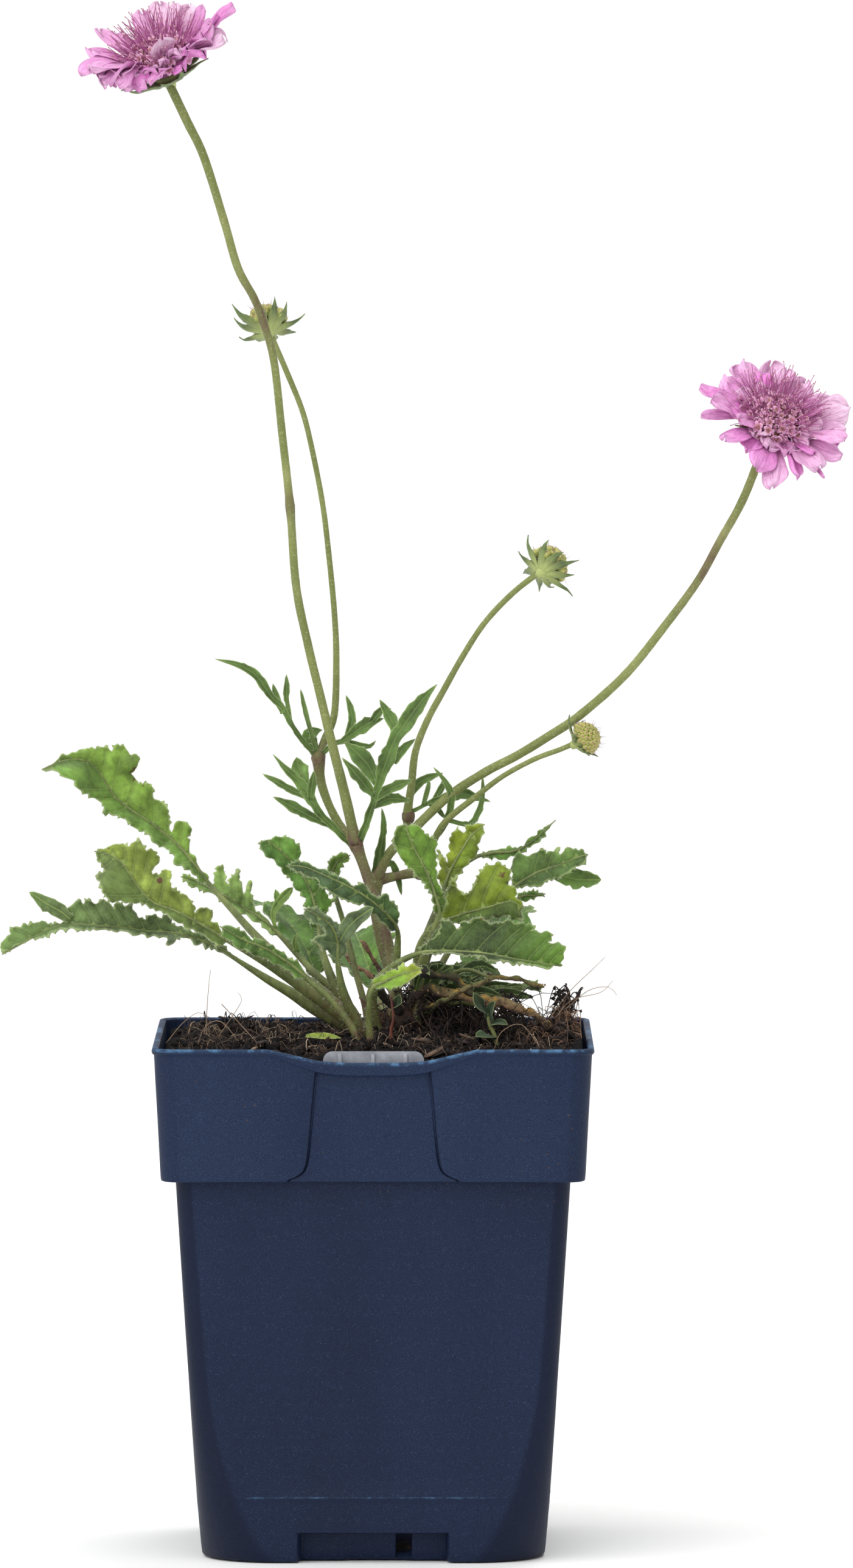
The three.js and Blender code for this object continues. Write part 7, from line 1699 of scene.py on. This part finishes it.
# Open blooms
# Each bloom is a shallow bowl of thin pink tissue: ray florets cut into rounded ruffled lobes, each
# grown its own way, smaller lobes inside them, and a dome of tiny pale cups with thin dark styles.
# each lobe: turn in degrees, reach, lift, half width, paleness
RAY_LOBES = {
    "left_flower": [
        (199, 20.4, 12.2, 3.6, 0.45), (213, 19.6, 13.6, 3.4, 0.6), (221, 19.0, 9.2, 3.2, 0.4),
        (209, 17.5, 7.6, 2.4, 0.7), (150, 18.5, 12.4, 2.0, 0.5), (128, 17.4, 14.0, 2.0, 0.6),
        (121, 13.6, 11.8, 1.2, 0.6), (232, 15.8, 9.2, 3.2, 0.6), (90, 17, 13.7, 2.6, 0.65),
        (72, 17.9, 13.6, 2.5, 0.9), (59, 17.4, 12.9, 2.4, 0.9), (42, 17.4, 11.2, 3.2, 1),
        (20, 16.6, 10.8, 2.4, 0.4), (4, 18, 8.5, 3.0, 0.1), (1, 22.4, 9.9, 1.3, 0.3),
        (340, 18.4, 5.4, 4.4, 0.95), (320, 14, 4.9, 3.6, 0.05), (308, 12.6, 8, 2.8, 0.2),
        (287, 11.5, 13.4, 2.9, 1), (266, 13, 6.5, 2.8, 0.3), (291, 12, 4.4, 2.2, 0.1),
        (240, 13.6, 4.4, 2.2, 0.15), (229, 15.2, 6.2, 1.8, 0.5), (150, 17, 11, 2.2, 0.5),
        (170, 17.5, 11, 2.8, 0.6), (186, 18.5, 11.5, 3.2, 0.5), (206, 17, 10, 3.4, 0.5),
        (224, 17, 8, 3.2, 0.45), (192, 16, 8.5, 3.2, 0.55), (250, 14, 5.5, 3.6, 0.35),
        (331, 15.5, 7, 3.4, 0.5), (352, 16, 8.5, 3, 0.5)],
    "right_flower": [
        (178, 20.8, 4.4, 1.5, 0.35), (206, 18.5, 8, 2.1, 0.5), (149, 18.5, 2.7, 2.1, 0.55),
        (139, 19.5, 3.9, 2, 0.6), (131, 19.5, 6.1, 2, 0.6), (111, 18.5, 5.8, 3, 0.8),
        (95, 17.1, 6.7, 2.4, 0.8), (123, 14.5, 6.2, 1.6, 0.1), (208, 20, 3.3, 1.5, 0.5),
        (233, 17.7, 4.2, 2.6, 0.3), (268, 18.7, 2.5, 2.9, 0.3), (256, 15.5, 3.3, 2.2, 0.2),
        (284, 21.4, 0.7, 2.4, 0.75), (300, 20.2, 3.9, 1.4, 0.3), (317, 22, 5, 0.7, 0.4),
        (316, 20, 6.4, 3.3, 0.7), (342, 19.7, 6.8, 2.1, 0.6), (341, 18.7, 11.6, 2.5, 0.6),
        (28, 18.8, 9.3, 3.3, 0.95), (50, 16.6, 6.4, 2.6, 0.9), (63, 15, 4.9, 1.9, 0.8),
        (321, 15.5, 7.4, 1.8, 0.05), (352, 17, 4.9, 1.6, 0), (10, 17.5, 7.5, 2.2, 0.8),
        (78, 17, 6, 2.2, 0.8), (165, 16, 5, 2, 0.4), (192, 16.5, 6, 2, 0.5)],
}


def thin_sheet(shape, grid, thick, kind=0, **marks):
    """A closed thin sheet over a grid of points; marks are given point by point for one face."""
    rows, columns = len(grid), len(grid[0])
    top, under = [], []
    for i in range(rows):
        for j in range(columns):
            down = grid[min(i + 1, rows - 1)][j] - grid[max(i - 1, 0)][j]
            over = grid[i][min(j + 1, columns - 1)] - grid[i][max(j - 1, 0)]
            normal = down.cross(over).normalized() * thick / 2
            top.append(grid[i][j] + normal)
            under.append(grid[i][j] - normal)
    count = rows * columns
    faces = []
    for i in range(rows - 1):
        for j in range(columns - 1):
            a, b = i * columns + j, i * columns + j + 1
            faces.append([a, b, b + columns, a + columns])
            faces.append([count + a + columns, count + b + columns, count + b, count + a])
    border = list(range(columns)) + [i * columns + columns - 1 for i in range(1, rows)]
    border += [(rows - 1) * columns + j for j in range(columns - 2, -1, -1)]
    border += [i * columns for i in range(rows - 2, 0, -1)]
    for a, b in zip(border, border[1:] + border[:1]):
        faces.append([b, a, count + a, count + b])
    shape.add(top + under, faces, kind, **{name: list(values) * 2 for name, values in marks.items()})


def petal_lobe(shape, head, turn, start, reach, lift, wide, pale, rng, arch=0.0):
    """One rounded lobe of a ray floret, from its narrow claw to its ruffled notched end."""
    ruffle, phase = rng.uniform(0.6, 1.4) * min(1, wide / 2), rng.uniform(0, 6.3)
    cup, twist = rng.uniform(-0.15, 0.35), rng.uniform(-0.5, 0.5)
    lean, bow = rng.uniform(-1.5, 1.5), rng.uniform(0.4, 1.8) + arch
    notch, crease = rng.uniform(0.3, 1.0), rng.uniform(0.0, 0.5)
    angle = math.radians(turn)
    rows, columns = 22, 15
    grid, ups, overs, rims = [], [], [], []
    for i in range(rows):
        u = 1 - (1 - i / (rows - 1)) ** 1.5
        grow = 0.2 + 0.8 * step(u, 0.1, 0.78)
        close = max(0.0, 1 - max(0.0, (u - 0.74) / 0.262) ** 2.4) ** 0.5
        half = 1.3 * wide * grow * max(close, 0.1)
        row = []
        for j in range(columns):
            v = 2 * j / (columns - 1) - 1
            edge = u ** 4 * (0.18 * notch * (math.cos(v * 4.2 + phase) - 1)
                             + 0.05 * math.sin(v * 13 + phase))
            side = 1 + 0.04 * math.sin(u * 15 + phase + (2 if v > 0 else 0)) * abs(v)
            wave = ruffle * math.sin(v * 3.6 + phase + 3 * u) * u * u
            wave += 0.9 * noise.noise(Vector((v * 1.7, u * 3.0, phase * 9))) * (0.3 + u)
            height = (2.0 + (lift - 2.0) * u ** 1.15 + bow * math.sin(math.pi * u) + cup * half * v * v
                      + twist * half * v * u - crease * half * math.exp(-(v / 0.2) ** 2) * 0.35 + wave)
            row.append(head.at(start + (reach - start) * u + edge, angle, height,
                               half * v * side + lean * math.sin(math.pi * u * 0.8) * 0.8))
            ups.append(u)
            overs.append(v * wide + phase * 9)
            rims.append(min(1 - abs(v), (1 - u) * 2.5))
        grid.append(row)
    thin_sheet(shape, grid, 0.15, along=ups, across=overs, rim=rims, tone=[pale] * len(ups))


def ray_florets(name, seed):
    head, rng = Head(name), random.Random(seed)
    shape = Shape()
    dome(shape, head, 4.9, 1.3, 1.6, along=0.1, across=0.5, tone=0.3, rim=1.0)
    for turn, reach, lift, wide, pale in RAY_LOBES[name]:
        drooping = name == "left_flower" and 185 < turn < 245
        petal_lobe(shape, head, turn, 3.6, reach, lift, wide, pale, rng, 3.0 if drooping else 0.0)
    for i in range(16):
        petal_lobe(shape, head, 22.5 * i + rng.uniform(-6, 6), 3.8, rng.uniform(10.4, 13.4),
                   rng.uniform(4.6, 8.8), rng.uniform(1.7, 2.6), rng.uniform(0.2, 0.9), rng)
    return shape


petal_skin = Finish("petal_skin", 0.5, {"Subsurface Weight": 0.2, "Sheen Weight": 0.15,
                                        "Specular IOR Level": 0.25})
petal_skin.shader.inputs["Subsurface Radius"].default_value = (0.0018, 0.0009, 0.0016)
place_on = petal_skin.node("ShaderNodeCombineXYZ", {
    "X": petal_skin.mark("across"),
    "Y": petal_skin.sums("MULTIPLY", petal_skin.mark("along"), 1.2)}).outputs[0]
fine_veins = petal_skin.node("ShaderNodeTexNoise", {
    "Vector": place_on, "Scale": 3.6, "Detail": 4.0}).outputs["Fac"]
pinks = petal_skin.ramp(petal_skin.mark("along"), [
    (0.0, paint(146, 62, 122)), (0.3, paint(200, 90, 174)), (0.7, paint(226, 122, 206)),
    (1.0, paint(238, 156, 222))])
pale_pinks = petal_skin.ramp(petal_skin.mark("along"), [
    (0.0, paint(186, 110, 162)), (0.4, paint(228, 172, 212)), (1.0, paint(243, 214, 234))])
pinks = petal_skin.blend(petal_skin.between(petal_skin.mark("tone"), 0.1, 0.95), pinks, pale_pinks)
pinks = petal_skin.blend(petal_skin.between(fine_veins, 0.46, 0.66, 0.0, 0.45), pinks, paint(168, 80, 146))
pinks = petal_skin.blend(petal_skin.between(petal_skin.grain(3.5, 4), 0.48, 0.72, 0.0, 0.35), pinks,
                         paint(166, 88, 150))
pinks = petal_skin.blend(petal_skin.between(petal_skin.mark("rim"), 0.09, 0.02, 0.0, 0.3), pinks,
                         paint(176, 100, 156))
petal_skin.put("Base Color", pinks)
petal_skin.relief(fine_veins, 0.4)
petal_skin.relief(petal_skin.grain(2.4, 3), 0.5)
for side, seed in (("left", 21), ("right", 23)):
    ray_florets(side + "_flower", seed).build(side + "_bloom_rays", [petal_skin], "petal_pink",
                                              [f"bloom_{side}_petals"])


def oriented(root, out, points):
    """Turns points drawn along z so that they stand on a root and look out."""
    turn = Vector((0, 0, 1)).rotation_difference(out)
    return [root + turn @ point for point in points]


def cup_floret(shape, root, out, size, rng):
    """One of the tiny florets of the dome: a pale tube that opens into five rounded lobes."""
    phase = rng.uniform(0, 6.3)
    rings = []
    for radius, height, lobed in ((0.4, 0, 0), (0.5, 1.0, 0), (0.75, 1.9, 0.05), (1.2, 2.5, 0.16),
                                  (1.62, 2.85, 0.26), (1.54, 3.0, 0.26), (1.0, 2.7, 0.12), (0.5, 2.0, 0)):
        ring = []
        for angle in turns(20):
            wave = 1 + lobed * (2 * abs(math.cos(2.5 * angle)) - 1)
            ring.append(Vector((math.cos(angle) * radius * wave, math.sin(angle) * radius * wave,
                                height + 1.6 * lobed * math.sin(2 * angle + phase))) * size)
        rings.append(oriented(root, out, ring))
    deep = [value for value in (0.0, 0.15, 0.4, 0.75, 1.0, 0.95, 0.5, 0.0) for _ in range(20)]
    shape.add(*loft(rings), along=deep, tone=rng.random())


DOME_FLORETS = 150


def bloom_centre(name, seed):
    head, rng = Head(name), random.Random(seed)
    shape = Shape()
    sweep, raised = (1.6, 2.2) if name == "left_flower" else (0.8, 0.0)
    dome(shape, head, 6.4, 6.0 + raised, 1.9, along=0.0, tone=0.4)
    for i in range(DOME_FLORETS):
        tilt = math.acos(1 - (i + 0.5) / DOME_FLORETS * 0.9)
        out = head.toward(tilt * 0.98, i * GOLDEN_ANGLE)
        root = head.centre + head.out(i * GOLDEN_ANGLE) * 5.9 * math.sin(tilt)
        root += head.up * (3.4 + (3.6 + raised) * math.cos(tilt))
        size = 0.44 + 0.28 * math.sin(tilt) ** 2
        root += out * rng.uniform(-0.4, 1.6)
        facing = (out + scatter(rng, 0.4)).normalized()
        cup_floret(shape, root, facing, size * rng.uniform(0.75, 1.3), rng)
        for extra in range(2):
            length = rng.uniform(4.0, 9.4) - 1.0 * math.sin(tilt)
            side = scatter(rng, 1)
            bow = (side - out * side.dot(out)) * rng.uniform(0.6, 2.4) + head.up * sweep * math.sin(tilt)
            foot = root + side * 0.45
            run = [foot + out * length * t + bow * t * t * 1.4 for t in (0, 0.2, 0.4, 0.6, 0.8, 1.0)]
            points, faces = tube(run, lambda t, a: 0.11 - 0.02 * t, 5)
            shape.add(points, faces, 1)
            knob = [run[-1] + p * 0.19 for p in BALL]
            shape.add(*hull(knob), kind=2)
    return shape


cup_skin = Finish("cup_skin", 0.5, {"Subsurface Weight": 0.1, "Specular IOR Level": 0.25})
cup_tone = cup_skin.ramp(cup_skin.mark("along"), [
    (0.0, paint(164, 118, 108)), (0.3, paint(210, 156, 152)), (0.65, paint(228, 164, 198)),
    (1.0, paint(248, 206, 236))])
cup_tone = cup_skin.blend(cup_skin.between(cup_skin.mark("tone"), 0.4, 1.0, 0.0, 0.5), cup_tone,
                          paint(206, 122, 180))
cup_skin.put("Base Color", cup_skin.blend(cup_skin.between(cup_skin.grain(1.1, 3), 0.45, 0.7, 0.0, 0.3),
                                          cup_tone, paint(164, 92, 134)))
style_skin = mottled("style_skin", 0.45, 3, 2, (142, 70, 116), (192, 116, 166),
                     {"Specular IOR Level": 0.25})
knob_skin = mottled("knob_skin", 0.5, 2, 2, (168, 112, 132), (206, 160, 160))
for side, seed in (("left", 22), ("right", 24)):
    bloom_centre(side + "_flower", seed).build(side + "_bloom_dome", [cup_skin, style_skin, knob_skin],
                                               "floret_pink", [f"bloom_{side}_centre"])

# Green buds and seed head
# Tight domes of round yellow-green floret buds on a core painted dark as the shade in the gaps between
# them, stiff purple bristles and fine white hairs, seated in the bracts of their stem. The two buds look
# away from the front.


def bud_dome(name, radius, height, count, size, bristles, seed):
    head, rng = Head(name), random.Random(seed)
    shape = Shape()
    # the core under the buds is painted dark: painted shade in the gaps between them
    dome(shape, head, radius * 0.93, height * 0.88, 0.6, kind=1, shade=0.0)
    for i in range(count):
        tilt = math.acos(1 - (i + 0.5) / count * 0.98)
        turn = i * GOLDEN_ANGLE
        out = head.toward(tilt, turn)
        seat = head.at(radius * 0.93 * math.sin(tilt), turn, 1.0 + (height - 0.3) * math.cos(tilt))
        grown = size * rng.uniform(0.85, 1.12)
        rings = []
        for k in range(1, 8):
            lean = math.pi * k / 8
            rings.append(oriented(seat, out, [
                Vector((math.cos(a) * math.sin(lean), math.sin(a) * math.sin(lean),
                        -1.15 * math.cos(lean))) * grown * (1 + 0.05 * math.cos(4 * a))
                for a in turns(12)]))
        tips = [value for value in (0, 0, 0.05, 0.1, 0.3, 0.6, 1.0) for _ in range(12)]
        shape.add(*loft(rings), shade=tips, tone=rng.random())
        for extra in range(bristles):
            way = out + scatter(rng, 0.45)
            start = seat + out * grown * 0.7 + scatter(rng, 0.4) * grown
            dark = rng.random() < 0.6
            hair(shape, start, way, rng.uniform(1.0, 2.5) if dark else rng.uniform(0.6, 1.7),
                 0.07 if dark else 0.045, 2 if dark else 3)
    return shape


bud_skin = Finish("bud_skin", 0.5)
bud_tone = bud_skin.ramp(bud_skin.mark("shade"), [
    (0.0, paint(112, 120, 50)), (0.35, paint(164, 168, 84)), (0.75, paint(182, 178, 104)),
    (1.0, paint(158, 132, 92))])
bud_skin.put("Base Color", bud_skin.blend(bud_skin.between(bud_skin.mark("tone"), 0.2, 1.0, 0.0, 0.45),
                                          bud_tone, paint(132, 140, 66)))
# painted shade: the dark finish of the core between the buds
bud_gap_painted_shade = mottled("bud_gap_painted_shade", 0.8, 1.5, 3, (40, 42, 24), (70, 68, 38))
bristle_skin = mottled("bristle_skin", 0.5, 2, 2, (92, 44, 78), (150, 92, 124))
for name, node, settings in (("bud_b", "bud_b_florets", (4.5, 4.8, 42, 1.15, 3, 41)),
                             ("bud_c", "bud_c_florets", (4.5, 4.8, 42, 1.15, 3, 42)),
                             ("seed", "seed_head_florets", (3.9, 4.0, 78, 0.72, 1, 43))):
    bud_dome(name, *settings).build(node + "_grown", [bud_skin, bud_gap_painted_shade, bristle_skin, white_hair],
                                    "bud_green", [node])

# Weed seedlings and fallen leaf
# Two small weeds that came up by themselves in the compost, one dark green and one on a red stalk,
# and a narrow yellow-green leaf that has dropped and lies flat on the soil.
seedling = Shape()
stalk_run = smooth_run([(31, -26, 126), (30.5, -26, 130), (29, -26, 133.5), (29, -26, 136.5)], 0.8)
seedling.add(*tube(stalk_run, lambda t, a: 0.6 - 0.15 * t, 9), kind=2, shade=0.2)
weed_up = Vector((0, -0.5, 1))
for points, half in (([(29, -26, 134), (29.3, -27, 136.5), (30.5, -28, 139.2)], [0.7, 2.2, 2.1, 1.2]),
                     ([(28.8, -26, 135.5), (26.8, -27, 138), (25, -27, 141.3)], [0.6, 1.8, 1.7, 0.9]),
                     ([(30, -26, 129.5), (28.5, -29, 130.8), (25.6, -31.5, 130.6)], [0.7, 2.1, 2.1, 1.2]),
                     ([(29, -26, 133), (31.5, -27, 133.9), (33.6, -28, 133.2)], [0.5, 1.3, 1.2, 0.7]),
                     ([(5.2, -25, 137), (6, -26.5, 138.2), (6.6, -27, 141)], [0.4, 1.3, 1.3, 0.6])):
    narrow_blade(seedling, points, half, weed_up, 0.15, hairs=False)
points, faces = tube(smooth_run([(5, -24, 126.5), (4.4, -24.5, 131), (5, -25, 135), (4.4, -25, 140)], 0.8),
                     lambda t, a: 0.5 - 0.2 * t, 9)
seedling.add(points, faces, kind=3, shade=1.0)
weed_skin = leaf_finish("weed_skin", (42, 62, 36), (36, 54, 32), (70, 92, 52), tip=(62, 78, 40))
red_stalk = Finish("red_weed_stalk", 0.5)
red_stalk.put("Base Color", red_stalk.ramp(red_stalk.grain(2, 3), [
    (0.3, paint(74, 34, 28)), (0.7, paint(120, 62, 44))]))
seedling.build("weed_seedling_grown", [weed_skin, white_hair, stem_skin, red_stalk], "leaf_green",
               ["weed_seedling"])

fallen = Shape()
narrow_blade(fallen, [(-17, -21, 129.9), (-12, -22, 129.7), (-8, -23, 129.5)], [0.7, 1.7, 1.5, 0.6],
             Vector((0, -0.4, 1)), 0.2, hairs=False)
fallen_skin = leaf_finish("fallen_leaf_skin", (126, 142, 48), (106, 124, 42))
fallen.build("fallen_leaf_grown", [fallen_skin, white_hair], "leaf_yellow_green", ["fallen_leaf"])
